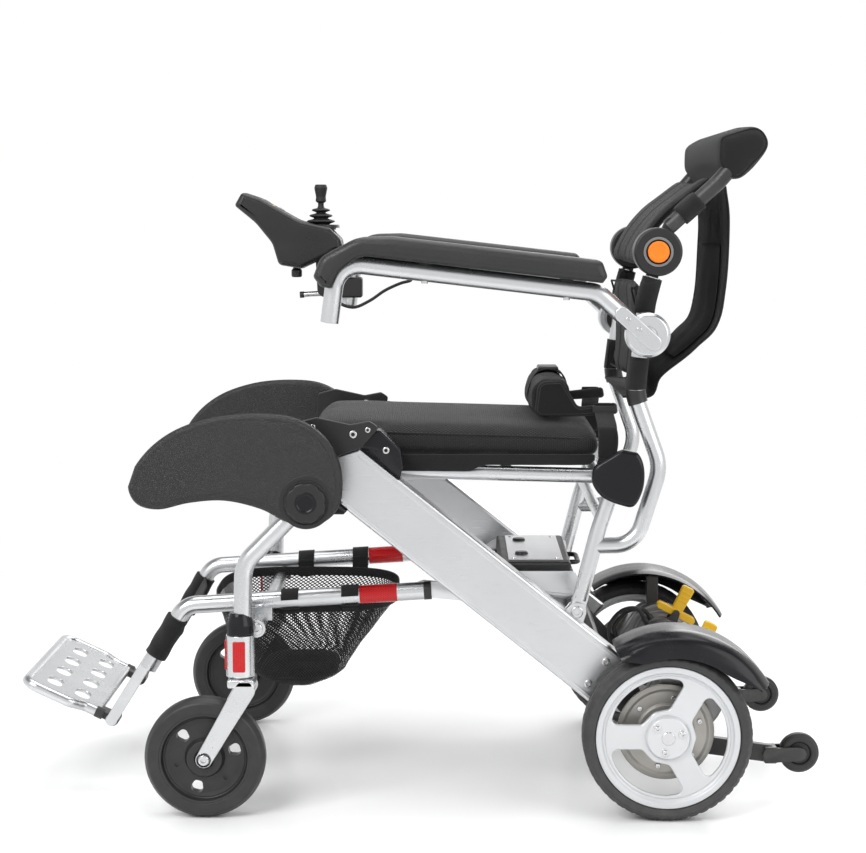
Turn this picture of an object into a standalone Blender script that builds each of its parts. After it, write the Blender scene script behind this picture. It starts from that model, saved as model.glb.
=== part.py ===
"""Folding power wheelchair, modelled in metres with +Z up.

+X is the chair's back, -Y its left side, and the floor is z = 0. Every piece is laid
out from the drive wheels' axle, which the empty called rear_axle_line stands under.
Names that end in _AT are (x, z) points in the side view, measured from that line.
"""

import math

import bmesh
import bpy
from mathutils import Matrix, Vector

# ---------------------------------------------------------------- driving dimensions
# Overall layout
AXLE_X = 0.341
SEAT_GAP = 0.0003
PIVOT_GAP = 0.0004
CLOTH_GAP = 0.0013
SIDE_GAP = 0.0006

# Drive wheels
WHEEL_RADIUS = 0.1155
WHEEL_WIDTH = 0.050
WHEEL_Y = 0.2675
RIM_RADIUS = 0.098
RIM_WALL = 0.0075
HUB_RADIUS = 0.031
SPOKE_WIDTH = 0.034
SPOKE_COUNT = 3
DISC_THICK = 0.008
HUB_BOLTS = 3
HUB_BOLT_CIRCLE = 0.020
DRIVE_SHAFT_RADIUS = 0.0085

# Casters
CASTER_RADIUS = 0.083
CASTER_WIDTH = 0.036
CASTER_Y = 0.262
CASTER_TRAIL = 0.049
CASTER_HUB_RADIUS = 0.028
CASTER_HOLES = 6
CASTER_HOLE_RADIUS = 0.0095
CASTER_TREAD = 0.021
CASTER_PIN_RADIUS = 0.005
FORK_BLADE = 0.004
FORK_CROWN_TOP = 0.1940
FORK_CROWN_THICK = 0.013
STEM_AT = (-0.581, 0.1945)
STEM_RADIUS = 0.008
HOUSING_RADIUS = 0.0195
LEG_CORNER_AT = (-0.5755, 0.349)
LEG_BEND = 0.045
LEG_HUB_HALF = 0.0135
HOUSING_HEIGHT = 0.058
DOME_HEIGHT = 0.030

# Fold linkage, in the side view
LEG_PIVOT_AT = (-0.4884, 0.4372)
RAIL_PIVOT_AT = (-0.5601, 0.2573)
RAIL_TRAY_AT = (-0.3339, 0.2950)
POST_PIVOT_AT = (-0.1200, 0.2739)
SEAT_FRONT_AT = (-0.4277, 0.5230)
SEAT_REAR_AT = (-0.0674, 0.4579)

# Side beams
BEAM_INNER = 0.188
BEAM_THICK = 0.036
BEAM_ANGLE = 38.7
BEAM_DEPTH = 0.079
BEAM_TOP_AT = (-0.419, 0.5035)
BEAM_NOSE = (-0.0195, 0.030)
BEAM_LENGTH = 0.472
BEAM_EDGE = 0.005
BEAM_LIP = 0.0012
BEAM_LIP_WIDTH = 0.005
LUG_THICK = 0.003
LUG_RADIUS = 0.013
POST_FOOT_HALF = 0.0075

# Tubes
LEG_TUBE = 0.0125
RAIL_TUBE = 0.0125
RAIL_Y = 0.165
CANE_TUBE = 0.011
CANE_Y = 0.200
ARM_TUBE = 0.0125
ARM_Y = 0.255
CROSS_TUBE = 0.0095
LINK_PIN = 0.0055

# Side guards
GUARD_INNER = 0.2765
GUARD_THICK = 0.0145
GUARD_SHAFT = 0.006
GUARD_EDGE = 0.004
KNOB_RADIUS = 0.025
KNOB_HEIGHT = 0.0065
KNOB_LOBES = 8
GUARD_BOSS_RADIUS = 0.036
GUARD_BOSS_HEIGHT = 0.0012
# Corners of the guard's outline from the knob's axis, each with its fillet radius
GUARD_CORNERS = (
    (-0.243, 0.014, 0.020),
    (-0.214, 0.070, 0.050),
    (-0.140, 0.117, 0.110),
    (0.004, 0.122, 0.050),
    (0.056, 0.056, 0.045),
    (0.048, -0.038, 0.038),
    (-0.012, -0.042, 0.034),
    (-0.060, -0.006, 0.060),
    (-0.145, 0.003, 0.100),
    (-0.204, -0.021, 0.045),
    (-0.236, -0.008, 0.018),
)

# Seat
SEAT_HALF_WIDTH = 0.184
SEAT_FRONT_X = -0.494
SEAT_CROWN = 0.008
SEAT_RAIL_Y = 0.168
SEAT_RAIL_Z = 0.4655
SEAT_RAIL_TUBE = 0.0105
SEAT_TAB_THICK = 0.003
SEAT_TAB_OUT = 0.1875
SEAT_STUB = 0.006
SEAT_TAB_FOOT_AT = (-0.392, 0.4660)
# The cushion's cross sections from front to rear: x, bottom, top, drawn in by
SEAT_STATIONS = (
    (-0.4940, 0.5080, 0.5180, 0.020),
    (-0.4880, 0.4990, 0.5270, 0.008),
    (-0.4720, 0.4940, 0.5310, 0.002),
    (-0.4200, 0.4930, 0.5310, 0.000),
    (-0.3740, 0.4870, 0.5290, 0.000),
    (-0.3620, 0.4685, 0.5285, 0.000),
    (-0.2700, 0.4680, 0.5265, 0.000),
    (-0.2570, 0.4860, 0.5260, 0.000),
    (-0.1600, 0.4810, 0.5235, 0.000),
    (-0.1020, 0.4780, 0.5215, 0.001),
    (-0.0910, 0.4830, 0.5180, 0.006),
    (-0.0860, 0.4920, 0.5080, 0.018),
)
BELT_AT = (-0.1420, 0.5335)
BELT_HALF_WIDTH = 0.125
BELT_SECTION = (
    (-0.042, 0.004),
    (-0.036, 0.018),
    (-0.026, 0.040),
    (-0.014, 0.060),
    (0.004, 0.067),
    (0.014, 0.058),
    (0.017, 0.030),
    (0.016, 0.004),
    (0.010, 0.001),
    (-0.036, 0.001),
)

# Back
BACK_HINGE_AT = (-0.0135, 0.7700)
BACK_DISC_RADIUS = 0.033
BACK_DISC_INNER = 0.1835
BACK_DISC_WIDTH = 0.034
BUTTON_RADIUS = 0.0150
BUTTON_PROUD = 0.0045
BUTTON_SHAFT = 0.007
BUTTON_SEAT = 0.2090
BUTTON_TRAVEL = 0.004
BACK_PIN_REACH = 0.0075
CANE_BEND = 0.060
# The rear cane's corners in the side view, from the post up to the hinge disc
CANE_CORNERS = (
    (-0.096, 0.3650),
    (-0.040, 0.3660),
    (-0.006, 0.4750),
    (-0.042, 0.5750),
    (-0.029, 0.7000),
    (-0.0195, 0.7355),
)
POST_KNEE_AT = (-0.0915, 0.3850)
POST_CROSS_AT = (-0.0880, 0.4040)
POST_CROSS_TUBE = 0.008
UPPER_KNEE_AT = (0.0010, 0.8030)
UPPER_NECK_AT = (0.0680, 0.8640)
HEAD_BAR_AT = (0.0990, 0.9000)
LOWER_PANEL_LINE = ((-0.0545, 0.5880), (-0.0510, 0.6030), (-0.0480, 0.6450), (-0.0520, 0.7000), (-0.0545, 0.7230))
LOWER_SLEEVES = ((0.5900, 0.6180), (0.6840, 0.7065))
UPPER_PANEL_LINE = ((-0.0520, 0.7530), (-0.0480, 0.7720), (-0.0300, 0.8050), (-0.0060, 0.8330), (0.0180, 0.8520), (0.0550, 0.8800))
UPPER_PANEL_THICK = 0.014
UPPER_SLEEVE = (0.24, 0.62)
UPPER_TIE = 0.026
# The pouch's outline in the side view, each corner with its fillet radius
POUCH_CORNERS = (
    (0.0800, 0.8590, 0.008),
    (0.0850, 0.7900, 0.060),
    (0.0765, 0.6830, 0.030),
    (0.0480, 0.6420, 0.030),
    (-0.0050, 0.5975, 0.020),
    (-0.0180, 0.5700, 0.008),
    (-0.0600, 0.5700, 0.002),
    (-0.0600, 0.5785, 0.001),
    (-0.0260, 0.5785, 0.010),
    (-0.0130, 0.6120, 0.030),
    (0.0380, 0.6680, 0.040),
    (0.0430, 0.7310, 0.060),
    (0.0400, 0.8100, 0.040),
    (0.0560, 0.8440, 0.010),
)
HEAD_CORNERS = (
    (0.0800, 0.8650, 0.008),
    (0.0980, 0.8655, 0.014),
    (0.1430, 0.9150, 0.020),
    (0.1240, 0.9450, 0.020),
    (0.0650, 0.9270, 0.010),
    (0.0640, 0.8890, 0.010),
)
# The rear cap's outline from the seat's rear pivot
CAP_CORNERS = (
    (0.0140, 0.0450, 0.012),
    (0.0360, 0.0340, 0.014),
    (0.0370, -0.0180, 0.018),
    (0.0220, -0.0390, 0.012),
    (-0.0190, -0.0260, 0.012),
    (-0.0350, -0.0050, 0.014),
    (-0.0320, 0.0200, 0.012),
    (-0.0180, 0.0300, 0.012),
)
CAP_THICK = 0.019
SLING_HALF_WIDTH = 0.1815
SLING_THICK = 0.011
SLING_SAG = 0.020
HEAD_HALF_WIDTH = 0.216
POUCH_HALF_WIDTH = 0.165

# Arms
ARM_PIVOT_AT = (-0.031, 0.660)
ARM_DISC_RADIUS = 0.030
PAD_HALF_WIDTH = 0.030
ARM_BEND = 0.034
# The arm tube's corners in the side view, from its open front end to the pivot
ARM_CORNERS = ((-0.4575, 0.6760), (-0.4470, 0.7570), (-0.0980, 0.7165), (-0.0330, 0.6580))
PAD_UNDER = ((-0.3700, 0.7635), (-0.0930, 0.7355))
PAD_STUDS = (-0.330, -0.140)
PAD_CORNERS = (
    (-0.4780, 0.7380, 0.006),
    (-0.4680, 0.7640, 0.024),
    (-0.4200, 0.7900, 0.050),
    (-0.3750, 0.7930, 0.080),
    (-0.0940, 0.7610, 0.008),
    (-0.0865, 0.7430, 0.006),
    (-0.0930, 0.7355, 0.003),
    (-0.3700, 0.7635, 0.060),
    (-0.4150, 0.7660, 0.030),
    (-0.4420, 0.7460, 0.020),
    (-0.4540, 0.7220, 0.004),
    (-0.4680, 0.7250, 0.006),
)

# Lower rails, basket and footrest
FOOT_HINGE_AT = (-0.778, 0.104)
FOOT_HALF_WIDTH = 0.160
FOOT_PITCH = 25.0
FOOT_LENGTH = 0.140
FOOT_FRAME_TUBE = 0.0075
FOOT_PLATE_THICK = 0.005
HANGER_BAR_WIDTH = 0.016
HANGER_BAR_THICK = 0.005
BASKET_WALL = 0.003
STRAP_WALL = 0.0022
RAIL_FOOT_AT = (-0.722, 0.184)
RAIL_BEND_AT = (-0.668, 0.2735)
RAIL_BEND = 0.030
HANGER_BOLT_AT = (-0.7215, 0.1945)
HANGER_BOLT = 0.0035
CALF_SAG = 0.014
FOOT_ROD = 0.006
FOOT_KNUCKLE = 0.030
FOOT_SLOTS = (2, 4)
FOOT_SLOT = 0.022
# The basket from its floor up: height, front, rear and half width
BASKET_LEVELS = (
    (0.1390, -0.550, -0.486, 0.080),
    (0.1640, -0.592, -0.446, 0.118),
    (0.2020, -0.619, -0.420, 0.127),
    (0.2620, -0.638, -0.374, 0.1485),
    (0.2740, -0.638, -0.372, 0.1490),
)
BASKET_LOOPS = (-0.5205, -0.4360)
BASKET_LOOP_WIDTH = 0.024

# Battery and its tray
TRAY_INNER = 0.142
TRAY_WALL = 0.008
BATTERY_HALF_WIDTH = 0.1255
BATTERY_LENGTH = 0.104
BATTERY_HEIGHT = 0.045
BATTERY_AT = (-0.226, 0.2840)

# Drive unit
MOTOR_AT = (0.033, 0.160)
MOTOR_RADIUS = 0.040
MOTOR_BOLTS = 4
DRIVE_MOUNT_AT = (-0.012, 0.105)
LEVER_AT = (0.055, 0.205)
LEVER_TIP_AT = (0.0765, 0.2465)
LEVER_Y = 0.140
LEVER_HALF = 0.008
LEVER_BAR = 0.024
GEARBOX_INNER = 0.186
GEARBOX_OUTER = 0.2375
MOTOR_INNER = 0.092
FENDER_INNER = 0.196
FENDER_OUTER = 0.2985
FENDER_WALL = 0.003
FENDER_RADIUS = 0.1395
FENDER_OPENS = 0.0165
FENDER_SKIRT = 0.034
FENDER_FRONT_ANGLE = 121.0
FENDER_REAR_ANGLE = 28.0
ANTI_TIP_AT = (0.195, 0.068)
ANTI_TIP_RADIUS = 0.028
ANTI_TIP_WIDTH = 0.018
ANTI_TIP_Y = 0.178

# Controller
CONTROLLER_HALF_WIDTH = 0.037
JOYSTICK_AT = (-0.5010, 0.8040)
CABLE_RADIUS = 0.0025
CONTROLLER_CORNERS = (
    (-0.6350, 0.8350, 0.005),
    (-0.6230, 0.8560, 0.007),
    (-0.5960, 0.8470, 0.020),
    (-0.5340, 0.8120, 0.040),
    (-0.4860, 0.8010, 0.008),
    (-0.4680, 0.7830, 0.010),
    (-0.4650, 0.7660, 0.006),
    (-0.4880, 0.7560, 0.010),
    (-0.5300, 0.7360, 0.008),
    (-0.5660, 0.7420, 0.010),
    (-0.5760, 0.7760, 0.030),
    (-0.6020, 0.8080, 0.040),
)
# The sloping face that the keys stand on, and each key's place along it and its size
KEY_FACE = ((-0.5960, 0.8470), (-0.5340, 0.8120))
POWER_KEY = (0.16, (0.011, 0.016))
SPEED_KEY = (0.52, (0.010, 0.030))
KEY_DEPTH = 0.0045
KEY_TRAVEL = 0.0010
KEY_PROUD = 0.0016
CLAMP_X = -0.4545
CLAMP_RANGE = (0.690, 0.722)
STICK_WELL_RADIUS = 0.0262
STICK_WELL_DEPTH = 0.0185
STICK_BALL = 0.0160
STICK_RIBS = 4
STICK_RIB_PITCH = 0.0072
STICK_HEIGHT = 0.0650
GIMBAL_OUTER = 0.0238
GIMBAL_INNER = 0.0192
CABLE_ROUTE = (
    (-0.4960, 0.2300, 0.7400),
    (-0.4900, 0.2300, 0.7150),
    (-0.4760, 0.2310, 0.6860),
    (-0.4500, 0.2340, 0.6750),
    (-0.4240, 0.2400, 0.6850),
    (-0.4000, 0.2470, 0.7010),
    (-0.3760, 0.2530, 0.7120),
    (-0.3580, 0.2550, 0.7220),
)

# How finely round forms are cut: degrees per facet of a fillet and of a bend
ARC_TURN = 40.0
BEND_TURN = 28.0
FINE_RADIUS = 0.009

# The reach within which a joined form's points become one
MERGE = 0.00003

LEFT = -1
RIGHT = 1
SIDES = ((LEFT, "left"), (RIGHT, "right"))


# ---------------------------------------------------------------- finishes
def finish(name, colour, roughness, metallic=0.0):
    """A Principled material in one colour."""
    made = bpy.data.materials.new(name)
    made.use_nodes = True
    shader = made.node_tree.nodes["Principled BSDF"]
    shader.inputs["Base Color"].default_value = (*colour, 1.0)
    shader.inputs["Roughness"].default_value = roughness
    shader.inputs["Metallic"].default_value = metallic
    made.diffuse_color = (*colour, 1.0)
    return made


# ---------------------------------------------------------------- outlines and paths
def arc_points(corner, before, after, radius, turn=ARC_TURN):
    """The points that turn one corner with an arc of the radius, one for about every turn."""
    corner, before, after = Vector(corner), Vector(before), Vector(after)
    into = (before - corner).normalized()
    out = (after - corner).normalized()
    half = into.angle(out) / 2
    if radius <= 0 or half > math.radians(89):
        return [corner]
    run = min(radius / math.tan(half), (before - corner).length / 2.02, (after - corner).length / 2.02)
    radius = run * math.tan(half)
    centre = corner + (into + out).normalized() * (radius / math.sin(half))
    first = corner + into * run - centre
    last = corner + out * run - centre
    sweep = first.angle(last)
    steps = max(1, round(math.degrees(sweep) / turn))
    if radius < FINE_RADIUS:
        steps = min(steps, 2)
    points = []
    for step in range(steps + 1):
        part = sweep * step / steps
        points.append(
            centre + (first * math.sin(sweep - part) + last * math.sin(part)) / math.sin(sweep)
        )
    return points


def rounded(corners, turn=ARC_TURN):
    """A closed side-view outline: each corner is (x, z, radius)."""
    flat = [Vector((x, 0.0, z)) for x, z, _ in corners]
    points = []
    for index, (_, _, radius) in enumerate(corners):
        after = flat[(index + 1) % len(flat)]
        points += arc_points(flat[index], flat[index - 1], after, radius, turn)
    return [(point.x, point.z) for point in points]


def bent(points, radius, turn=BEND_TURN):
    """An open path in space whose inner corners are bent to the radius."""
    path = [Vector(points[0])]
    for index in range(1, len(points) - 1):
        path += arc_points(points[index], points[index - 1], points[index + 1], radius, turn)
    return path + [Vector(points[-1])]


def beside(points, y):
    """Side-view points (x, z), set at the distance y from the mid-plane."""
    return [Vector((x, y, z)) for x, z in points]


def circle(centre, radius, steps=16, start=0.0):
    """A side-view circle as an outline."""
    turns = [start + math.tau * step / steps for step in range(steps)]
    return [(centre[0] + radius * math.cos(turn), centre[1] + radius * math.sin(turn)) for turn in turns]


def oblong(start, end, radius_a, radius_b=None, steps=4):
    """The outline round two circles, as on a link or a flat bar with round ends."""
    radius_b = radius_a if radius_b is None else radius_b
    start, end = Vector(start), Vector(end)
    reach = end - start
    lean = math.acos((radius_a - radius_b) / reach.length)
    heading = math.atan2(reach.y, reach.x)
    points = []
    for step in range(steps + 1):
        turn = heading + lean + (math.tau - 2 * lean) * step / steps
        points.append((start.x + radius_a * math.cos(turn), start.y + radius_a * math.sin(turn)))
    for step in range(steps + 1):
        turn = heading - lean + 2 * lean * step / steps
        points.append((end.x + radius_b * math.cos(turn), end.y + radius_b * math.sin(turn)))
    return points


def along(start, end, share):
    """The point between two side-view points at the share of the way."""
    return (start[0] + (end[0] - start[0]) * share, start[1] + (end[1] - start[1]) * share)


# ---------------------------------------------------------------- solids
def solid_of(bm):
    """A temporary object from a bmesh, with its faces pointing out."""
    bmesh.ops.recalc_face_normals(bm, faces=bm.faces)
    mesh = bpy.data.meshes.new("solid")
    bm.to_mesh(mesh)
    bm.free()
    made = bpy.data.objects.new("solid", mesh)
    bpy.context.scene.collection.objects.link(made)
    return made


def prism(outline, low, high, edge=0.0, segments=1):
    """A side-view outline extruded in Y from low to high, with its rims bevelled by edge."""
    low, high = min(low, high), max(low, high)
    bm = bmesh.new()
    face = bm.faces.new([bm.verts.new((x, low, z)) for x, z in outline])
    rim = bmesh.ops.extrude_face_region(bm, geom=[face])
    moved = [item for item in rim["geom"] if isinstance(item, bmesh.types.BMVert)]
    bmesh.ops.translate(bm, verts=moved, vec=(0.0, high - low, 0.0))
    if edge > 0:
        rims = [item for item in bm.edges if abs(item.verts[0].co.y - item.verts[1].co.y) < 1e-7]
        bmesh.ops.bevel(
            bm, geom=rims, offset=edge, segments=segments, affect="EDGES", profile=0.5, clamp_overlap=True
        )
    return solid_of(bm)


def block(x_range, y_range, z_range, edge=0.0, segments=1):
    """A box between the given limits, with all its edges bevelled by edge."""
    bm = bmesh.new()
    bmesh.ops.create_cube(bm, size=1.0)
    size = (x_range[1] - x_range[0], abs(y_range[1] - y_range[0]), z_range[1] - z_range[0])
    middle = (sum(x_range) / 2, sum(y_range) / 2, sum(z_range) / 2)
    bmesh.ops.scale(bm, verts=bm.verts, vec=size)
    bmesh.ops.translate(bm, verts=bm.verts, vec=middle)
    if edge > 0:
        bmesh.ops.bevel(bm, geom=bm.edges[:], offset=edge, segments=segments, affect="EDGES", profile=0.5)
    return solid_of(bm)


def facets(radius):
    """How many sides a turned form of the radius gets."""
    for limit, sides in ((0.0049, 8), (0.0300, 12), (0.0500, 16)):
        if radius < limit:
            return sides
    return 20


def turned(profile, centre, steps=None, axis="Y", side=1):
    """A turned solid: profile is (radius, distance along the axis).

    The axis is Y at the side-view centre, with distances on the given side of the
    chair, or Z at the centre (x, y), where the distances are heights.
    """
    steps = steps or facets(max(radius for radius, _ in profile))
    bm = bmesh.new()
    chain = []
    for radius, distance in profile:
        if axis == "Y":
            chain.append(bm.verts.new((centre[0] + radius, side * distance, centre[1])))
        else:
            chain.append(bm.verts.new((centre[0] + radius, centre[1], distance)))
    edges = [bm.edges.new(pair) for pair in zip(chain, chain[1:])]
    closed = profile[0][0] > 1e-6
    if closed:
        edges.append(bm.edges.new((chain[-1], chain[0])))
    middle = (centre[0], 0.0, centre[1]) if axis == "Y" else (centre[0], centre[1], 0.0)
    around = (0.0, 1.0, 0.0) if axis == "Y" else (0.0, 0.0, 1.0)
    bmesh.ops.spin(
        bm,
        geom=chain + edges,
        cent=middle,
        axis=around,
        dvec=(0.0, 0.0, 0.0),
        angle=math.tau,
        steps=steps,
        use_merge=True,
    )
    bmesh.ops.remove_doubles(bm, verts=bm.verts, dist=1e-6)
    return solid_of(bm)


def pin(centre, radius, low, high, side=1, steps=None):
    """A plain round pin along Y."""
    return turned(((0.0, low), (radius, low), (radius, high), (0.0, high)), centre, steps, side=side)


def rod(path, radius):
    """A round tube or wire along a path, made as a bevelled curve with filled caps."""
    curve = bpy.data.curves.new("route", "CURVE")
    curve.dimensions = "3D"
    curve.bevel_depth = radius
    curve.bevel_resolution = 2
    curve.use_fill_caps = True
    spline = curve.splines.new("POLY")
    spline.points.add(len(path) - 1)
    for point, place in zip(spline.points, path):
        point.co = (*place, 1.0)
    route = bpy.data.objects.new("route", curve)
    bpy.context.scene.collection.objects.link(route)
    bpy.context.view_layer.update()
    graph = bpy.context.evaluated_depsgraph_get()
    mesh = bpy.data.meshes.new_from_object(route.evaluated_get(graph))
    bm = bmesh.new()
    bm.from_mesh(mesh)
    bmesh.ops.remove_doubles(bm, verts=bm.verts, dist=1e-6)
    bpy.data.objects.remove(route)
    bpy.data.meshes.remove(mesh)
    bpy.data.curves.remove(curve)
    return solid_of(bm)


def loft(rings, closed_path=False):
    """A skin over rings of as many points each, capped at both ends."""
    bm = bmesh.new()
    rows = [[bm.verts.new(point) for point in ring] for ring in rings]
    count = len(rows[0])
    pairs = list(zip(rows, rows[1:]))
    if closed_path:
        pairs.append((rows[-1], rows[0]))
    for row, following in pairs:
        for index in range(count):
            other = (index + 1) % count
            bm.faces.new((row[index], row[other], following[other], following[index]))
    if not closed_path:
        bm.faces.new(rows[0])
        bm.faces.new(rows[-1])
    return solid_of(bm)


def leave(*tools):
    """Removes the objects that a solid was made with."""
    for tool in tools:
        mesh = tool.data
        bpy.data.objects.remove(tool)
        if mesh.users == 0:
            bpy.data.meshes.remove(mesh)


def cleaned(obj):
    """Merges an object's near points and takes out the edges that lie in flat faces."""
    bm = bmesh.new()
    bm.from_mesh(obj.data)
    bmesh.ops.remove_doubles(bm, verts=bm.verts, dist=MERGE)
    bmesh.ops.dissolve_degenerate(bm, edges=bm.edges, dist=MERGE / 2)
    bmesh.ops.dissolve_limit(
        bm, angle_limit=math.radians(0.3), verts=bm.verts, edges=bm.edges, use_dissolve_boundaries=False
    )
    leave(obj)
    return solid_of(bm)


def fuse(parts, cuts=()):
    """One solid: the parts joined, less the cuts, taken one by one."""
    base = parts[0]
    steps = [(other, "UNION") for other in parts[1:]]
    steps += [(other, "DIFFERENCE") for other in cuts]
    for other, operation in steps:
        step = base.modifiers.new("step", "BOOLEAN")
        step.operation = operation
        step.solver = "EXACT"
        step.object = other
        bpy.context.view_layer.update()
        graph = bpy.context.evaluated_depsgraph_get()
        mesh = bpy.data.meshes.new_from_object(base.evaluated_get(graph))
        made = bpy.data.objects.new("solid", mesh)
        bpy.context.scene.collection.objects.link(made)
        leave(base, other)
        base = cleaned(made)
    return base


def spun(tool, centre, count):
    """Copies of a tool turned evenly about the Y axis at the centre."""
    copies = [tool]
    for index in range(1, count):
        other = tool.copy()
        other.data = tool.data.copy()
        bpy.context.scene.collection.objects.link(other)
        middle = Matrix.Translation((centre[0], 0.0, centre[1]))
        turn = Matrix.Rotation(math.tau * index / count, 4, "Y")
        other.data.transform(middle @ turn @ middle.inverted())
        copies.append(other)
    return copies


def joint(name, at, y=0.0, parent=None):
    """An empty on a joint's axis, placed from the axle line."""
    made = bpy.data.objects.new(name, None)
    made.empty_display_size = 0.03
    bpy.context.scene.collection.objects.link(made)
    place = Vector((at[0], y, at[1]))
    made["place"] = list(place)
    if parent is None:
        made.location = place + Vector((AXLE_X, 0.0, 0.0))
        made["place"] = list(place)
    else:
        made.parent = parent
        made.location = place - Vector(parent["place"])
    return made


def node(name, solid, material, parent, angle=38.0):
    """Names a finished piece, gives it its finish and hangs it on its joint."""
    solid.name = name
    solid.data.name = name
    solid.data.transform(Matrix.Translation(-Vector(parent["place"])))
    solid.parent = parent
    solid.data.materials.clear()
    solid.data.materials.append(material)
    solid.data.shade_smooth()
    solid.data.set_sharp_from_angle(angle=math.radians(angle))
    return solid


# ---------------------------------------------------------------- drive wheels
AXLE_AT = (0.0, WHEEL_RADIUS)


def spoke_window(inner, outer, half_bar, middle, low, high):
    """The cutter for one opening between two spokes of the rim's disc.

    Its sides run parallel to the spokes, half_bar from each spoke's centre line.
    """
    reach = math.pi / SPOKE_COUNT
    near = reach - math.asin(half_bar / inner)
    far = reach - math.asin(half_bar / outer)
    outline = [(inner, -near, 0.006), (inner / math.cos(near / 2), 0.0, 0.0), (inner, near, 0.006)]
    outline += [(outer, far * share, 0.010 if abs(share) == 1 else 0.0) for share in (1, 0.5, 0, -0.5, -1)]
    corners = [
        (AXLE_AT[0] + away * math.cos(middle + turn), AXLE_AT[1] + away * math.sin(middle + turn), radius)
        for away, turn, radius in outline
    ]
    return prism(rounded(corners, 34), low, high)


def rear_wheel(side, finishes, hub_joint):
    """The spoked rim with its tyre: the disc stands near the rim's outer face."""
    inner = WHEEL_Y - WHEEL_WIDTH / 2 + 0.0045
    outer = WHEEL_Y + WHEEL_WIDTH / 2 - 0.0045
    disc_out = outer - 0.004
    disc_in = disc_out - DISC_THICK
    barrel = turned(
        (
            (0.0, outer + 0.002),
            (HUB_RADIUS - 0.003, outer + 0.002),
            (HUB_RADIUS, outer - 0.001),
            (HUB_RADIUS, disc_out),
            (RIM_RADIUS - RIM_WALL - 0.003, disc_out),
            (RIM_RADIUS - RIM_WALL, outer),
            (RIM_RADIUS, outer),
            (RIM_RADIUS, inner),
            (RIM_RADIUS - RIM_WALL, inner),
            (RIM_RADIUS - RIM_WALL - 0.003, disc_in),
            (0.021, disc_in),
            (0.019, disc_in - 0.006),
            (0.019, GEARBOX_OUTER + 0.0015),
            (0.0, GEARBOX_OUTER + 0.0015),
        ),
        AXLE_AT,
        side=side,
    )
    windows = []
    for index in range(SPOKE_COUNT):
        middle = math.tau * index / SPOKE_COUNT
        windows.append(
            spoke_window(
                HUB_RADIUS + 0.008,
                RIM_RADIUS - RIM_WALL - 0.007,
                SPOKE_WIDTH / 2,
                middle,
                side * (disc_in - 0.004),
                side * (disc_out + 0.004),
            )
        )
    bore = pin(AXLE_AT, DRIVE_SHAFT_RADIUS + SEAT_GAP, GEARBOX_OUTER, disc_out - 0.002, side)
    bolts = []
    for index in range(HUB_BOLTS):
        turn = math.tau * (index + 0.15) / HUB_BOLTS
        at = (AXLE_AT[0] + HUB_BOLT_CIRCLE * math.cos(turn), AXLE_AT[1] + HUB_BOLT_CIRCLE * math.sin(turn))
        bolts.append(pin(at, 0.0036, outer - 0.001, outer + 0.0035, side))
    rim = fuse([barrel, *bolts], [*windows, bore])
    node("rear_rim_" + side_name(side), rim, finishes["white"], hub_joint)
    low = WHEEL_Y - WHEEL_WIDTH / 2
    high = WHEEL_Y + WHEEL_WIDTH / 2
    bead = RIM_RADIUS + SEAT_GAP
    tyre = turned(
        (
            (bead, high - 0.006),
            (bead, low + 0.006),
            (bead + 0.003, low + 0.001),
            (WHEEL_RADIUS - 0.006, low),
            (WHEEL_RADIUS, low + 0.009),
            (WHEEL_RADIUS, high - 0.009),
            (WHEEL_RADIUS - 0.006, high),
            (bead + 0.003, high - 0.001),
        ),
        AXLE_AT,
        side=side,
    )
    node("rear_tyre_" + side_name(side), tyre, finishes["rubber"], hub_joint)


def side_name(side):
    return "left" if side == LEFT else "right"


# ---------------------------------------------------------------- casters
CASTER_AT = (STEM_AT[0] - CASTER_TRAIL, CASTER_RADIUS)


def caster_fork(side, finishes, swivel):
    """The crown with two blades that lead down and forward to the caster's pin."""
    crown_low = FORK_CROWN_TOP - FORK_CROWN_THICK
    blade_in = CASTER_WIDTH / 2 + 0.0015
    blade_out = blade_in + FORK_BLADE
    y = side * CASTER_Y
    top = (STEM_AT[0] + 0.007, FORK_CROWN_TOP - 0.0150)
    parts = [
        block(
            (STEM_AT[0] - 0.017, STEM_AT[0] + 0.020),
            (y - blade_out, y + blade_out),
            (crown_low, FORK_CROWN_TOP),
            0.003,
        ),
        turned(
            ((0.0, crown_low + 0.002), (STEM_RADIUS, crown_low + 0.002), (STEM_RADIUS, STEM_AT[1] + 0.040),
             (0.0, STEM_AT[1] + 0.040)),
            (STEM_AT[0], y),
            axis="Z",
        ),
    ]
    for face in (-1, 1):
        outline = oblong(CASTER_AT, top, 0.0115, 0.0145)
        parts.append(prism(outline, y + face * blade_in, y + face * blade_out))
    parts.append(pin(CASTER_AT, CASTER_PIN_RADIUS, y - blade_in - 0.002, y + blade_in + 0.002, 1))
    parts.append(pin(CASTER_AT, 0.0075, CASTER_Y + blade_out - 0.001, CASTER_Y + blade_out + 0.0035, side))
    node("caster_fork_" + side_name(side), fuse(parts), finishes["silver"], swivel)


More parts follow.
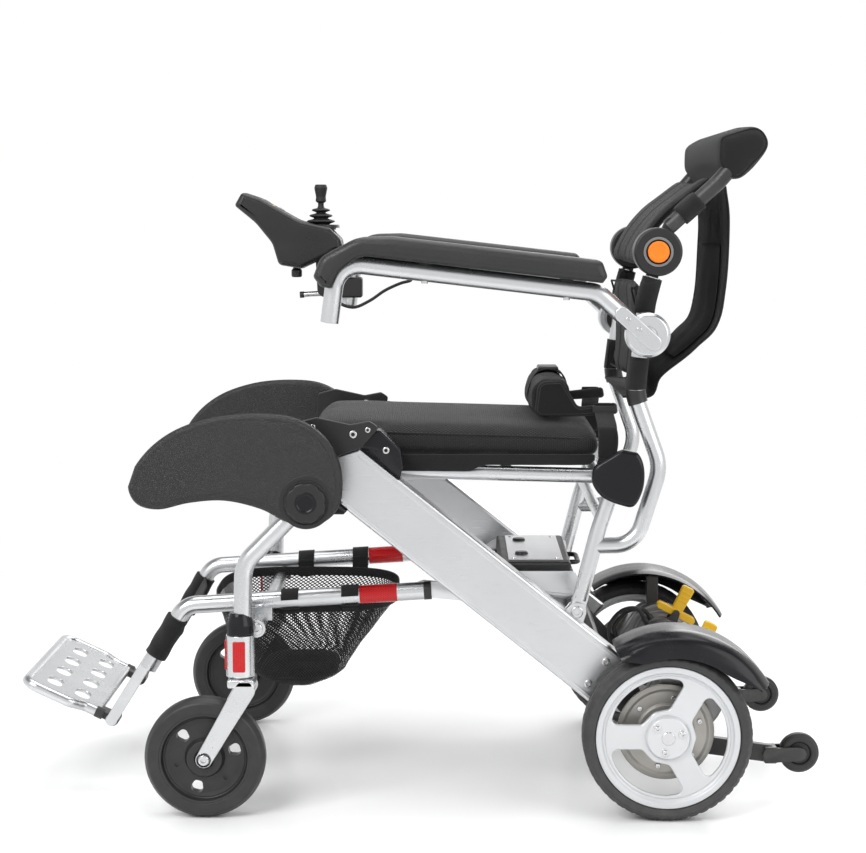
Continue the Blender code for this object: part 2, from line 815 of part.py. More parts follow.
def caster_wheel(side, finishes, roll):
    """A solid tyre on a disc with a ring of round holes and a hub."""
    y = side * CASTER_Y
    half = CASTER_WIDTH / 2
    inner = CASTER_RADIUS - CASTER_TREAD
    hub = turned(
        (
            (CASTER_RADIUS - 0.005, y - half),
            (CASTER_RADIUS, y - half + 0.008),
            (CASTER_RADIUS, y + half - 0.008),
            (CASTER_RADIUS - 0.005, y + half),
            (inner, y + half),
            (inner - 0.004, y + half - 0.009),
            (CASTER_HUB_RADIUS, y + half - 0.012),
            (CASTER_HUB_RADIUS - 0.002, y + half - 0.001),
            (CASTER_PIN_RADIUS + PIVOT_GAP, y + half - 0.001),
            (CASTER_PIN_RADIUS + PIVOT_GAP, y - half + 0.001),
            (CASTER_HUB_RADIUS - 0.002, y - half + 0.001),
            (CASTER_HUB_RADIUS, y - half + 0.012),
            (inner - 0.004, y - half + 0.009),
            (inner, y - half),
        ),
        CASTER_AT,
    )
    hole_at = (CASTER_AT[0] + (CASTER_HUB_RADIUS + inner) / 2 - 0.001, CASTER_AT[1])
    hole = prism(circle(hole_at, CASTER_HOLE_RADIUS, 8), y - half, y + half)
    wheel = fuse([hub], spun(hole, CASTER_AT, CASTER_HOLES))
    node("caster_wheel_" + side_name(side), wheel, finishes["caster"], roll)


# ---------------------------------------------------------------- main frame
def beam_point(run, depth):
    """A point run along the beam from its upper front corner and depth below its upper edge."""
    angle = math.radians(BEAM_ANGLE)
    return (
        BEAM_TOP_AT[0] + run * math.cos(angle) - depth * math.sin(angle),
        BEAM_TOP_AT[1] - run * math.sin(angle) - depth * math.cos(angle),
    )


def beam_outline(grow=0.0):
    """The beam's side view: its front end comes to a point at BEAM_NOSE, and grow widens it all round."""
    corners = [
        (0.0, -grow),
        (BEAM_NOSE[0] - grow, BEAM_NOSE[1]),
        (BEAM_NOSE[0] + (BEAM_DEPTH - BEAM_NOSE[1]) * 0.96 - grow, BEAM_DEPTH + grow),
        (BEAM_LENGTH + grow, BEAM_DEPTH + grow),
        (BEAM_LENGTH + grow, -grow),
    ]
    return [beam_point(run, depth) for run, depth in corners]


def side_beam(side, finishes, frame):
    """The box beam with its outer lip and the two lugs that carry the back post's foot."""
    outer = BEAM_INNER + BEAM_THICK
    lip_top = BEAM_EDGE + 0.001
    lip = [
        beam_point(0.008, lip_top),
        beam_point(BEAM_LENGTH - 0.008, lip_top),
        beam_point(BEAM_LENGTH - 0.008, lip_top + BEAM_LIP_WIDTH),
        beam_point(0.008, lip_top + BEAM_LIP_WIDTH),
    ]
    fork = POST_FOOT_HALF + SIDE_GAP
    relief = pin(POST_PIVOT_AT, CANE_TUBE + 0.0015, CANE_Y - fork, CANE_Y + fork, side)
    parts = [
        fuse([prism(beam_outline(), side * BEAM_INNER, side * outer, BEAM_EDGE, 2)], [relief]),
        prism(lip, side * (outer - 0.010), side * (outer + BEAM_LIP)),
    ]
    angle = math.radians(BEAM_ANGLE)
    run = (POST_PIVOT_AT[0] - BEAM_TOP_AT[0]) * math.cos(angle) - (POST_PIVOT_AT[1] - BEAM_TOP_AT[1]) * math.sin(angle)
    foot = beam_point(run + 0.006, 0.026)
    for low, high in ((-fork - LUG_THICK, -fork), (fork, fork + LUG_THICK)):
        lug = oblong(foot, POST_PIVOT_AT, 0.020, LUG_RADIUS, 6)
        parts.append(prism(lug, side * (CANE_Y + low), side * (CANE_Y + high)))
    reach = fork + LUG_THICK + 0.003
    parts.append(pin(POST_PIVOT_AT, LINK_PIN, CANE_Y - reach + 0.004, CANE_Y + reach - 0.001, side))
    parts.append(pin(POST_PIVOT_AT, 0.0085, CANE_Y + reach - 0.004, CANE_Y + reach, side))
    node("side_beam_" + side_name(side), fuse(parts), finishes["aluminium"], frame)


def beam_end(side, finishes, frame):
    """The cast end of a beam: the leg's pivot eye below its nose and the glossy cover above it."""
    low = BEAM_INNER + 0.002
    high = BEAM_INNER + BEAM_THICK + 0.0025
    casting = (
        (0.071, 0.002, 0.0),
        (0.0615, -0.018, 0.008),
        (0.046, -0.0325, 0.010),
        (0.003, -0.037, 0.008),
        (-0.003, -0.008, 0.010),
        (-0.0265, 0.026, 0.008),
        (-0.036, 0.088, 0.014),
        (-0.030, 0.115, 0.016),
        (0.002, 0.116, 0.016),
        (0.040, 0.086, 0.0),
        (0.042, 0.060, 0.0),
    )
    outline = rounded([(*beam_point(run, depth), radius) for run, depth, radius in casting])
    body = prism(outline, side * low, side * high)
    seat = prism(beam_outline(SEAT_GAP), side * (BEAM_INNER - 0.01), side * (high + 0.01))
    eye = pin(LEG_PIVOT_AT, LINK_PIN + PIVOT_GAP, BEAM_INNER - 0.005, high + 0.005, side)
    node("beam_end_" + side_name(side), fuse([body], [seat, eye]), finishes["gloss"], frame)


# ---------------------------------------------------------------- rear frame and drive units
def rear_frame(finishes, frame):
    """The welded steel frame between the beams: cross beam, gussets, motor brackets and outriggers."""
    ends = BEAM_INNER - SEAT_GAP
    seat_at = beam_point(BEAM_LENGTH - 0.030, BEAM_DEPTH / 2)
    parts = [
        block(
            (seat_at[0] - 0.020, seat_at[0] + 0.020),
            (-ends, ends),
            (seat_at[1] - 0.018, seat_at[1] + 0.018),
            0.003,
        )
    ]
    gusset_in = TRAY_INNER + TRAY_WALL + 0.003
    bracket_out = GEARBOX_INNER - SEAT_GAP
    for side, _ in SIDES:
        gusset = oblong((seat_at[0], seat_at[1] + 0.002), POST_PIVOT_AT, 0.019, LUG_RADIUS)
        parts.append(prism(gusset, side * gusset_in, side * (gusset_in + 0.005)))
        parts.append(pin(POST_PIVOT_AT, LINK_PIN, TRAY_INNER - 0.004, gusset_in + 0.002, side))
        bracket = oblong((seat_at[0] + 0.004, seat_at[1]), DRIVE_MOUNT_AT, 0.017, 0.019)
        parts.append(prism(bracket, side * (bracket_out - 0.006), side * bracket_out))
        arm_low = ANTI_TIP_Y - 0.006
        arm = [
            (DRIVE_MOUNT_AT[0] - 0.004, DRIVE_MOUNT_AT[1] - 0.016, 0.003),
            (0.070, 0.066, 0.020),
            (ANTI_TIP_AT[0] - 0.036, 0.054, 0.003),
            (ANTI_TIP_AT[0] - 0.036, 0.078, 0.003),
            (0.074, 0.090, 0.020),
            (DRIVE_MOUNT_AT[0] - 0.004, DRIVE_MOUNT_AT[1] + 0.008, 0.003),
        ]
        parts.append(prism(rounded(arm), side * arm_low, side * (arm_low + 0.0115)))
        cheek_in = ANTI_TIP_WIDTH / 2 + 0.001
        cheek_out = cheek_in + 0.0035
        parts.append(
            block(
                (ANTI_TIP_AT[0] - 0.050, ANTI_TIP_AT[0] - ANTI_TIP_RADIUS - 0.003),
                sorted((side * (ANTI_TIP_Y - cheek_out), side * (ANTI_TIP_Y + cheek_out))),
                (0.0545, 0.0775),
                0.002,
            )
        )
        for low, high in ((-cheek_out, -cheek_in), (cheek_in, cheek_out)):
            cheek = oblong((ANTI_TIP_AT[0] - 0.042, 0.066), ANTI_TIP_AT, 0.0105, 0.0095)
            parts.append(prism(cheek, side * (ANTI_TIP_Y + low), side * (ANTI_TIP_Y + high)))
        axle = pin(ANTI_TIP_AT, 0.004, ANTI_TIP_Y - cheek_in - 0.002, ANTI_TIP_Y + cheek_in + 0.002, side)
        parts.append(axle)
    node("rear_frame", fuse(parts), finishes["steel_black"], frame)


def anti_tip_wheel(side, finishes, roll):
    """A small solid wheel with a hub step."""
    low = ANTI_TIP_Y - ANTI_TIP_WIDTH / 2
    high = ANTI_TIP_Y + ANTI_TIP_WIDTH / 2
    bore = 0.004 + PIVOT_GAP
    wheel = turned(
        (
            (ANTI_TIP_RADIUS - 0.004, high),
            (0.018, high),
            (0.0165, high - 0.002),
            (bore, high - 0.002),
            (bore, low + 0.002),
            (0.0165, low + 0.002),
            (0.018, low),
            (ANTI_TIP_RADIUS - 0.004, low),
            (ANTI_TIP_RADIUS, low + 0.004),
            (ANTI_TIP_RADIUS, high - 0.004),
        ),
        ANTI_TIP_AT,
        side=side,
    )
    node("anti_tip_wheel_" + side_name(side), wheel, finishes["caster"], roll)


def motor(side, finishes, frame):
    """The gearbox beside the wheel, the motor that lies inboard of it, and the lever's two ears."""
    gearbox = prism(
        oblong(AXLE_AT, MOTOR_AT, 0.045, MOTOR_RADIUS + 0.009, 6),
        side * GEARBOX_INNER,
        side * GEARBOX_OUTER,
        0.004,
    )
    body = turned(
        (
            (0.0, MOTOR_INNER),
            (MOTOR_RADIUS * 0.45, MOTOR_INNER),
            (MOTOR_RADIUS * 0.50, MOTOR_INNER + 0.006),
            (MOTOR_RADIUS - 0.004, MOTOR_INNER + 0.007),
            (MOTOR_RADIUS, MOTOR_INNER + 0.012),
            (MOTOR_RADIUS, MOTOR_INNER + 0.022),
            (MOTOR_RADIUS - 0.0025, MOTOR_INNER + 0.023),
            (MOTOR_RADIUS - 0.0025, GEARBOX_INNER - 0.013),
            (MOTOR_RADIUS + 0.001, GEARBOX_INNER - 0.013),
            (MOTOR_RADIUS + 0.001, GEARBOX_INNER + 0.004),
            (0.0, GEARBOX_INNER + 0.004),
        ),
        MOTOR_AT,
        side=side,
    )
    parts = [gearbox, body]
    shaft_end = WHEEL_Y + WHEEL_WIDTH / 2 - 0.0045 - 0.004 - 0.0035
    parts.append(pin(AXLE_AT, DRIVE_SHAFT_RADIUS, GEARBOX_OUTER - 0.004, shaft_end, side))
    for index in range(MOTOR_BOLTS):
        turn = math.tau * (index + 0.5) / MOTOR_BOLTS
        reach = MOTOR_RADIUS - 0.0085
        at = (MOTOR_AT[0] + reach * math.cos(turn), MOTOR_AT[1] + reach * math.sin(turn))
        parts.append(pin(at, 0.003, MOTOR_INNER + 0.0045, MOTOR_INNER + 0.0100, side))
    for low in (LEVER_Y - LEVER_HALF - SIDE_GAP - 0.003, LEVER_Y + LEVER_HALF + SIDE_GAP):
        inner = along(MOTOR_AT, LEVER_AT, 0.60)
        parts.append(prism(oblong(inner, LEVER_AT, 0.009, 0.0055), side * low, side * (low + 0.003)))
    parts.append(
        pin(LEVER_AT, 0.0025, LEVER_Y - LEVER_HALF - 0.002, LEVER_Y + LEVER_HALF + 0.002, side)
    )
    rest_top = math.sqrt((fender_radius(0.5) - FENDER_WALL - 0.0050) ** 2 - 0.034**2) + AXLE_AT[1]
    parts.append(
        block((0.016, 0.034), sorted((side * 0.203, side * 0.226)), (MOTOR_AT[1], rest_top))
    )
    node("motor_" + side_name(side), fuse(parts), finishes["motor"], frame)


def brake_lever(side, finishes, pivot):
    """The T-shaped release lever: a broad stem on a short cross bar."""
    heading = Vector((LEVER_TIP_AT[0] - LEVER_AT[0], LEVER_TIP_AT[1] - LEVER_AT[1])).normalized()
    across = Vector((heading.y, -heading.x))
    tip = Vector(LEVER_TIP_AT)
    base = Vector(LEVER_AT)
    bar = oblong(base - across * LEVER_BAR, base + across * LEVER_BAR, 0.004, steps=4)
    neck, head = 0.0060, 0.0100
    stem_corners = (
        (base + across * neck, 0.0),
        (tip + across * head - heading * 0.004, 0.004),
        (tip - across * head - heading * 0.004, 0.004),
        (base - across * neck, 0.0),
    )
    stem = rounded([(point.x, point.y, radius) for point, radius in stem_corners])
    low, high = side * (LEVER_Y - LEVER_HALF), side * (LEVER_Y + LEVER_HALF)
    parts = [
        prism(bar, low, high),
        prism(stem, side * (LEVER_Y - 0.006), side * (LEVER_Y + 0.006)),
        pin(LEVER_AT, 0.0058, LEVER_Y - LEVER_HALF, LEVER_Y + LEVER_HALF, side),
    ]
    bore = pin(LEVER_AT, 0.0025 + PIVOT_GAP, LEVER_Y - LEVER_HALF - 0.004, LEVER_Y + LEVER_HALF + 0.004, side)
    node("brake_lever_" + side_name(side), fuse(parts, [bore]), finishes["yellow"], pivot)


def fender_radius(share):
    """The mudguard's outer radius from the axle: it opens out toward the back."""
    return FENDER_RADIUS + FENDER_OPENS * share


def fender(side, finishes, frame):
    """The mudguard: an arched section with an outer skirt, swept over the wheel."""
    steps = 11
    rings = []
    for step in range(steps + 1):
        share = step / steps
        turn = math.radians(FENDER_FRONT_ANGLE + (FENDER_REAR_ANGLE - FENDER_FRONT_ANGLE) * share)
        top = fender_radius(share)
        end = min(1.0, 5.0 * share, 4.0 * (1 - share))
        skirt = top - 0.014 - (FENDER_SKIRT - 0.014) * math.sin(end * math.pi / 2)
        outside = (
            (FENDER_INNER, top - 0.005),
            (FENDER_INNER + 0.014, top - 0.001),
            (FENDER_INNER + 0.040, top),
            (FENDER_OUTER - 0.028, top),
            (FENDER_OUTER - 0.010, top - 0.005),
            (FENDER_OUTER - 0.002, top - 0.013),
            (FENDER_OUTER, skirt),
        )
        inside = (
            (FENDER_OUTER - FENDER_WALL, skirt),
            (FENDER_OUTER - 0.002 - FENDER_WALL, top - 0.0135),
            (FENDER_OUTER - 0.0115, top - 0.0078),
            (FENDER_OUTER - 0.029, top - FENDER_WALL),
            (FENDER_INNER + 0.040, top - FENDER_WALL),
            (FENDER_INNER + 0.015, top - 0.001 - FENDER_WALL),
            (FENDER_INNER, top - 0.005 - FENDER_WALL),
        )
        rings.append(
            [
                Vector((AXLE_AT[0] + far * math.cos(turn), side * y, AXLE_AT[1] + far * math.sin(turn)))
                for y, far in outside + inside
            ]
        )
    node("fender_" + side_name(side), loft(rings), finishes["gloss"], frame)


# ---------------------------------------------------------------- front legs and guards
def front_leg(side, finishes, legs):
    """The bent tube from the caster's stem housing up to the fold pivot, with the rail's bracket."""
    y = side * CASTER_Y
    top = STEM_AT[1] + HOUSING_HEIGHT
    housing = turned(
        (
            (0.0, STEM_AT[1]),
            (HOUSING_RADIUS - 0.002, STEM_AT[1]),
            (HOUSING_RADIUS, STEM_AT[1] + 0.002),
            (HOUSING_RADIUS, top - 0.001),
            (HOUSING_RADIUS - 0.0015, top),
            (HOUSING_RADIUS - 0.0005, top + 0.002),
            (HOUSING_RADIUS - 0.001, top + DOME_HEIGHT * 0.45),
            (HOUSING_RADIUS - 0.004, top + DOME_HEIGHT * 0.85),
            (LEG_TUBE + 0.001, top + DOME_HEIGHT),
            (0.0, top + DOME_HEIGHT),
        ),
        (STEM_AT[0], y),
        axis="Z",
    )
    lower = Vector((STEM_AT[0] + 0.003, y, top + 0.010))
    corner = Vector((LEG_CORNER_AT[0], y, LEG_CORNER_AT[1]))
    upper = Vector((LEG_PIVOT_AT[0], y, LEG_PIVOT_AT[1]))
    hub_in = CASTER_Y - LEG_HUB_HALF
    bracket_in = CASTER_Y - HOUSING_RADIUS + 0.0008
    parts = [
        housing,
        rod(bent([lower, corner, upper], LEG_BEND), LEG_TUBE),
        pin(LEG_PIVOT_AT, LEG_TUBE + 0.003, hub_in, CASTER_Y + LEG_HUB_HALF, side),
        pin(LEG_PIVOT_AT, GUARD_SHAFT, CASTER_Y, GUARD_INNER + GUARD_THICK + 0.0045, side),
        prism(
            oblong((STEM_AT[0], RAIL_PIVOT_AT[1]), RAIL_PIVOT_AT, 0.013, 0.0125),
            side * bracket_in,
            side * (bracket_in + 0.0055),
        ),
        pin(RAIL_PIVOT_AT, LINK_PIN, bracket_in - 0.020, bracket_in + 0.003, side),
        pin(RAIL_PIVOT_AT, 0.0085, bracket_in + 0.004, bracket_in + 0.0095, side),
    ]
    bore = turned(
        (
            (0.0, STEM_AT[1] - 0.004),
            (STEM_RADIUS + PIVOT_GAP, STEM_AT[1] - 0.004),
            (STEM_RADIUS + PIVOT_GAP, STEM_AT[1] + 0.042),
            (0.0, STEM_AT[1] + 0.042),
        ),
        (STEM_AT[0], y),
        axis="Z",
    )
    node("front_leg_" + side_name(side), fuse(parts, [bore]), finishes["silver"], legs)


def leg_arm(side, finishes, legs):
    """The black plate over the fold pivot that carries the seat's front corner."""
    low = BEAM_INNER + BEAM_THICK + 0.004
    high = low + 0.006
    outline = rounded(
        [
            (LEG_PIVOT_AT[0] - 0.022, LEG_PIVOT_AT[1] + 0.004, 0.016),
            (LEG_PIVOT_AT[0] - 0.004, LEG_PIVOT_AT[1] - 0.024, 0.018),
            (LEG_PIVOT_AT[0] + 0.026, LEG_PIVOT_AT[1] + 0.010, 0.014),
            (LEG_PIVOT_AT[0] + 0.040, LEG_PIVOT_AT[1] + 0.056, 0.010),
            (SEAT_FRONT_AT[0] + 0.010, SEAT_FRONT_AT[1] - 0.020, 0.004),
            (SEAT_FRONT_AT[0] + 0.036, SEAT_FRONT_AT[1] + 0.009, 0.006),
            (SEAT_FRONT_AT[0] + 0.022, SEAT_FRONT_AT[1] + 0.018, 0.006),
            (SEAT_FRONT_AT[0] - 0.004, SEAT_FRONT_AT[1] + 0.013, 0.010),
            (SEAT_FRONT_AT[0] - 0.050, SEAT_FRONT_AT[1] + 0.023, 0.010),
            (SEAT_FRONT_AT[0] - 0.078, SEAT_FRONT_AT[1] + 0.016, 0.006),
        ]
    )
    parts = [
        prism(outline, side * low, side * high),
        pin(LEG_PIVOT_AT, 0.014, high - 0.002, CASTER_Y - LEG_HUB_HALF - SEAT_GAP, side),
        pin(LEG_PIVOT_AT, LINK_PIN, BEAM_INNER + 0.003, low + 0.002, side),
        pin(SEAT_FRONT_AT, SEAT_STUB, SEAT_TAB_OUT + 0.0025, low + 0.002, side),
        pin(SEAT_FRONT_AT, 0.0075, high - 0.001, high + 0.002, side),
        pin(
            (SEAT_FRONT_AT[0] + 0.020, SEAT_FRONT_AT[1] + 0.006), 0.0045, high - 0.001, high + 0.0015, side
        ),
    ]
    node("leg_arm_" + side_name(side), fuse(parts), finishes["plastic"], legs)


def guard(side, finishes, pivot):
    """The moulded side guard with its raised boss under the knob."""
    corners = [(LEG_PIVOT_AT[0] + x, LEG_PIVOT_AT[1] + z, radius) for x, z, radius in GUARD_CORNERS]
    low, high = GUARD_INNER, GUARD_INNER + GUARD_THICK
    parts = [
        prism(rounded(corners), side * low, side * high, GUARD_EDGE),
        pin(LEG_PIVOT_AT, GUARD_BOSS_RADIUS, high - 0.004, high + GUARD_BOSS_HEIGHT, side),
    ]
    bore = pin(LEG_PIVOT_AT, GUARD_SHAFT + PIVOT_GAP, low - 0.004, high + 0.006, side)
    node("guard_" + side_name(side), fuse(parts, [bore]), finishes["plastic"], pivot)


def guard_knob(side, finishes, turn_joint):
    """The lobed hand knob on the end of the guard's shaft."""
    low = GUARD_INNER + GUARD_THICK + GUARD_BOSS_HEIGHT + SEAT_GAP
    points = 3 * KNOB_LOBES
    outline = []
    for index in range(points):
        reach = KNOB_RADIUS - (0.0028 if index % 3 == 0 else 0.0)
        turn = math.tau * index / points
        outline.append((LEG_PIVOT_AT[0] + reach * math.cos(turn), LEG_PIVOT_AT[1] + reach * math.sin(turn)))
    parts = [
        prism(outline, side * low, side * (low + KNOB_HEIGHT)),
        pin(LEG_PIVOT_AT, 0.013, low + KNOB_HEIGHT - 0.001, low + KNOB_HEIGHT + 0.0012, side),
    ]
    bore = pin(LEG_PIVOT_AT, GUARD_SHAFT + PIVOT_GAP, low - 0.004, low + 0.0048, side)
    node("guard_knob_" + side_name(side), fuse(parts, [bore]), finishes["plastic"], turn_joint)


# ---------------------------------------------------------------- lower rails, basket and footrest
def rail_path():
    """The lower rail's side-view path from the footrest's end to just past the tray's pivot."""
    reach = Vector(RAIL_TRAY_AT) - Vector(RAIL_BEND_AT)
    end = Vector(RAIL_TRAY_AT) + reach.normalized() * (RAIL_TUBE - 0.001)
    return [RAIL_FOOT_AT, RAIL_BEND_AT, (end.x, end.y)]


def rail_height(x):
    """The height of the rail's centre line over the long straight run."""
    share = (x - RAIL_BEND_AT[0]) / (RAIL_TRAY_AT[0] - RAIL_BEND_AT[0])
    return RAIL_BEND_AT[1] + (RAIL_TRAY_AT[1] - RAIL_BEND_AT[1]) * share


def lower_rails(finishes, rails):
    """Both rails with the cross tube that turns on the legs' pins."""
    bracket_in = CASTER_Y - HOUSING_RADIUS + 0.0008
    reach = bracket_in - SIDE_GAP
    parts = [pin(RAIL_PIVOT_AT, CROSS_TUBE, -reach, reach, 1)]
    cuts = []
    for side, _ in SIDES:
        y = side * RAIL_Y
        parts.append(rod(bent(beside(rail_path(), y), RAIL_BEND), RAIL_TUBE))
        parts.append(
            block(
                (RAIL_PIVOT_AT[0] - 0.015, RAIL_PIVOT_AT[0] + 0.015),
                (y - 0.008, y + 0.008),
                (RAIL_PIVOT_AT[1] - 0.004, rail_height(RAIL_PIVOT_AT[0])),
            )
        )
        cuts.append(pin(RAIL_PIVOT_AT, LINK_PIN + PIVOT_GAP, reach - 0.024, reach + 0.01, side))
        cuts.append(pin(HANGER_BOLT_AT, HANGER_BOLT + SEAT_GAP, RAIL_Y - 0.020, RAIL_Y - 0.001, side))
    node("lower_rails", fuse(parts, cuts), finishes["silver"], rails)


def basket(finishes, rails):
    """The net basket: a thin open bowl with a hem and four loops round the rails."""
    count = 16
    outer, inner = [], []
    for height, front, rear, half in BASKET_LEVELS:
        for ring, wall in ((outer, 0.0), (inner, BASKET_WALL)):
            points = []
            for index in range(count):
                turn = math.tau * (index + 0.5) / count
                sweep_x = math.copysign(abs(math.cos(turn)) ** 0.55, math.cos(turn))
                sweep_y = math.copysign(abs(math.sin(turn)) ** 0.55, math.sin(turn))
                x = (front + rear) / 2 + ((rear - front) / 2 - wall) * sweep_x
                points.append(Vector((x, (half - wall) * sweep_y, height + (wall if height < 0.2 else 0.0))))
            ring.append(points)
    for points, (height, *_) in zip(outer, BASKET_LEVELS):
        for point in points:
            point.z = height
    parts = [loft(outer + inner[::-1])]
    hem_half = BASKET_LEVELS[-1][3]
    for side, _ in SIDES:
        for x in BASKET_LOOPS:
            z = rail_height(x)
            slope = (rail_height(x + 0.01) - z) / 0.01
            half = BASKET_LOOP_WIDTH / 2
            ends = [Vector((x + end, side * RAIL_Y, z + slope * end)) for end in (-half, half)]
            past = [Vector((x + end, side * RAIL_Y, z + slope * end)) for end in (-half - 0.004, half + 0.004)]
            ring = fuse([rod(ends, RAIL_TUBE + 0.0005 + STRAP_WALL)], [rod(past, RAIL_TUBE + 0.0005)])
            tie = block(
                (x - half + 0.001, x + half - 0.001),
                sorted((side * (hem_half - 0.009), side * (RAIL_Y - RAIL_TUBE - 0.0012))),
                (BASKET_LEVELS[-1][0] - 0.016, z + 0.001),
            )
            parts += [ring, tie]
    cuts = [pin(RAIL_PIVOT_AT, CROSS_TUBE + 0.0015, -0.2, 0.2, 1)]
    node("basket", fuse(parts, cuts), finishes["fabric"], rails)


def calf_strap(finishes, rails):
    """The cloth band behind the calves, with a sleeve round each rail."""
    foot, top = RAIL_FOOT_AT, RAIL_BEND_AT
    low, high = along(foot, top, 0.20), along(foot, top, 0.80)
    run = (Vector(high) - Vector(low)).normalized()
    back = Vector((run.y, -run.x))
    half = RAIL_Y - RAIL_TUBE - 0.0010
    stations = 8
    rings = []
    for step in range(stations + 1):
        y = -half + 2 * half * step / stations
        sag = CALF_SAG * (1 - (y / half) ** 2)
        ring = []
        for end, offset in ((low, -0.0015), (high, -0.0015), (high, 0.0015), (low, 0.0015)):
            place = Vector(end) + back * (offset + sag)
            ring.append(Vector((place.x, y, place.y)))
        rings.append(ring)
    parts = [loft(rings)]
    for side, _ in SIDES:
        y = side * RAIL_Y
        past = [along(foot, top, 0.12), along(foot, top, 0.88)]
        sleeve = rod(beside([low, high], y), RAIL_TUBE + 0.0005 + STRAP_WALL)
        parts.append(fuse([sleeve], [rod(beside(past, y), RAIL_TUBE + 0.0005)]))
    node("calf_strap", fuse(parts), finishes["fabric"], rails)


def footrest_hanger(finishes, rails):
    """Two flat bars bolted beside the rails' ends, with the rod that the footplate turns on."""
    bar_out = RAIL_Y - RAIL_TUBE - 0.0006
    bar_in = bar_out - HANGER_BAR_THICK
    parts = [pin(FOOT_HINGE_AT, FOOT_ROD, -bar_out + 0.001, bar_out - 0.001, 1)]
    for side, _ in SIDES:
        bar = oblong(HANGER_BOLT_AT, FOOT_HINGE_AT, HANGER_BAR_WIDTH / 2)
        parts.append(prism(bar, side * bar_in, side * bar_out))
        parts.append(pin(HANGER_BOLT_AT, HANGER_BOLT, bar_out - 0.002, RAIL_Y - 0.0015, side))
        parts.append(pin(HANGER_BOLT_AT, 0.0055, bar_in - 0.003, bar_in + 0.001, side))
        parts.append(pin(FOOT_HINGE_AT, 0.0085, bar_in - 0.002, bar_in + 0.001, side))
    node("footrest_hanger", fuse(parts), finishes["silver"], rails)


def footplate(finishes, hinge):
    """A tube frame round a slotted plate, on two knuckles; it lies flat first and is then pitched up."""
    x0, z0 = FOOT_HINGE_AT
    rear, front = x0 - 0.016, x0 - FOOT_LENGTH + FOOT_FRAME_TUBE
    half = FOOT_HALF_WIDTH - FOOT_FRAME_TUBE
    loop = [
        (rear, -half, z0),
        (front, -half, z0),
        (front, half, z0),
        (rear, half, z0),
    ]
    parts = [
        rod(bent([Vector(point) for point in loop], 0.022), FOOT_FRAME_TUBE),
        rod([Vector((rear - 0.008, -half, z0)), Vector((rear - 0.008, half, z0))], FOOT_FRAME_TUBE * 0.8),
        block(
            (front + 0.002, rear - 0.006),
            (-half + 0.001, half - 0.001),
            (z0 - 0.001, z0 - 0.001 + FOOT_PLATE_THICK),
        ),
    ]
    cuts = []
    bar_in = RAIL_Y - RAIL_TUBE - 0.0006 - HANGER_BAR_THICK
    for side, _ in SIDES:
        low, high = bar_in - 0.0035 - FOOT_KNUCKLE, bar_in - 0.0035
        knuckle = pin(FOOT_HINGE_AT, FOOT_ROD + 0.004, low, high, side)
        web = block(
            (rear - 0.012, x0 - 0.004),
            sorted((side * low, side * high)),
            (z0 - 0.005, z0 + 0.005),
        )
        parts += [knuckle, web]
    cuts.append(pin(FOOT_HINGE_AT, FOOT_ROD + PIVOT_GAP, -0.15, 0.15, 1))
    slots_x, slots_y = FOOT_SLOTS
    for row in range(slots_x):
        for column in range(slots_y):
            x = front + 0.012 + (rear - front - 0.030) * (row + 0.5) / slots_x
            y = (column - (slots_y - 1) / 2) * (2 * half - 0.040) / slots_y
            reach = (2 * half - 0.040) / slots_y / 2 - 0.014
            cuts.append(
                block((x - FOOT_SLOT / 2, x + FOOT_SLOT / 2), (y - reach, y + reach), (z0 - 0.01, z0 + 0.01))
            )
    solid = fuse(parts, cuts)
    middle = Matrix.Translation((x0, 0.0, z0))
    pitch = Matrix.Rotation(math.radians(FOOT_PITCH), 4, "Y")
    solid.data.transform(middle @ pitch @ middle.inverted())
    node("footplate", solid, finishes["silver"], hinge)


# ---------------------------------------------------------------- battery
def battery_tray(finishes, tray):
    """Two side links with a floor between them for the battery."""
    floor_top = BATTERY_AT[1] - SEAT_GAP
    rear = BATTERY_AT[0] + BATTERY_LENGTH + 0.004
    parts = [
        block(
            (BATTERY_AT[0] - 0.006, rear),
            (-TRAY_INNER - 0.002, TRAY_INNER + 0.002),
            (floor_top - 0.004, floor_top),
        ),
        block(
            (BATTERY_AT[0] - 0.006, BATTERY_AT[0] - SIDE_GAP),
            (-TRAY_INNER - 0.002, TRAY_INNER + 0.002),
            (floor_top - 0.004, floor_top + 0.020),
        ),
    ]
    cuts = []
    for side, _ in SIDES:
        link = oblong(RAIL_TRAY_AT, POST_PIVOT_AT, 0.0115, 0.0130)
        parts.append(prism(link, side * TRAY_INNER, side * (TRAY_INNER + TRAY_WALL)))
        cheek = [
            (BATTERY_AT[0] - 0.020, floor_top - 0.006, 0.004),
            (rear - 0.010, floor_top - 0.006, 0.004),
            (rear + 0.004, POST_PIVOT_AT[1] + 0.006, 0.004),
            (rear + 0.002, floor_top + 0.036, 0.008),
            (BATTERY_AT[0] - 0.002, floor_top + 0.036, 0.012),
            (BATTERY_AT[0] - 0.040, floor_top + 0.008, 0.012),
        ]
        parts.append(
            prism(rounded(cheek), side * (TRAY_INNER + 0.001), side * (TRAY_INNER + 0.0045))
        )
        parts.append(
            pin(RAIL_TRAY_AT, LINK_PIN, TRAY_INNER + 0.002, TRAY_INNER + TRAY_WALL + 0.0012, side)
        )
        cuts.append(
            pin(POST_PIVOT_AT, LINK_PIN + PIVOT_GAP, TRAY_INNER - 0.01, TRAY_INNER + TRAY_WALL + 0.01, side)
        )
    node("battery_tray", fuse(parts, cuts), finishes["aluminium"], tray)


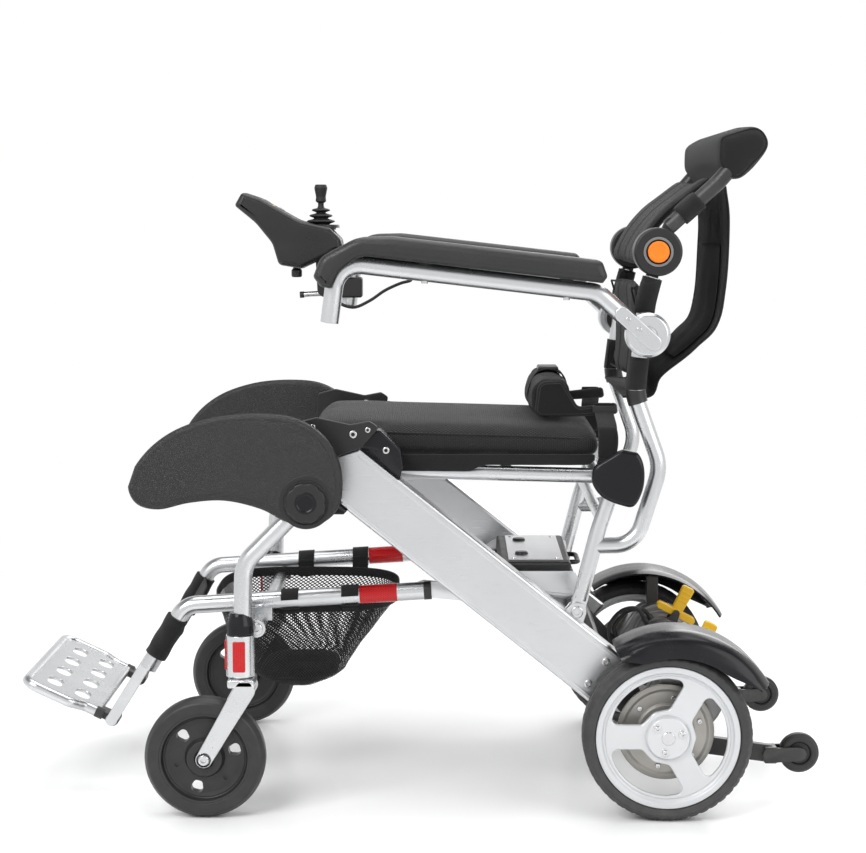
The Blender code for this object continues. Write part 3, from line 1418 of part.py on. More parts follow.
def battery(finishes, slide):
    """The battery pack with its lid and the pull handle at its rear end."""
    x, z = BATTERY_AT
    middle = z + BATTERY_HEIGHT * 0.46
    half = BATTERY_HALF_WIDTH
    parts = [
        block((x, x + BATTERY_LENGTH), (-half, half), (z, middle + 0.001), 0.003),
        block(
            (x + 0.0012, x + BATTERY_LENGTH - 0.0012),
            (-half + 0.0012, half - 0.0012),
            (middle - 0.004, z + BATTERY_HEIGHT),
            0.004,
        ),
    ]
    grip = [
        Vector((x + BATTERY_LENGTH - 0.006, -0.035, z + 0.030)),
        Vector((x + BATTERY_LENGTH + 0.014, -0.035, z + 0.030)),
        Vector((x + BATTERY_LENGTH + 0.014, 0.035, z + 0.030)),
        Vector((x + BATTERY_LENGTH - 0.006, 0.035, z + 0.030)),
    ]
    parts.append(rod(bent(grip, 0.010), 0.0035))
    node("battery", fuse(parts), finishes["battery"], slide)


# ---------------------------------------------------------------- seat
def seat_frame(finishes, seat):
    """Two rails with cross tubes, a front tab to each leg arm and a pin into each back post."""
    parts = []
    start = (SEAT_TAB_FOOT_AT[0] - 0.006, SEAT_TAB_FOOT_AT[1])
    for share in (0.03, 0.55, 0.93):
        at = along(start, SEAT_REAR_AT, share)
        parts.append(pin(at, SEAT_RAIL_TUBE - 0.002, -SEAT_RAIL_Y, SEAT_RAIL_Y, 1))
    tab_in = SEAT_TAB_OUT - SEAT_TAB_THICK
    for side, _ in SIDES:
        y = side * SEAT_RAIL_Y
        parts.append(rod(beside([start, SEAT_REAR_AT], y), SEAT_RAIL_TUBE))
        tab = oblong(SEAT_TAB_FOOT_AT, SEAT_FRONT_AT, 0.0085, 0.0095)
        parts.append(prism(tab, side * tab_in, side * SEAT_TAB_OUT))
        parts.append(
            block(
                (SEAT_TAB_FOOT_AT[0] - 0.006, SEAT_TAB_FOOT_AT[0] + 0.006),
                sorted((y, side * (SEAT_TAB_OUT - 0.0005))),
                (SEAT_TAB_FOOT_AT[1] - 0.006, SEAT_TAB_FOOT_AT[1] + 0.006),
            )
        )
        parts.append(pin(SEAT_REAR_AT, 0.0130, SEAT_RAIL_Y - 0.011, SEAT_RAIL_Y + 0.013, side))
        parts.append(pin(SEAT_REAR_AT, LINK_PIN, SEAT_RAIL_Y, CANE_Y + 0.009, side))
    node("seat_frame", fuse(parts), finishes["silver"], seat)


def seat_cushion(finishes, seat):
    """The seat pad: crowned across, drawn in at its sides, with a skirt over the rails."""
    count = 24
    rings = []
    for x, bottom, top, shrink in SEAT_STATIONS:
        half = SEAT_HALF_WIDTH - shrink
        middle = (top + bottom) / 2
        rise = (top - bottom) / 2
        ring = []
        for index in range(count):
            turn = math.tau * (index + 0.5) / count
            across = math.copysign(abs(math.cos(turn)) ** 0.30, math.cos(turn))
            upward = math.copysign(abs(math.sin(turn)) ** 0.50, math.sin(turn))
            y = half * across
            z = middle + rise * upward
            if upward > 0:
                z += SEAT_CROWN * (1 - across**2) * min(1.0, (top - bottom) / 0.03)
            pinch = 0.0025 * (1 - abs(upward)) ** 2
            ring.append(Vector((x, y - math.copysign(pinch, y), z)))
        rings.append(ring)
    inside = SEAT_RAIL_Y + SEAT_RAIL_TUBE + 0.0010
    under = SEAT_RAIL_Z + SEAT_RAIL_TUBE + 0.0035
    cut = block((SEAT_FRONT_X - 0.01, 0.0), (-inside, inside), (0.40, under))
    node("seat_cushion", fuse([loft(rings)], [cut]), finishes["cloth"], seat, 60)


def lap_belt(finishes, seat):
    """The lap belt folded up on the rear edge of the seat, with its flat tail."""
    rings = []
    stations = 10
    for step in range(stations + 1):
        share = step / stations
        y = -BELT_HALF_WIDTH + 2 * BELT_HALF_WIDTH * share
        swell = 0.70 + 0.30 * math.sin(math.pi * share) + 0.05 * math.cos(5 * math.pi * share)
        ring = []
        for x, z in BELT_SECTION:
            ring.append(Vector((BELT_AT[0] + x * swell, y, BELT_AT[1] + z * swell)))
        rings.append(ring)
    tail = block(
        (BELT_AT[0] + 0.010, BELT_AT[0] + 0.070),
        (-BELT_HALF_WIDTH * 0.8, -BELT_HALF_WIDTH * 0.8 + 0.042),
        (BELT_AT[1] + 0.002, BELT_AT[1] + 0.010),
    )
    node("lap_belt", fuse([loft(rings), tail]), finishes["fabric"], seat, 60)


# ---------------------------------------------------------------- back
def cane_path():
    """The side-view path of a rear cane: out from the post, round its heel and up to the hinge disc."""
    return bent(beside(CANE_CORNERS, 0.0), CANE_BEND)


def part_of(path, low, high):
    """The part of an upward path between two heights."""
    points = []
    for start, end in zip(path, path[1:]):
        if end.z <= start.z:
            continue
        first = max(0.0, (low - start.z) / (end.z - start.z))
        last = min(1.0, (high - start.z) / (end.z - start.z))
        if first < last:
            if not points:
                points.append(start.lerp(end, first))
            points.append(start.lerp(end, last))
    return points


def shifted(path, y):
    return [Vector((point.x, y, point.z)) for point in path]


def back_posts(finishes, posts):
    """The posts with their rear canes, the cross tube, the arm bosses and the lower hinge halves."""
    canes = cane_path()
    parts = [pin(POST_CROSS_AT, POST_CROSS_TUBE, -CANE_Y, CANE_Y, 1)]
    cuts = []
    foot_reach = Vector((SEAT_REAR_AT[0] - POST_PIVOT_AT[0], SEAT_REAR_AT[1] - POST_PIVOT_AT[1])).normalized()
    base = Vector(POST_PIVOT_AT) + foot_reach * (LUG_RADIUS + 0.0035)
    arm_boss_out = ARM_Y - 0.0155
    for side, _ in SIDES:
        y = side * CANE_Y
        path = [tuple(base), POST_KNEE_AT, SEAT_REAR_AT]
        parts.append(rod(bent(beside(path, y), 0.20), CANE_TUBE))
        foot = oblong(POST_PIVOT_AT, tuple(base + foot_reach * 0.010), CANE_TUBE, CANE_TUBE - 0.0008)
        parts.append(prism(foot, side * (CANE_Y - POST_FOOT_HALF), side * (CANE_Y + POST_FOOT_HALF)))
        parts.append(rod(shifted(canes, y), CANE_TUBE))
        eye_half = CANE_TUBE + 0.0003
        parts.append(pin(SEAT_REAR_AT, CANE_TUBE + 0.003, CANE_Y - eye_half, CANE_Y + eye_half, side))
        cuts.append(pin(SEAT_REAR_AT, LINK_PIN + PIVOT_GAP, CANE_Y - 0.02, CANE_Y + eye_half + 0.004, side))
        cuts.append(
            pin(POST_PIVOT_AT, LINK_PIN + PIVOT_GAP, CANE_Y - 0.02, CANE_Y + 0.02, side)
        )
        collar = part_of(canes, 0.563, 0.581)
        parts.append(rod(shifted(collar, y), CANE_TUBE + 0.0028))
        parts.append(pin(ARM_PIVOT_AT, 0.021, CANE_Y - 0.003, arm_boss_out, side))
        parts.append(pin(ARM_PIVOT_AT, LINK_PIN, arm_boss_out - 0.002, ARM_Y + 0.009, side))
        disc_in, disc_mid = BACK_DISC_INNER, CANE_Y - SEAT_GAP / 2
        parts.append(disc(side, disc_in, disc_mid))
        neck = prism(
            oblong((canes[-1].x - 0.004, canes[-1].z - 0.018), BACK_HINGE_AT, 0.0085),
            side * (CANE_Y - CANE_TUBE + 0.001),
            side * (disc_mid - 0.0002),
        )
        parts.append(neck)
        parts.append(pin(BACK_HINGE_AT, BUTTON_SHAFT, disc_mid - 0.002, CANE_Y + BACK_PIN_REACH, side))
    node("back_posts", fuse(parts, cuts), finishes["silver"], posts)


def disc(side, low, high):
    """One half of the back's hinge disc, with its outer rim eased on the outer half."""
    ease = 0.003
    return turned(
        (
            (0.0, low),
            (BACK_DISC_RADIUS - (ease if low < CANE_Y - 0.01 else 0.0), low),
            (BACK_DISC_RADIUS, low + (ease if low < CANE_Y - 0.01 else 0.0)),
            (BACK_DISC_RADIUS, high - (ease if high > CANE_Y + 0.01 else 0.0)),
            (BACK_DISC_RADIUS - (ease if high > CANE_Y + 0.01 else 0.0), high),
            (0.0, high),
        ),
        BACK_HINGE_AT,
        side=side,
    )


def upper_path():
    """The upper canes' route in space: up one side, across inside the head pad and down the other."""
    near = beside([UPPER_KNEE_AT, UPPER_NECK_AT, HEAD_BAR_AT], -CANE_Y)
    far = [Vector((point.x, -point.y, point.z)) for point in near[::-1]]
    return near + far


def upper_back(finishes, hinge):
    """The bent upper tube with the outer hinge halves."""
    parts = [rod(bent(upper_path(), 0.028), CANE_TUBE)]
    cuts = []
    disc_mid = CANE_Y + SEAT_GAP / 2
    disc_out = BACK_DISC_INNER + BACK_DISC_WIDTH
    start = Vector(UPPER_KNEE_AT)
    toward = (start - Vector(BACK_HINGE_AT)).normalized()
    for side, _ in SIDES:
        parts.append(disc(side, disc_mid, disc_out))
        neck = oblong(tuple(start + toward * 0.006), BACK_HINGE_AT, 0.0085)
        parts.append(prism(neck, side * (disc_mid + 0.0002), side * (CANE_Y + CANE_TUBE - 0.001)))
        cuts.append(
            pin(BACK_HINGE_AT, BUTTON_SHAFT + PIVOT_GAP, CANE_Y - 0.004, CANE_Y + BACK_PIN_REACH + 0.004, side)
        )
        cuts.append(
            pin(BACK_HINGE_AT, BUTTON_RADIUS + 0.0012 + PIVOT_GAP, BUTTON_SEAT, disc_out + 0.004, side)
        )
    node("upper_back", fuse(parts, cuts), finishes["plastic"], hinge)


def release_button(side, finishes, slide):
    """The round button that stands in the hinge disc's recess."""
    low = BUTTON_SEAT + BUTTON_TRAVEL + 0.0010
    high = BACK_DISC_INNER + BACK_DISC_WIDTH + BUTTON_PROUD
    button = turned(
        (
            (0.0, low),
            (BUTTON_RADIUS, low),
            (BUTTON_RADIUS, high - 0.002),
            (BUTTON_RADIUS - 0.002, high - 0.0004),
            (BUTTON_RADIUS - 0.006, high),
            (0.0, high),
        ),
        BACK_HINGE_AT,
        side=side,
    )
    node("release_button_" + side_name(side), button, finishes["orange"], slide)


def sheet(front, thick, half, sag, stations=8, edge=0.35):
    """A padded cloth panel: front is its side-view line, and sag draws the middle back."""
    line = [Vector((x, z)) for x, z in front]
    back = []
    for index, place in enumerate(line):
        before, after = line[max(index - 1, 0)], line[min(index + 1, len(line) - 1)]
        run = (after - before).normalized()
        back.append(Vector((run.y, -run.x)))
    rings = []
    for step in range(stations + 1):
        share = -1 + 2 * step / stations
        share = math.copysign(abs(share) ** 0.75, share)
        drop = sag * (1 - share**2)
        full = thick * (edge + (1 - edge) * (1 - share**6))
        ring = [place + way * (drop + thick - full) for place, way in zip(line, back)]
        ring += [place + way * (drop + thick) for place, way in zip(line[::-1], back[::-1])]
        rings.append([Vector((place.x, share * half, place.y)) for place in ring])
    return loft(rings)


def sleeve_on(path, radius, y):
    """A cloth sleeve round a tube: the bore keeps its distance from the tube."""
    route = shifted(path, y)
    ahead = (route[-1] - route[-2]).normalized() * 0.004
    behind = (route[0] - route[1]).normalized() * 0.004
    past = [route[0] + behind, *route[1:-1], route[-1] + ahead]
    return fuse([rod(route, radius + CLOTH_GAP + STRAP_WALL)], [rod(past, radius + CLOTH_GAP)])


def sling_lower(finishes, posts):
    """The lower back panel, hung from the canes by two sleeves a side."""
    panel = sheet(LOWER_PANEL_LINE, SLING_THICK, SLING_HALF_WIDTH, SLING_SAG)
    parts = [panel]
    canes = cane_path()
    tie_in = SLING_HALF_WIDTH - 0.009
    tie_out = CANE_Y - CANE_TUBE - 0.0006
    for side, _ in SIDES:
        for low, high in LOWER_SLEEVES:
            path = part_of(canes, low, high)
            parts.append(sleeve_on(path, CANE_TUBE, side * CANE_Y))
            first, last = path[0], path[-1]
            tie = [
                (first.x - 0.021, low + 0.001),
                (first.x + 0.001, low + 0.001),
                (last.x + 0.001, high - 0.001),
                (last.x - 0.021, high - 0.001),
            ]
            parts.append(prism(tie, side * tie_in, side * tie_out))
    node("back_sling_lower", fuse(parts), finishes["cloth"], posts, 60)


def sling_upper(finishes, hinge):
    """The upper back panel, hung from the upper canes by a sleeve a side."""
    parts = [sheet(UPPER_PANEL_LINE, UPPER_PANEL_THICK, SLING_HALF_WIDTH, SLING_SAG * 0.6)]
    start = Vector(UPPER_KNEE_AT)
    neck = Vector(UPPER_NECK_AT)
    low = start.lerp(neck, UPPER_SLEEVE[0])
    high = start.lerp(neck, UPPER_SLEEVE[1])
    run = (neck - start).normalized()
    front = Vector((-run.y, run.x))
    knee = [Vector((low.x, 0.0, low.y)), Vector((high.x, 0.0, high.y))]
    tie_in = SLING_HALF_WIDTH - 0.012
    tie_out = CANE_Y - CANE_TUBE - 0.0006
    for side, _ in SIDES:
        parts.append(sleeve_on(knee, CANE_TUBE, side * CANE_Y))
        tie = [
            low + run * 0.001,
            high - run * 0.001,
            high - run * 0.001 + front * UPPER_TIE,
            low + run * 0.001 + front * UPPER_TIE,
        ]
        parts.append(prism([(place.x, place.y) for place in tie], side * tie_in, side * tie_out))
    node("back_sling_upper", fuse(parts), finishes["cloth"], hinge, 60)


def rear_pouch(finishes, posts):
    """The cloth that hangs behind the back, from under the head pad round to the lower panel."""
    outline = rounded(POUCH_CORNERS)
    half = POUCH_HALF_WIDTH
    rings = []
    centre = Vector((sum(x for x, _ in outline), sum(z for _, z in outline))) / len(outline)
    for share in (-1.0, -0.96, 0.0, 0.96, 1.0):
        shrink = 0.0035 if abs(share) == 1.0 else 0.0
        belly = 0.004 * (1 - share**2)
        ring = []
        for index, (x, z) in enumerate(outline):
            before, after = Vector(outline[index - 1]), Vector(outline[(index + 1) % len(outline)])
            run = (after - before).normalized()
            inward = Vector((-run.y, run.x))
            if inward.dot(centre - Vector((x, z))) < 0 and index < len(outline) // 2:
                inward = -inward
            place = Vector((x, z)) + inward * shrink
            ring.append(Vector((place.x + belly, share * half, place.y)))
        rings.append(ring)
    node("rear_pouch", loft(rings), finishes["fabric"], posts, 60)


def head_pad(finishes, hinge):
    """The padded roll over the top bar, with rounded ends and a channel for the bar."""
    outline = rounded(HEAD_CORNERS)
    centre = Vector((sum(x for x, _ in outline), sum(z for _, z in outline))) / len(outline)
    rings = []
    for share, size in ((-1.0, 0.80), (-0.95, 1.0), (0.95, 1.0), (1.0, 0.80)):
        ring = []
        for x, z in outline:
            place = centre + (Vector((x, z)) - centre) * size
            ring.append(Vector((place.x, share * HEAD_HALF_WIDTH, place.y)))
        rings.append(ring)
    channel = rod(bent(upper_path(), 0.028), CANE_TUBE + 0.0006)
    node("head_pad", fuse([loft(rings)], [channel]), finishes["vinyl"], hinge, 60)


def rear_cap(side, finishes, posts):
    """The rounded cover over the pivot of seat and post."""
    low = CANE_Y + CANE_TUBE + 0.0006
    corners = [(SEAT_REAR_AT[0] + x, SEAT_REAR_AT[1] + z, radius) for x, z, radius in CAP_CORNERS]
    cap = prism(rounded(corners), side * low, side * (low + CAP_THICK), 0.003)
    node("rear_cap_" + side_name(side), cap, finishes["plastic"], posts)


# ---------------------------------------------------------------- arms
def arm_route():
    return bent(beside(ARM_CORNERS, 0.0), ARM_BEND)


def pad_underside(x):
    """The height of the arm pad's flat underside."""
    (x0, z0), (x1, z1) = PAD_UNDER
    return z0 + (z1 - z0) * (x - x0) / (x1 - x0)


def armrest(side, finishes, pivot):
    """The bent arm tube with its hub and the two studs under the pad."""
    y = side * ARM_Y
    low = ARM_Y - 0.0150
    parts = [
        rod(shifted(arm_route(), y), ARM_TUBE),
        turned(
            (
                (0.0, low),
                (ARM_DISC_RADIUS - 0.002, low),
                (ARM_DISC_RADIUS, low + 0.002),
                (ARM_DISC_RADIUS, ARM_Y + 0.0105),
                (ARM_DISC_RADIUS - 0.004, ARM_Y + 0.0135),
                (0.0, ARM_Y + 0.0135),
            ),
            ARM_PIVOT_AT,
            side=side,
        ),
    ]
    for x in PAD_STUDS:
        floor = along(ARM_CORNERS[1], ARM_CORNERS[2], (x - ARM_CORNERS[1][0]) / (ARM_CORNERS[2][0] - ARM_CORNERS[1][0]))
        stud = [
            (x - 0.009, floor[1] + 0.001),
            (x + 0.009, floor[1] - 0.001),
            (x + 0.009, pad_underside(x + 0.009) - 0.0004),
            (x - 0.009, pad_underside(x - 0.009) - 0.0004),
        ]
        parts.append(prism(stud, side * (ARM_Y - 0.007), side * (ARM_Y + 0.007)))
    cuts = [pin(ARM_PIVOT_AT, LINK_PIN + PIVOT_GAP, low - 0.002, ARM_Y + 0.0095, side)]
    if side == RIGHT:
        grommet, toward = cable_end()
        parts.append(rod([grommet, grommet + toward * 0.016], 0.0045))
    node("armrest_" + side_name(side), fuse(parts, cuts), finishes["silver"], pivot)


def arm_pad(side, finishes, pivot):
    """The armrest's moulded pad: flat beneath, crowned on top, turned down over the tube's front bend."""
    y = side * ARM_Y
    pad = prism(rounded(PAD_CORNERS), y - PAD_HALF_WIDTH, y + PAD_HALF_WIDTH, 0.006)
    route = rod(shifted(arm_route(), y), ARM_TUBE + 0.0005)
    node("arm_pad_" + side_name(side), fuse([pad], [route]), finishes["vinyl"], pivot)


# ---------------------------------------------------------------- controller
def controller(finishes, arm):
    """The control box on its bar and tube clamp, hollowed for the stick and the keys."""
    y = RIGHT * ARM_Y
    half = CONTROLLER_HALF_WIDTH
    body = prism(rounded(CONTROLLER_CORNERS), y - half, y + half, 0.007)
    clamp_low, clamp_high = CLAMP_RANGE
    clamp_x = CLAMP_X
    parts = [
        body,
        prism(
            oblong((clamp_x - 0.044, 0.764), (clamp_x - 0.040, clamp_low + 0.013), 0.0115, 0.0125),
            y - 0.010,
            y + 0.010,
        ),
        block(
            (clamp_x - 0.022, clamp_x + 0.019),
            (y - 0.0185, y + 0.0185),
            (clamp_low, clamp_high),
            0.003,
        ),
        rod(
            [Vector((clamp_x - 0.018, y, clamp_low + 0.008)), Vector((clamp_x - 0.080, y, clamp_low + 0.004))],
            0.0045,
        ),
        turned(
            ((0.0, 0.722), (0.007, 0.722), (0.0085, 0.7245), (0.0085, 0.733), (0.006, 0.736), (0.004, 0.748), (0.0, 0.748)),
            (-0.540, y),
            axis="Z",
        ),
        rod([Vector(CABLE_ROUTE[0]), Vector(CABLE_ROUTE[0]) + Vector((0.0, 0.0, 0.012))], 0.0045),
    ]
    well = turned(
        (
            (0.0, JOYSTICK_AT[1] - STICK_WELL_DEPTH),
            (STICK_WELL_RADIUS, JOYSTICK_AT[1] - STICK_WELL_DEPTH),
            (STICK_WELL_RADIUS, JOYSTICK_AT[1] + 0.03),
            (0.0, JOYSTICK_AT[1] + 0.03),
        ),
        (JOYSTICK_AT[0], y),
        axis="Z",
    )
    tube = rod(shifted(arm_route(), y), ARM_TUBE + 0.0005)
    pockets = [key_block(at, size, -KEY_DEPTH, 0.012, PIVOT_GAP) for at, size in (POWER_KEY, SPEED_KEY)]
    node("controller", fuse(parts, [well, tube, *pockets]), finishes["plastic"], arm)


def key_block(at, size, low, high, grow=0.0, edge=0.0):
    """A key's block on the control box's sloping face, from low to high above that face."""
    start, end = KEY_FACE
    run = (Vector(end) - Vector(start)).normalized()
    up = Vector((-run.y, run.x))
    if up.y < 0:
        up = -up
    middle = Vector(start) + (Vector(end) - Vector(start)) * at
    made = block(
        (-size[0] / 2 - grow, size[0] / 2 + grow),
        (-size[1] / 2 - grow, size[1] / 2 + grow),
        (low, high),
        edge,
    )
    turn = Matrix(
        (
            (run.x, 0.0, up.x, middle.x),
            (0.0, 1.0, 0.0, RIGHT * ARM_Y),
            (run.y, 0.0, up.y, middle.y),
            (0.0, 0.0, 0.0, 1.0),
        )
    )
    made.data.transform(turn)
    return made


def joystick_gimbal(finishes, tilt):
    """The ring that carries the stick: it tips fore and aft in the well."""
    y = RIGHT * ARM_Y
    top = JOYSTICK_AT[1] - 0.002
    ring = turned(
        (
            (GIMBAL_OUTER, top),
            (GIMBAL_OUTER, top - 0.005),
            (GIMBAL_INNER, top - 0.005),
            (GIMBAL_INNER, top),
        ),
        (JOYSTICK_AT[0], y),
        axis="Z",
    )
    node("joystick_gimbal", ring, finishes["steel_black"], tilt)


def joystick(finishes, tilt):
    """The stick: a ball in the ring, the ribbed boot over it, a neck and the waisted knob."""
    y = RIGHT * ARM_Y
    z = JOYSTICK_AT[1]
    profile = [(0.0, z - STICK_BALL)]
    for step in range(1, 4):
        turn = math.pi * step / 8
        profile.append((STICK_BALL * math.sin(turn), z - STICK_BALL * math.cos(turn)))
    for rib in range(STICK_RIBS):
        share = rib / (STICK_RIBS - 1)
        radius = STICK_BALL + 0.0015 - (STICK_BALL - 0.0075) * share
        low = z + 0.002 + rib * STICK_RIB_PITCH
        profile.append((radius, low + STICK_RIB_PITCH * 0.2))
        profile.append((radius - 0.0030, low + STICK_RIB_PITCH * 0.7))
    neck = z + 0.002 + STICK_RIBS * STICK_RIB_PITCH
    top = z + STICK_HEIGHT
    profile += [
        (0.0045, neck),
        (0.0045, neck + 0.004),
        (0.0085, neck + 0.007),
        (0.0078, neck + 0.014),
        (0.0105, top - 0.005),
        (0.0080, top),
        (0.0, top),
    ]
    stick = turned(profile, (JOYSTICK_AT[0], y), axis="Z")
    node("joystick", stick, finishes["rubber"], tilt)


def catmull(points, spacing):
    """A smooth curve through route points, read about every spacing."""
    route = [Vector(point) for point in points]
    route = [route[0] * 2 - route[1], *route, route[-1] * 2 - route[-2]]
    path = []
    for a, b, c, d in zip(route, route[1:], route[2:], route[3:]):
        count = max(1, round((c - b).length / spacing))
        for step in range(count):
            t = step / count
            path.append(
                0.5 * (2 * b + (c - a) * t + (2 * a - 5 * b + 4 * c - d) * t * t + (3 * b - a - 3 * c + d) * t**3)
            )
    path.append(route[-2])
    return path


def cable_end():
    """Where the cable meets the grommet under the right arm tube, and its direction there."""
    toward = Vector((0.30, 0.0, 0.95)).normalized()
    end = Vector(CABLE_ROUTE[-1])
    return end + toward * SEAT_GAP, toward


def controller_cable(finishes, arm):
    """The short cable from the control box to the grommet under the arm tube."""
    start = Vector(CABLE_ROUTE[0]) - Vector((0.0, 0.0, SEAT_GAP))
    end, toward = cable_end()
    route = [start, start - Vector((0.0, 0.0, 0.006)), *CABLE_ROUTE[1:-1], end - toward * 0.006, end - toward * SEAT_GAP]
    path = catmull(route, 0.010)
    curve = bpy.data.curves.new("controller_cable", "CURVE")
    curve.dimensions = "3D"
    curve.bevel_depth = CABLE_RADIUS
    curve.bevel_resolution = 2
    curve.use_fill_caps = True
    spline = curve.splines.new("POLY")
    spline.points.add(len(path) - 1)
    for point, place in zip(spline.points, path):
        point.co = (*(place - Vector(arm["place"])), 1.0)
    cable = bpy.data.objects.new("controller_cable", curve)
    bpy.context.scene.collection.objects.link(cable)
    cable.parent = arm
    curve.materials.append(finishes["rubber"])


# ---------------------------------------------------------------- assembly
def make_finishes():
    return {
        "aluminium": finish("brushed aluminium", (0.74, 0.75, 0.77), 0.30, 1.0),
        "silver": finish("bright anodised tube", (0.80, 0.81, 0.83), 0.22, 1.0),
        "white": finish("silver white wheel paint", (0.78, 0.79, 0.81), 0.35, 0.1),
        "rubber": finish("grey tyre rubber", (0.055, 0.056, 0.060), 0.75),
        "caster": finish("black caster rubber", (0.018, 0.018, 0.020), 0.55),
        "plastic": finish("black moulded plastic", (0.022, 0.022, 0.025), 0.50),
        "gloss": finish("black gloss plastic", (0.010, 0.010, 0.013), 0.12),
        "steel_black": finish("black coated steel", (0.020, 0.020, 0.022), 0.40, 0.3),
        "motor": finish("cast motor housing", (0.34, 0.35, 0.37), 0.45, 0.8),
        "yellow": finish("yellow lever plastic", (0.85, 0.62, 0.06), 0.40),
        "orange": finish("orange button plastic", (0.95, 0.36, 0.03), 0.40),
        "fabric": finish("black webbing and net", (0.015, 0.015, 0.017), 0.85),
        "cloth": finish("black seat cloth", (0.012, 0.012, 0.014), 0.90),
        "vinyl": finish("black padded vinyl", (0.020, 0.020, 0.022), 0.45),
        "battery": finish("grey battery case", (0.16, 0.165, 0.175), 0.50),
    }


def main():
    for leftover in list(bpy.data.objects):
        bpy.data.objects.remove(leftover)
    finishes = make_finishes()
    frame = joint("rear_axle_line", (0.0, 0.0))
    legs = joint("legs_fold", LEG_PIVOT_AT, parent=frame)
    rails = joint("rails_fold", RAIL_PIVOT_AT, parent=legs)
    tray = joint("tray_fold", POST_PIVOT_AT, parent=frame)
    posts = joint("posts_fold", POST_PIVOT_AT, parent=frame)
    seat = joint("seat_fold", SEAT_REAR_AT, parent=posts)
    upper = joint("back_hinge", BACK_HINGE_AT, parent=posts)
    foot = joint("footplate_hinge", FOOT_HINGE_AT, parent=rails)
    rear_frame(finishes, frame)
    for side, name in SIDES:
        side_beam(side, finishes, frame)
        beam_end(side, finishes, frame)
        motor(side, finishes, frame)
        fender(side, finishes, frame)
        rear_wheel(side, finishes, joint("drive_axle_" + name, AXLE_AT, side * WHEEL_Y, frame))
        anti_tip_wheel(side, finishes, joint("anti_tip_axle_" + name, ANTI_TIP_AT, side * ANTI_TIP_Y, frame))
        brake_lever(side, finishes, joint("lever_pivot_" + name, LEVER_AT, side * LEVER_Y, frame))
        front_leg(side, finishes, legs)
        leg_arm(side, finishes, legs)
        swivel = joint("caster_swivel_" + name, STEM_AT, side * CASTER_Y, legs)
        caster_fork(side, finishes, swivel)
        caster_wheel(side, finishes, joint("caster_axle_" + name, CASTER_AT, side * CASTER_Y, swivel))
        guard_pivot = joint("guard_pivot_" + name, LEG_PIVOT_AT, side * GUARD_INNER, legs)
        guard(side, finishes, guard_pivot)
        guard_knob(side, finishes, joint("knob_axis_" + name, LEG_PIVOT_AT, side * GUARD_INNER, guard_pivot))
        rear_cap(side, finishes, posts)
        release_button(side, finishes, joint("button_axis_" + name, BACK_HINGE_AT, side * CANE_Y, upper))
        arm = joint("arm_pivot_" + name, ARM_PIVOT_AT, side * ARM_Y, posts)
        armrest(side, finishes, arm)
        arm_pad(side, finishes, arm)
        if side == RIGHT:
            controller(finishes, arm)
            controller_cable(finishes, arm)
            gimbal = joint("stick_fore_aft", JOYSTICK_AT, side * ARM_Y, arm)
            joystick_gimbal(finishes, gimbal)
            joystick(finishes, joint("stick_sideways", JOYSTICK_AT, side * ARM_Y, gimbal))
            for key, (at, size) in (("power_key", POWER_KEY), ("speed_key", SPEED_KEY)):
                solid = key_block(at, size, -KEY_DEPTH + KEY_TRAVEL + 0.0006, KEY_PROUD, 0.0, 0.0006)
                node(key, solid, finishes["rubber"], arm)
    lower_rails(finishes, rails)
    basket(finishes, rails)
    calf_strap(finishes, rails)
    footrest_hanger(finishes, rails)
    footplate(finishes, foot)
    battery_tray(finishes, tray)
    battery(finishes, tray)
    seat_frame(finishes, seat)
    seat_cushion(finishes, seat)
    lap_belt(finishes, seat)
    back_posts(finishes, posts)
    sling_lower(finishes, posts)
    rear_pouch(finishes, posts)
    upper_back(finishes, upper)
    sling_upper(finishes, upper)
    head_pad(finishes, upper)


if __name__ == "__main__":
    main()
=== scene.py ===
"""Dresses the folding power wheelchair: finer pieces, cloth, finishes, floor, light and camera.

Side-view places are given as (x, z) from the rear axle line; the frame's own x is larger by AXLE_X.
Y is the sitter's left (negative) to right (positive), and z is the height over the floor.
"""

import logging
import math
from dataclasses import dataclass
from enum import Enum

import bpy
from mathutils import Matrix, Vector, noise

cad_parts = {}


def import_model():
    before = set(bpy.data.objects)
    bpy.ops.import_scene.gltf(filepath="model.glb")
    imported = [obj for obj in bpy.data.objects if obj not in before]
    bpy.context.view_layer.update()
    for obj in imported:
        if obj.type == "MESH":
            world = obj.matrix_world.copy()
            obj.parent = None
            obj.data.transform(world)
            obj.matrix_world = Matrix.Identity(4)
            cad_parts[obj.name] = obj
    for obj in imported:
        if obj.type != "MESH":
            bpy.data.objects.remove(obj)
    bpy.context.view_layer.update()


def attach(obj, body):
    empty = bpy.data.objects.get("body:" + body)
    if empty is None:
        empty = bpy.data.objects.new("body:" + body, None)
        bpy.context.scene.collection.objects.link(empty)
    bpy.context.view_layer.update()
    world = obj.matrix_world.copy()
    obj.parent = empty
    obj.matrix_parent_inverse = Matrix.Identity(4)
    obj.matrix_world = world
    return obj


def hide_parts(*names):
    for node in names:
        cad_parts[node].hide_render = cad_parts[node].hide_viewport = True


log = logging.getLogger("wheelchair")

AXLE_X = 0.341
MERGE = 0.00002
ON_AXIS = 1e-6
PLATE_CREASE = 35.0
TUBE_CREASE = 50.0
CLOTH_CREASE = 60.0
PIN_STEPS = 24
STUD_STEPS = 32
BOSS_STEPS = 40
HUB_STEPS = 48
COLLAR_STEPS = 56
DOME_STEPS = 64
DISC_STEPS = 72
WHEEL_STEPS = 96
Place = tuple[float, float]
Corner = tuple[float, float, float]


class Side(Enum):
    """One side of the chair, by the sign of its y."""

    LEFT = -1
    RIGHT = 1

    @property
    def tag(self) -> str:
        """The ending of this side's node and body names."""
        return self.name.lower()


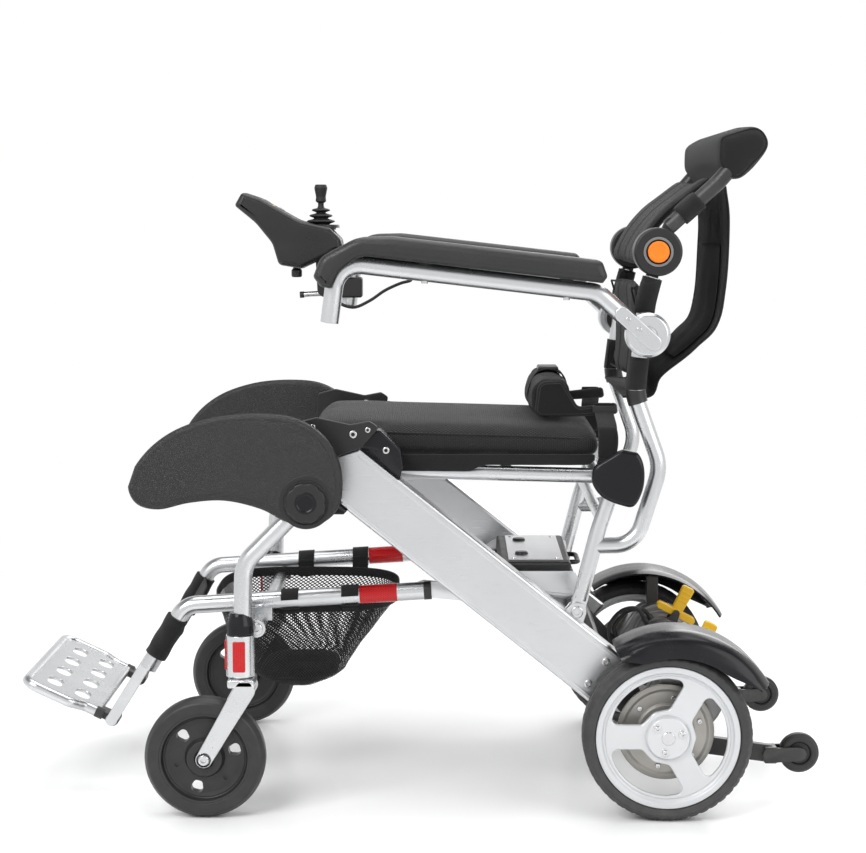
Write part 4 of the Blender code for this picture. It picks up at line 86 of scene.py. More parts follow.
class Around(Enum):
    """The axis that a turned form goes around."""

    CROSSWISE = (0.0, 1.0, 0.0)
    UPRIGHT = (0.0, 0.0, 1.0)


# ------------------------------------------------------------------ bench tools
class Bench:
    """Makes plain forms with Blender's own tools, in the frame's coordinates."""

    @staticmethod
    def only(*objects: bpy.types.Object) -> None:
        """Selects these objects alone and makes the first one active."""
        bpy.ops.object.select_all(action="DESELECT")
        for each in objects:
            each.select_set(True)
        bpy.context.view_layer.objects.active = objects[0]

    @staticmethod
    def settle(obj: bpy.types.Object, angle: float = 40.0) -> bpy.types.Object:
        """Applies the object's place, merges its points, turns its faces out and shades it smooth.

        Args:
            obj: the mesh object to finish.
            angle: edges sharper than this many degrees stay crisp.

        Returns:
            The same object.
        """
        Bench.fix(obj)
        bpy.ops.object.mode_set(mode="EDIT")
        bpy.ops.mesh.select_all(action="SELECT")
        bpy.ops.mesh.remove_doubles(threshold=MERGE)
        bpy.ops.mesh.normals_make_consistent(inside=False)
        bpy.ops.object.mode_set(mode="OBJECT")
        bpy.ops.object.shade_smooth_by_angle(angle=math.radians(angle))
        even = obj.modifiers.new("even", "WEIGHTED_NORMAL")
        even.keep_sharp = True
        bpy.ops.object.modifier_apply(modifier=even.name)
        return obj

    @staticmethod
    def fix(obj: bpy.types.Object) -> bpy.types.Object:
        """Applies the object's own place, turn and scale."""
        Bench.only(obj)
        bpy.ops.object.transform_apply(location=True, rotation=True, scale=True)
        return obj

    @staticmethod
    def placed(name: str, data: bpy.types.ID) -> bpy.types.Object:
        """A new object of the data, in the scene and selected alone."""
        made = bpy.data.objects.new(name, data)
        bpy.context.scene.collection.objects.link(made)
        Bench.only(made)
        return made

    @staticmethod
    def bite(obj: bpy.types.Object, tool: bpy.types.Object) -> None:
        """Cuts one tool out of the object and removes the tool."""
        taken = obj.modifiers.new("bite", "BOOLEAN")
        taken.operation = "DIFFERENCE"
        taken.solver = "EXACT"
        taken.object = tool
        Bench.apply(obj)
        bpy.data.objects.remove(tool)

    @staticmethod
    def cut(obj: bpy.types.Object, tools: list[bpy.types.Object], angle: float = 32.0) -> bpy.types.Object:
        """Cuts each tool out of the object in turn and shades the result afresh."""
        Bench.only(obj)
        bpy.ops.mesh.customdata_custom_splitnormals_clear()
        for tool in tools:
            Bench.bite(obj, tool)
        return Bench.settle(obj, angle)

    @staticmethod
    def apply(obj: bpy.types.Object) -> bpy.types.Object:
        """Applies every modifier of the object in order."""
        Bench.only(obj)
        for name in [modifier.name for modifier in obj.modifiers]:
            bpy.ops.object.modifier_apply(modifier=name)
        return obj

    @staticmethod
    def join(name: str, pieces: list[bpy.types.Object]) -> bpy.types.Object:
        """Joins the pieces into one object of the name."""
        Bench.only(*pieces)
        if len(pieces) > 1:
            bpy.ops.object.join()
        made = bpy.context.view_layer.objects.active
        made.name = name
        made.data.name = name
        return made

    @staticmethod
    def arc(corner: Vector, before: Vector, after: Vector, radius: float, turn: float) -> list[Vector]:
        """The points that round one corner of a path.

        Args:
            corner: the sharp corner.
            before: the path's point before it.
            after: the path's point after it.
            radius: the bend's radius, made less where the runs are short.
            turn: degrees for each step.

        Returns:
            The points of the bend in order.
        """
        if radius <= 0:
            return [corner]
        into = (before - corner).normalized()
        out = (after - corner).normalized()
        if not into.length or not out.length:
            return [corner]
        half = into.angle(out) / 2
        if half > math.radians(89):
            return [corner]
        run = min(radius / math.tan(half), (before - corner).length / 2.02, (after - corner).length / 2.02)
        radius = run * math.tan(half)
        centre = corner + (into + out).normalized() * (radius / math.sin(half))
        first = corner + into * run - centre
        last = corner + out * run - centre
        sweep = first.angle(last)
        steps = max(1, round(math.degrees(sweep) / turn))
        points = []
        for step in range(steps + 1):
            part = sweep * step / steps
            points.append(centre + (first * math.sin(sweep - part) + last * math.sin(part)) / math.sin(sweep))
        return points

    @staticmethod
    def rounded(corners: list[Corner], turn: float = 9.0) -> list[Place]:
        """A closed side-view outline from corners that each give (x, z, fillet radius)."""
        flat = [Vector((x, 0.0, z)) for x, z, _ in corners]
        points: list[Vector] = []
        for index, corner in enumerate(corners):
            after = flat[(index + 1) % len(flat)]
            points += Bench.arc(flat[index], flat[index - 1], after, corner[2], turn)
        return [(point.x, point.z) for point in points]

    @staticmethod
    def bent(points: list[Vector], radius: float, turn: float = 7.0) -> list[Vector]:
        """A path whose inner corners are bent to the radius."""
        path = [Vector(points[0])]
        for index in range(1, len(points) - 1):
            path += Bench.arc(
                Vector(points[index]), Vector(points[index - 1]), Vector(points[index + 1]), radius, turn
            )
        return path + [Vector(points[-1])]

    @staticmethod
    def beside(points: list[Place], y: float) -> list[Vector]:
        """Side-view places as points of the frame at one y."""
        return [Vector((x + AXLE_X, y, z)) for x, z in points]

    @staticmethod
    def circle(centre: Place, radius: float, steps: int = 32, start: float = 0.0) -> list[Place]:
        """Places round a side-view circle, the first of them start steps along it."""
        turns = [math.tau * (step + start) / steps for step in range(steps)]
        return [(centre[0] + radius * math.cos(turn), centre[1] + radius * math.sin(turn)) for turn in turns]

    @staticmethod
    def oblong(
        start: Place, end: Place, start_radius: float, end_radius: float, steps: int = 12
    ) -> list[Place]:
        """The outline round two circles, as of a link or a lug."""
        a, b = Vector(start), Vector(end)
        run = (b - a).normalized()
        lean = math.acos(max(-1.0, min(1.0, (start_radius - end_radius) / (b - a).length)))
        heading = math.atan2(run.y, run.x)
        points = []
        for centre, radius, low, high in (
            (b, end_radius, -lean, lean), (a, start_radius, lean, math.tau - lean)
        ):
            for step in range(steps + 1):
                turn = heading + low + (high - low) * step / steps
                points.append((centre.x + radius * math.cos(turn), centre.y + radius * math.sin(turn)))
        return points

    @staticmethod
    def tube(name: str, path: list[Vector], radius: float, fine: int = 6) -> bpy.types.Object:
        """A round tube or rod along a path, closed at its ends.

        Args:
            name: the new object's name.
            path: the middle line's points, in the frame.
            radius: the outer radius.
            fine: the bevel resolution round the tube.

        Returns:
            The tube as a mesh object.
        """
        curve = bpy.data.curves.new(name, "CURVE")
        curve.dimensions = "3D"
        curve.bevel_depth = radius
        curve.bevel_resolution = fine
        curve.use_fill_caps = True
        spline = curve.splines.new("POLY")
        spline.points.add(len(path) - 1)
        for point, place in zip(spline.points, path):
            point.co = (*place, 1.0)
        Bench.placed(name, curve)
        bpy.ops.object.convert(target="MESH")
        return Bench.settle(bpy.context.view_layer.objects.active, TUBE_CREASE)

    @staticmethod
    def plate(
        name: str,
        outline: list[Place],
        low: float,
        high: float,
        edge: float = 0.001,
        holes: tuple[list[Place], ...] = (),
        lying: bool = False,
        fine: int = 0,
    ) -> bpy.types.Object:
        """A plate that lies in the side view, or flat, with rounded edges.

        Args:
            name: the new object's name.
            outline: its outline, as places from the axle line.
            low: the y of one face.
            high: the y of the other face.
            edge: the radius of its edges.
            holes: outlines of the holes through it.
            lying: its outline is in x and y instead, and low and high are heights.
            fine: the steps of its rounded edge, or 0 to take them from its radius.

        Returns:
            The plate as a mesh object.
        """
        thick = abs(high - low)
        edge = min(edge, thick * 0.49)
        curve = bpy.data.curves.new(name, "CURVE")
        curve.dimensions = "2D"
        curve.fill_mode = "BOTH"
        curve.extrude = thick / 2 - edge
        curve.bevel_depth = edge
        curve.bevel_resolution = fine or (3 if edge > 0.0012 else 1)
        curve.offset = -edge
        for index, line in enumerate((outline, *holes)):
            spline = curve.splines.new("POLY")
            spline.points.add(len(line) - 1)
            spline.use_cyclic_u = True
            for point, (x, z) in zip(spline.points, line):
                point.co = (x, z, 0.0, 1.0)
        made = Bench.placed(name, curve)
        bpy.ops.object.convert(target="MESH")
        made = bpy.context.view_layer.objects.active
        if lying:
            made.location = (AXLE_X, 0.0, (low + high) / 2)
        else:
            made.rotation_euler = (math.radians(90), 0.0, 0.0)
            made.location = (AXLE_X, (low + high) / 2, 0.0)
        Bench.settle(made, PLATE_CREASE)
        mesh = made.data
        mesh.calc_loop_triangles()
        corners = [[mesh.vertices[index].co for index in face.vertices] for face in mesh.loop_triangles]
        if sum(a.dot(b.cross(c)) for a, b, c in corners) < 0:
            bpy.ops.object.mode_set(mode="EDIT")
            bpy.ops.mesh.select_all(action="SELECT")
            bpy.ops.mesh.flip_normals()
            bpy.ops.object.mode_set(mode="OBJECT")
        return made

    @staticmethod
    def swing(obj: bpy.types.Object, degrees: float, axis: str, centre: Vector) -> bpy.types.Object:
        """Turns a finished object about an axis through the centre, and applies it."""
        there = Matrix.Translation(centre)
        obj.matrix_world = there @ Matrix.Rotation(math.radians(degrees), 4, axis) @ there.inverted()
        return Bench.fix(obj)

    @staticmethod
    def turned(
        name: str,
        profile: list[Place] | list[Corner],
        centre: Place,
        side: int = 1,
        around: Around = Around.CROSSWISE,
        steps: int = 64,
        angle: float = PLATE_CREASE,
    ) -> bpy.types.Object:
        """A turned form, from a profile of (radius, distance along the axis).

        Args:
            name: the new object's name.
            profile: the profile's points; it is closed unless it starts on the axis. Points that
                also give a fillet are eased first.
            centre: (x, z) of a crosswise axis, or (x, y) of an upright one.
            side: the sign of y for the distances along a crosswise axis.
            around: which axis the form is spun about.
            steps: facets round it.
            angle: edges sharper than this stay crisp.

        Returns:
            The turned form as a mesh object.
        """
        if len(profile[0]) > 2:
            profile = Bench.eased(profile)
        crosswise = around is Around.CROSSWISE
        points = []
        for radius, distance in profile:
            if crosswise:
                points.append((centre[0] + AXLE_X + radius, side * distance, centre[1]))
            else:
                points.append((centre[0] + AXLE_X + radius, centre[1], distance))
        edges = [(index, index + 1) for index in range(len(points) - 1)]
        if profile[0][0] > ON_AXIS:
            edges.append((len(points) - 1, 0))
        mesh = bpy.data.meshes.new(name)
        mesh.from_pydata(points, edges, [])
        made = Bench.placed(name, mesh)
        middle = (centre[0] + AXLE_X, 0.0, centre[1]) if crosswise else (centre[0] + AXLE_X, centre[1], 0.0)
        bpy.ops.object.mode_set(mode="EDIT")
        bpy.ops.mesh.select_all(action="SELECT")
        bpy.ops.mesh.spin(steps=steps, angle=math.tau, center=middle, axis=around.value)
        bpy.ops.object.mode_set(mode="OBJECT")
        return Bench.settle(made, angle)

    @staticmethod
    def pin(
        name: str,
        centre: Place,
        radius: float,
        low: float,
        high: float,
        side: int = 1,
        around: Around = Around.CROSSWISE,
        steps: int = 64,
    ) -> bpy.types.Object:
        """A plain round pin.

        Args:
            name: the new object's name.
            centre: (x, z) of a crosswise axis, or (x, y) of an upright one.
            radius: its radius.
            low: the distance of its first end along the axis.
            high: the distance of its other end.
            side: the sign of y for the distances along a crosswise axis.
            around: which axis it lies along.
            steps: facets round it.

        Returns:
            The pin as a mesh object.
        """
        profile = [(0.0, low), (radius, low), (radius, high), (0.0, high)]
        return Bench.turned(name, profile, centre, side, around, steps)

    @staticmethod
    def eased(profile: list[Corner], turn: float = 18.0) -> list[Place]:
        """An open profile with its inner corners rounded, from (radius, distance, fillet)."""
        flat = [Vector((radius, 0.0, distance)) for radius, distance, _ in profile]
        points = [flat[0]]
        for index in range(1, len(flat) - 1):
            points += Bench.arc(flat[index], flat[index - 1], flat[index + 1], profile[index][2], turn)
        points.append(flat[-1])
        return [(point.x, point.z) for point in points]

    @staticmethod
    def block(
        name: str, x: Place, y: Place, z: Place, edge: float = 0.001, fine: int = 3
    ) -> bpy.types.Object:
        """A box between limits, with rounded edges; x is from the axle line."""
        bpy.ops.mesh.primitive_cube_add(size=1.0)
        made = bpy.context.view_layer.objects.active
        made.name = name
        made.scale = (x[1] - x[0], abs(y[1] - y[0]), z[1] - z[0])
        made.location = ((x[0] + x[1]) / 2 + AXLE_X, (y[0] + y[1]) / 2, (z[0] + z[1]) / 2)
        Bench.fix(made)
        if edge > 0:
            bevel = made.modifiers.new("edges", "BEVEL")
            bevel.width = edge
            bevel.segments = fine
            Bench.apply(made)
        return Bench.settle(made, PLATE_CREASE)

    @staticmethod
    def screw(
        name: str, centre: Place, radius: float, low: float, high: float, side: int = 1
    ) -> bpy.types.Object:
        """A round-headed screw with a round socket; its head's top is at the distance high."""
        socket = radius * 0.48
        profile = [
            (0.0, low, 0.0),
            (radius, low, 0.0),
            (radius, high, radius * 0.35),
            (socket, high, 0.0),
            (socket * 0.92, high - radius * 0.55, 0.0),
            (0.0, high - radius * 0.55, 0.0),
        ]
        return Bench.turned(name, profile, centre, side, steps=PIN_STEPS)

    @staticmethod
    def softened(name: str, node: str, width: float = 0.0012, angle: float = 40.0) -> bpy.types.Object:
        """A copy of a CAD node with its sharp edges eased.

        Args:
            name: the new object's name.
            node: the CAD node to copy.
            width: the bevel's width.
            angle: edges sharper than this are eased.

        Returns:
            The copy as a mesh object.
        """
        source = bpy.data.objects[node]
        made = Bench.placed(name, source.data.copy())
        made.data.materials.clear()
        bpy.ops.object.mode_set(mode="EDIT")
        bpy.ops.mesh.select_all(action="SELECT")
        bpy.ops.mesh.remove_doubles(threshold=MERGE)
        bpy.ops.mesh.dissolve_limited(angle_limit=math.radians(1.0))
        bpy.ops.object.mode_set(mode="OBJECT")
        bevel = made.modifiers.new("edges", "BEVEL")
        bevel.width = width
        bevel.segments = 2
        bevel.limit_method = "ANGLE"
        bevel.angle_limit = math.radians(angle)
        bevel.use_clamp_overlap = True
        Bench.apply(made)
        bpy.ops.object.shade_smooth_by_angle(angle=math.radians(angle))
        return made

    @staticmethod
    def skin(
        name: str, rows: list[list[Vector]], loop: bool = False, capped: bool = False, smooth: int = 0
    ) -> bpy.types.Object:
        """A surface through rows of points, with its own UV map in metres.

        Args:
            name: the new object's name.
            rows: rows of as many points each.
            loop: each row is a closed ring.
            capped: the first and last rings are filled.
            smooth: subdivision levels, applied.

        Returns:
            The surface as a mesh object.
        """
        count = len(rows[0])
        points = [tuple(point) for row in rows for point in row]
        faces = []
        across = count if loop else count - 1
        for line in range(len(rows) - 1):
            for index in range(across):
                other = (index + 1) % count
                a, b = line * count, (line + 1) * count
                faces.append((a + index, a + other, b + other, b + index))
        if capped:
            faces.append(tuple(range(count))[::-1])
            faces.append(tuple(range((len(rows) - 1) * count, len(rows) * count)))
        mesh = bpy.data.meshes.new(name)
        mesh.from_pydata(points, [], faces)
        uv = mesh.uv_layers.new(name="cloth")
        along = [0.0]
        for low, high in zip(rows, rows[1:]):
            along.append(along[-1] + sum((b - a).length for a, b in zip(low, high)) / count)
        wide = [0.0]
        middle = rows[len(rows) // 2]
        for index in range(count):
            wide.append(wide[-1] + (middle[(index + 1) % count] - middle[index]).length)
        for face in mesh.polygons:
            for corner in face.loop_indices:
                vertex = mesh.loops[corner].vertex_index
                line, index = divmod(vertex, count)
                far = wide[index]
                if loop and index == 0 and any(
                    mesh.loops[c].vertex_index % count == count - 1 for c in face.loop_indices
                ):
                    far = wide[count]
                uv.data[corner].uv = (far, along[line])
        made = Bench.placed(name, mesh)
        if smooth:
            fine = made.modifiers.new("smooth", "SUBSURF")
            fine.levels = smooth
            fine.render_levels = smooth
            Bench.apply(made)
        return Bench.settle(made, CLOTH_CREASE)

    @staticmethod
    def thicken(obj: bpy.types.Object, thick: float, offset: float = 0.0) -> bpy.types.Object:
        """Gives a sheet its wall."""
        wall = obj.modifiers.new("wall", "SOLIDIFY")
        wall.thickness = thick
        wall.offset = offset
        wall.use_even_offset = True
        return Bench.apply(obj)


def present(
    piece: bpy.types.Object,
    body: str,
    finish: bpy.types.Material | None = None,
    stands_for: tuple[str, ...] = (),
) -> bpy.types.Object:
    """Dresses a finished piece and hands it to its body.

    Args:
        piece: the finished object.
        body: the body that it rides on.
        finish: its material, where it has only one.
        stands_for: the CAD nodes that it replaces.

    Returns:
        The same object.
    """
    if finish is not None:
        dressed(piece, finish)
    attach(piece, body)
    if stands_for:
        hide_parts(*stands_for)
    log.info("%s rides on %s", piece.name, body)
    return piece


def dressed(piece: bpy.types.Object, finish: bpy.types.Material) -> bpy.types.Object:
    """Gives a loose part its material before it is joined to others."""
    piece.data.materials.clear()
    piece.data.materials.append(finish)
    return piece


# ------------------------------------------------------------------ finishes
Colour = tuple[float, float, float]


class Effect(Enum):
    """The kind of relief that a surface has."""

    SPECKLE = "speckle"
    HIDE = "hide"
    WEAVE = "weave"
    SPACER = "spacer"
    BRUSHED = "brushed"


@dataclass(frozen=True)
class Finish:
    """What one surface is made of.

    colour and shade are the two colours that it varies between, and scale is in features for each metre.
    """

    name: str
    colour: Colour
    shade: Colour
    roughness: float
    effect: Effect = Effect.SPECKLE
    scale: float = 900.0
    depth: float = 0.1
    metallic: float = 0.0
    mottle: float = 0.35
    dust: float = 0.08
    rub: float = 0.0
    coat: float = 0.0
    sheen: float = 0.0
    specular: float = 0.5
    mapped: bool = False
    netted: float = 0.0


class Graph:
    """A node tree that is filled one node at a time."""

    def __init__(self, tree: bpy.types.NodeTree) -> None:
        self.tree = tree

    def add(self, kind: str, **settings: object) -> bpy.types.Node:
        """Adds a node of the kind with these settings."""
        made = self.tree.nodes.new(kind)
        for key, value in settings.items():
            setattr(made, key, value)
        return made

    def link(self, source: bpy.types.NodeSocket, target: bpy.types.NodeSocket) -> None:
        """Joins an output to an input."""
        self.tree.links.new(source, target)

    def math(
        self, operation: str, first: object, second: object = 0.0, clamp: bool = False
    ) -> bpy.types.NodeSocket:
        """A math node's result; each input is a socket or a number."""
        made = self.add("ShaderNodeMath", operation=operation, use_clamp=clamp)
        for socket, value in zip(made.inputs, (first, second)):
            if isinstance(value, (int, float)):
                socket.default_value = value
            else:
                self.link(value, socket)
        return made.outputs[0]

    def mix(self, share: object, first: object, second: object) -> bpy.types.NodeSocket:
        """A colour between two, by the share."""
        made = self.add("ShaderNodeMix", data_type="RGBA")
        for socket, value in ((made.inputs[0], share), (made.inputs[6], first), (made.inputs[7], second)):
            if isinstance(value, (int, float)):
                socket.default_value = value
            elif isinstance(value, tuple):
                socket.default_value = (*value, 1.0)
            else:
                self.link(value, socket)
        return made.outputs[2]


class Effects:
    """The node groups that the materials share. They give out only masks and normals."""

    def __init__(self) -> None:
        self.groups: dict[str, bpy.types.NodeTree] = {}
        self.groups["flat_place"] = self.flat_place()
        for effect in Effect:
            self.groups[effect.value] = self.relief(effect)
        self.groups["mottling"] = self.mottling()
        self.groups["dust"] = self.dust()
        self.groups["rubbed"] = self.rubbed()

    @staticmethod
    def opened(
        name: str, inputs: tuple[tuple[str, str, float], ...], outputs: tuple[tuple[str, str], ...]
    ) -> Graph:
        """A new group with its sockets, and its two end nodes in place."""
        tree = bpy.data.node_groups.new(name, "ShaderNodeTree")
        for label, kind, start in inputs:
            socket = tree.interface.new_socket(label, in_out="INPUT", socket_type=kind)
            if kind == "NodeSocketFloat":
                socket.default_value = start
        for label, kind in outputs:
            tree.interface.new_socket(label, in_out="OUTPUT", socket_type=kind)
        return Graph(tree)

    def flat_place(self) -> bpy.types.NodeTree:
        """Metres across and along a surface, taken from whichever way it faces most."""
        graph = self.opened("flat place", (), (("Vector", "NodeSocketVector"),))
        out = graph.add("NodeGroupOutput")
        coords = graph.add("ShaderNodeTexCoord")
        place = graph.add("ShaderNodeSeparateXYZ")
        facing = graph.add("ShaderNodeSeparateXYZ")
        graph.link(coords.outputs["Object"], place.inputs[0])
        graph.link(coords.outputs["Normal"], facing.inputs[0])
        up = graph.math("GREATER_THAN", graph.math("ABSOLUTE", facing.outputs[2]), 0.55)
        side = graph.math("GREATER_THAN", graph.math("ABSOLUTE", facing.outputs[1]), 0.6)
        across = graph.add("ShaderNodeMix")
        graph.link(graph.math("MAXIMUM", up, side), across.inputs[0])
        graph.link(place.outputs[1], across.inputs[2])
        graph.link(place.outputs[0], across.inputs[3])
        along = graph.add("ShaderNodeMix")
        graph.link(up, along.inputs[0])
        graph.link(place.outputs[2], along.inputs[2])
        graph.link(place.outputs[1], along.inputs[3])
        joined = graph.add("ShaderNodeCombineXYZ")
        graph.link(across.outputs[0], joined.inputs[0])
        graph.link(along.outputs[0], joined.inputs[1])
        graph.link(joined.outputs[0], out.inputs[0])
        return graph.tree

    def relief(self, effect: Effect) -> bpy.types.NodeTree:
        """One kind of relief: its mask, 1 at its high places, and the normal that it gives."""
        graph = self.opened(
            "relief " + effect.value,
            (
                ("Vector", "NodeSocketVector", 0.0),
                ("Scale", "NodeSocketFloat", 900.0),
                ("Depth", "NodeSocketFloat", 0.1),
            ),
            (("Mask", "NodeSocketFloat"), ("Normal", "NodeSocketVector")),
        )
        ins = graph.add("NodeGroupInput")
        out = graph.add("NodeGroupOutput")
        mask = self.pattern(graph, effect, ins.outputs["Vector"], ins.outputs["Scale"])
        bump = graph.add("ShaderNodeBump")
        bump.inputs["Distance"].default_value = 0.0006
        graph.link(ins.outputs["Depth"], bump.inputs["Strength"])
        graph.link(mask, bump.inputs["Height"])
        graph.link(mask, out.inputs["Mask"])
        graph.link(bump.outputs[0], out.inputs["Normal"])
        return graph.tree

    @staticmethod
    def pattern(
        graph: Graph, effect: Effect, place: bpy.types.NodeSocket, scale: bpy.types.NodeSocket
    ) -> bpy.types.NodeSocket:
        """The height pattern of one kind of relief."""
        if effect is Effect.SPECKLE:
            noise_node = graph.add("ShaderNodeTexNoise")
            noise_node.inputs["Detail"].default_value = 3.0
            graph.link(place, noise_node.inputs["Vector"])
            graph.link(scale, noise_node.inputs["Scale"])
            return noise_node.outputs[0]
        if effect is Effect.HIDE:
            cells = graph.add("ShaderNodeTexVoronoi", feature="DISTANCE_TO_EDGE")
            graph.link(place, cells.inputs["Vector"])
            graph.link(scale, cells.inputs["Scale"])
            creases = graph.math("MULTIPLY", cells.outputs[0], 3.2, clamp=True)
            fine = graph.add("ShaderNodeTexNoise")
            graph.link(place, fine.inputs["Vector"])
            graph.link(graph.math("MULTIPLY", scale, 2.2), fine.inputs["Scale"])
            return graph.math(
                "ADD", graph.math("MULTIPLY", creases, 0.8), graph.math("MULTIPLY", fine.outputs[0], 0.25)
            )
        if effect is Effect.BRUSHED:
            stretch = graph.add("ShaderNodeMapping")
            stretch.inputs["Rotation"].default_value = (0.0, math.radians(-38.7), 0.0)
            stretch.inputs["Scale"].default_value = (0.02, 1.0, 1.0)
            graph.link(place, stretch.inputs["Vector"])
            lines = graph.add("ShaderNodeTexNoise")
            lines.inputs["Detail"].default_value = 4.0
            graph.link(stretch.outputs[0], lines.inputs["Vector"])
            graph.link(scale, lines.inputs["Scale"])
            return lines.outputs[0]
        split = graph.add("ShaderNodeSeparateXYZ")
        graph.link(place, split.inputs[0])
        turns = graph.math("MULTIPLY", scale, math.tau)
        across = graph.math("MULTIPLY", split.outputs[0], turns)
        along = graph.math("MULTIPLY", split.outputs[1], turns)
        if effect is Effect.SPACER:
            half = graph.math("MULTIPLY", across, 0.5)
            other = graph.math("MULTIPLY", along, 0.866)
            first = graph.math("COSINE", across)
            second = graph.math("COSINE", graph.math("ADD", half, other))
            third = graph.math("COSINE", graph.math("SUBTRACT", half, other))
            total = graph.math("ADD", graph.math("ADD", first, second), third)
            return graph.math(
                "SUBTRACT", 1.0, graph.math("MULTIPLY", graph.math("SUBTRACT", total, 0.4), 0.9, clamp=True)
            )
        over = graph.math("ABSOLUTE", graph.math("SINE", graph.math("MULTIPLY", across, 0.5)))
        under = graph.math("ABSOLUTE", graph.math("SINE", graph.math("MULTIPLY", along, 0.5)))
        turn = graph.math(
            "GREATER_THAN",
            graph.math("MULTIPLY", graph.math("COSINE", graph.math("MULTIPLY", across, 0.5)),
                       graph.math("COSINE", graph.math("MULTIPLY", along, 0.5))),
            0.0,
        )
        picked = graph.add("ShaderNodeMix")
        graph.link(turn, picked.inputs[0])
        graph.link(over, picked.inputs[2])
        graph.link(under, picked.inputs[3])
        return picked.outputs[0]

    def mottling(self) -> bpy.types.NodeTree:
        """Slow variation over a surface, from hand-sized patches down to small ones."""
        graph = self.opened("mottling", (), (("Mask", "NodeSocketFloat"),))
        out = graph.add("NodeGroupOutput")
        coords = graph.add("ShaderNodeTexCoord")
        slow = graph.add("ShaderNodeTexNoise")
        slow.inputs["Scale"].default_value = 9.0
        slow.inputs["Detail"].default_value = 5.0
        slow.inputs["Roughness"].default_value = 0.62
        graph.link(coords.outputs["Object"], slow.inputs["Vector"])
        spread = graph.add("ShaderNodeMapRange")
        spread.inputs["From Min"].default_value = 0.33
        spread.inputs["From Max"].default_value = 0.67
        graph.link(slow.outputs[0], spread.inputs["Value"])
        graph.link(spread.outputs[0], out.inputs[0])
        return graph.tree

    def dust(self) -> bpy.types.NodeTree:
        """Dust: thickest near the floor and on what faces up."""
        graph = self.opened("dust", (("Amount", "NodeSocketFloat", 0.1),), (("Mask", "NodeSocketFloat"),))
        ins = graph.add("NodeGroupInput")
        out = graph.add("NodeGroupOutput")
        coords = graph.add("ShaderNodeTexCoord")
        place = graph.add("ShaderNodeSeparateXYZ")
        facing = graph.add("ShaderNodeSeparateXYZ")
        graph.link(coords.outputs["Object"], place.inputs[0])
        graph.link(coords.outputs["Normal"], facing.inputs[0])
        low = graph.add("ShaderNodeMapRange")
        low.inputs["From Min"].default_value = 0.40
        low.inputs["From Max"].default_value = 0.0
        graph.link(place.outputs[2], low.inputs["Value"])
        up = graph.math("MULTIPLY", graph.math("MAXIMUM", facing.outputs[2], 0.0), 0.5)
        spots = graph.add("ShaderNodeTexNoise")
        spots.inputs["Scale"].default_value = 55.0
        spots.inputs["Detail"].default_value = 6.0
        graph.link(coords.outputs["Object"], spots.inputs["Vector"])
        both = graph.math("ADD", graph.math("ADD", low.outputs[0], up), 0.15)
        worn = graph.math(
            "MULTIPLY", graph.math("MULTIPLY", both, spots.outputs[0]), ins.outputs["Amount"], clamp=True
        )
        graph.link(worn, out.inputs[0])
        return graph.tree

    def rubbed(self) -> bpy.types.NodeTree:
        """Edges that hands and doorways have rubbed."""
        graph = self.opened(
            "rubbed edges", (("Amount", "NodeSocketFloat", 0.0),), (("Mask", "NodeSocketFloat"),)
        )
        ins = graph.add("NodeGroupInput")
        out = graph.add("NodeGroupOutput")
        shape = graph.add("ShaderNodeNewGeometry")
        sharp = graph.add("ShaderNodeMapRange")
        sharp.inputs["From Min"].default_value = 0.515
        sharp.inputs["From Max"].default_value = 0.60
        graph.link(shape.outputs["Pointiness"], sharp.inputs["Value"])
        coords = graph.add("ShaderNodeTexCoord")
        patchy = graph.add("ShaderNodeTexNoise")
        patchy.inputs["Scale"].default_value = 120.0
        patchy.inputs["Detail"].default_value = 4.0
        graph.link(coords.outputs["Object"], patchy.inputs["Vector"])
        share = graph.math("MULTIPLY", sharp.outputs[0], patchy.outputs[0])
        graph.link(graph.math("MULTIPLY", share, ins.outputs["Amount"], clamp=True), out.inputs[0])
        return graph.tree


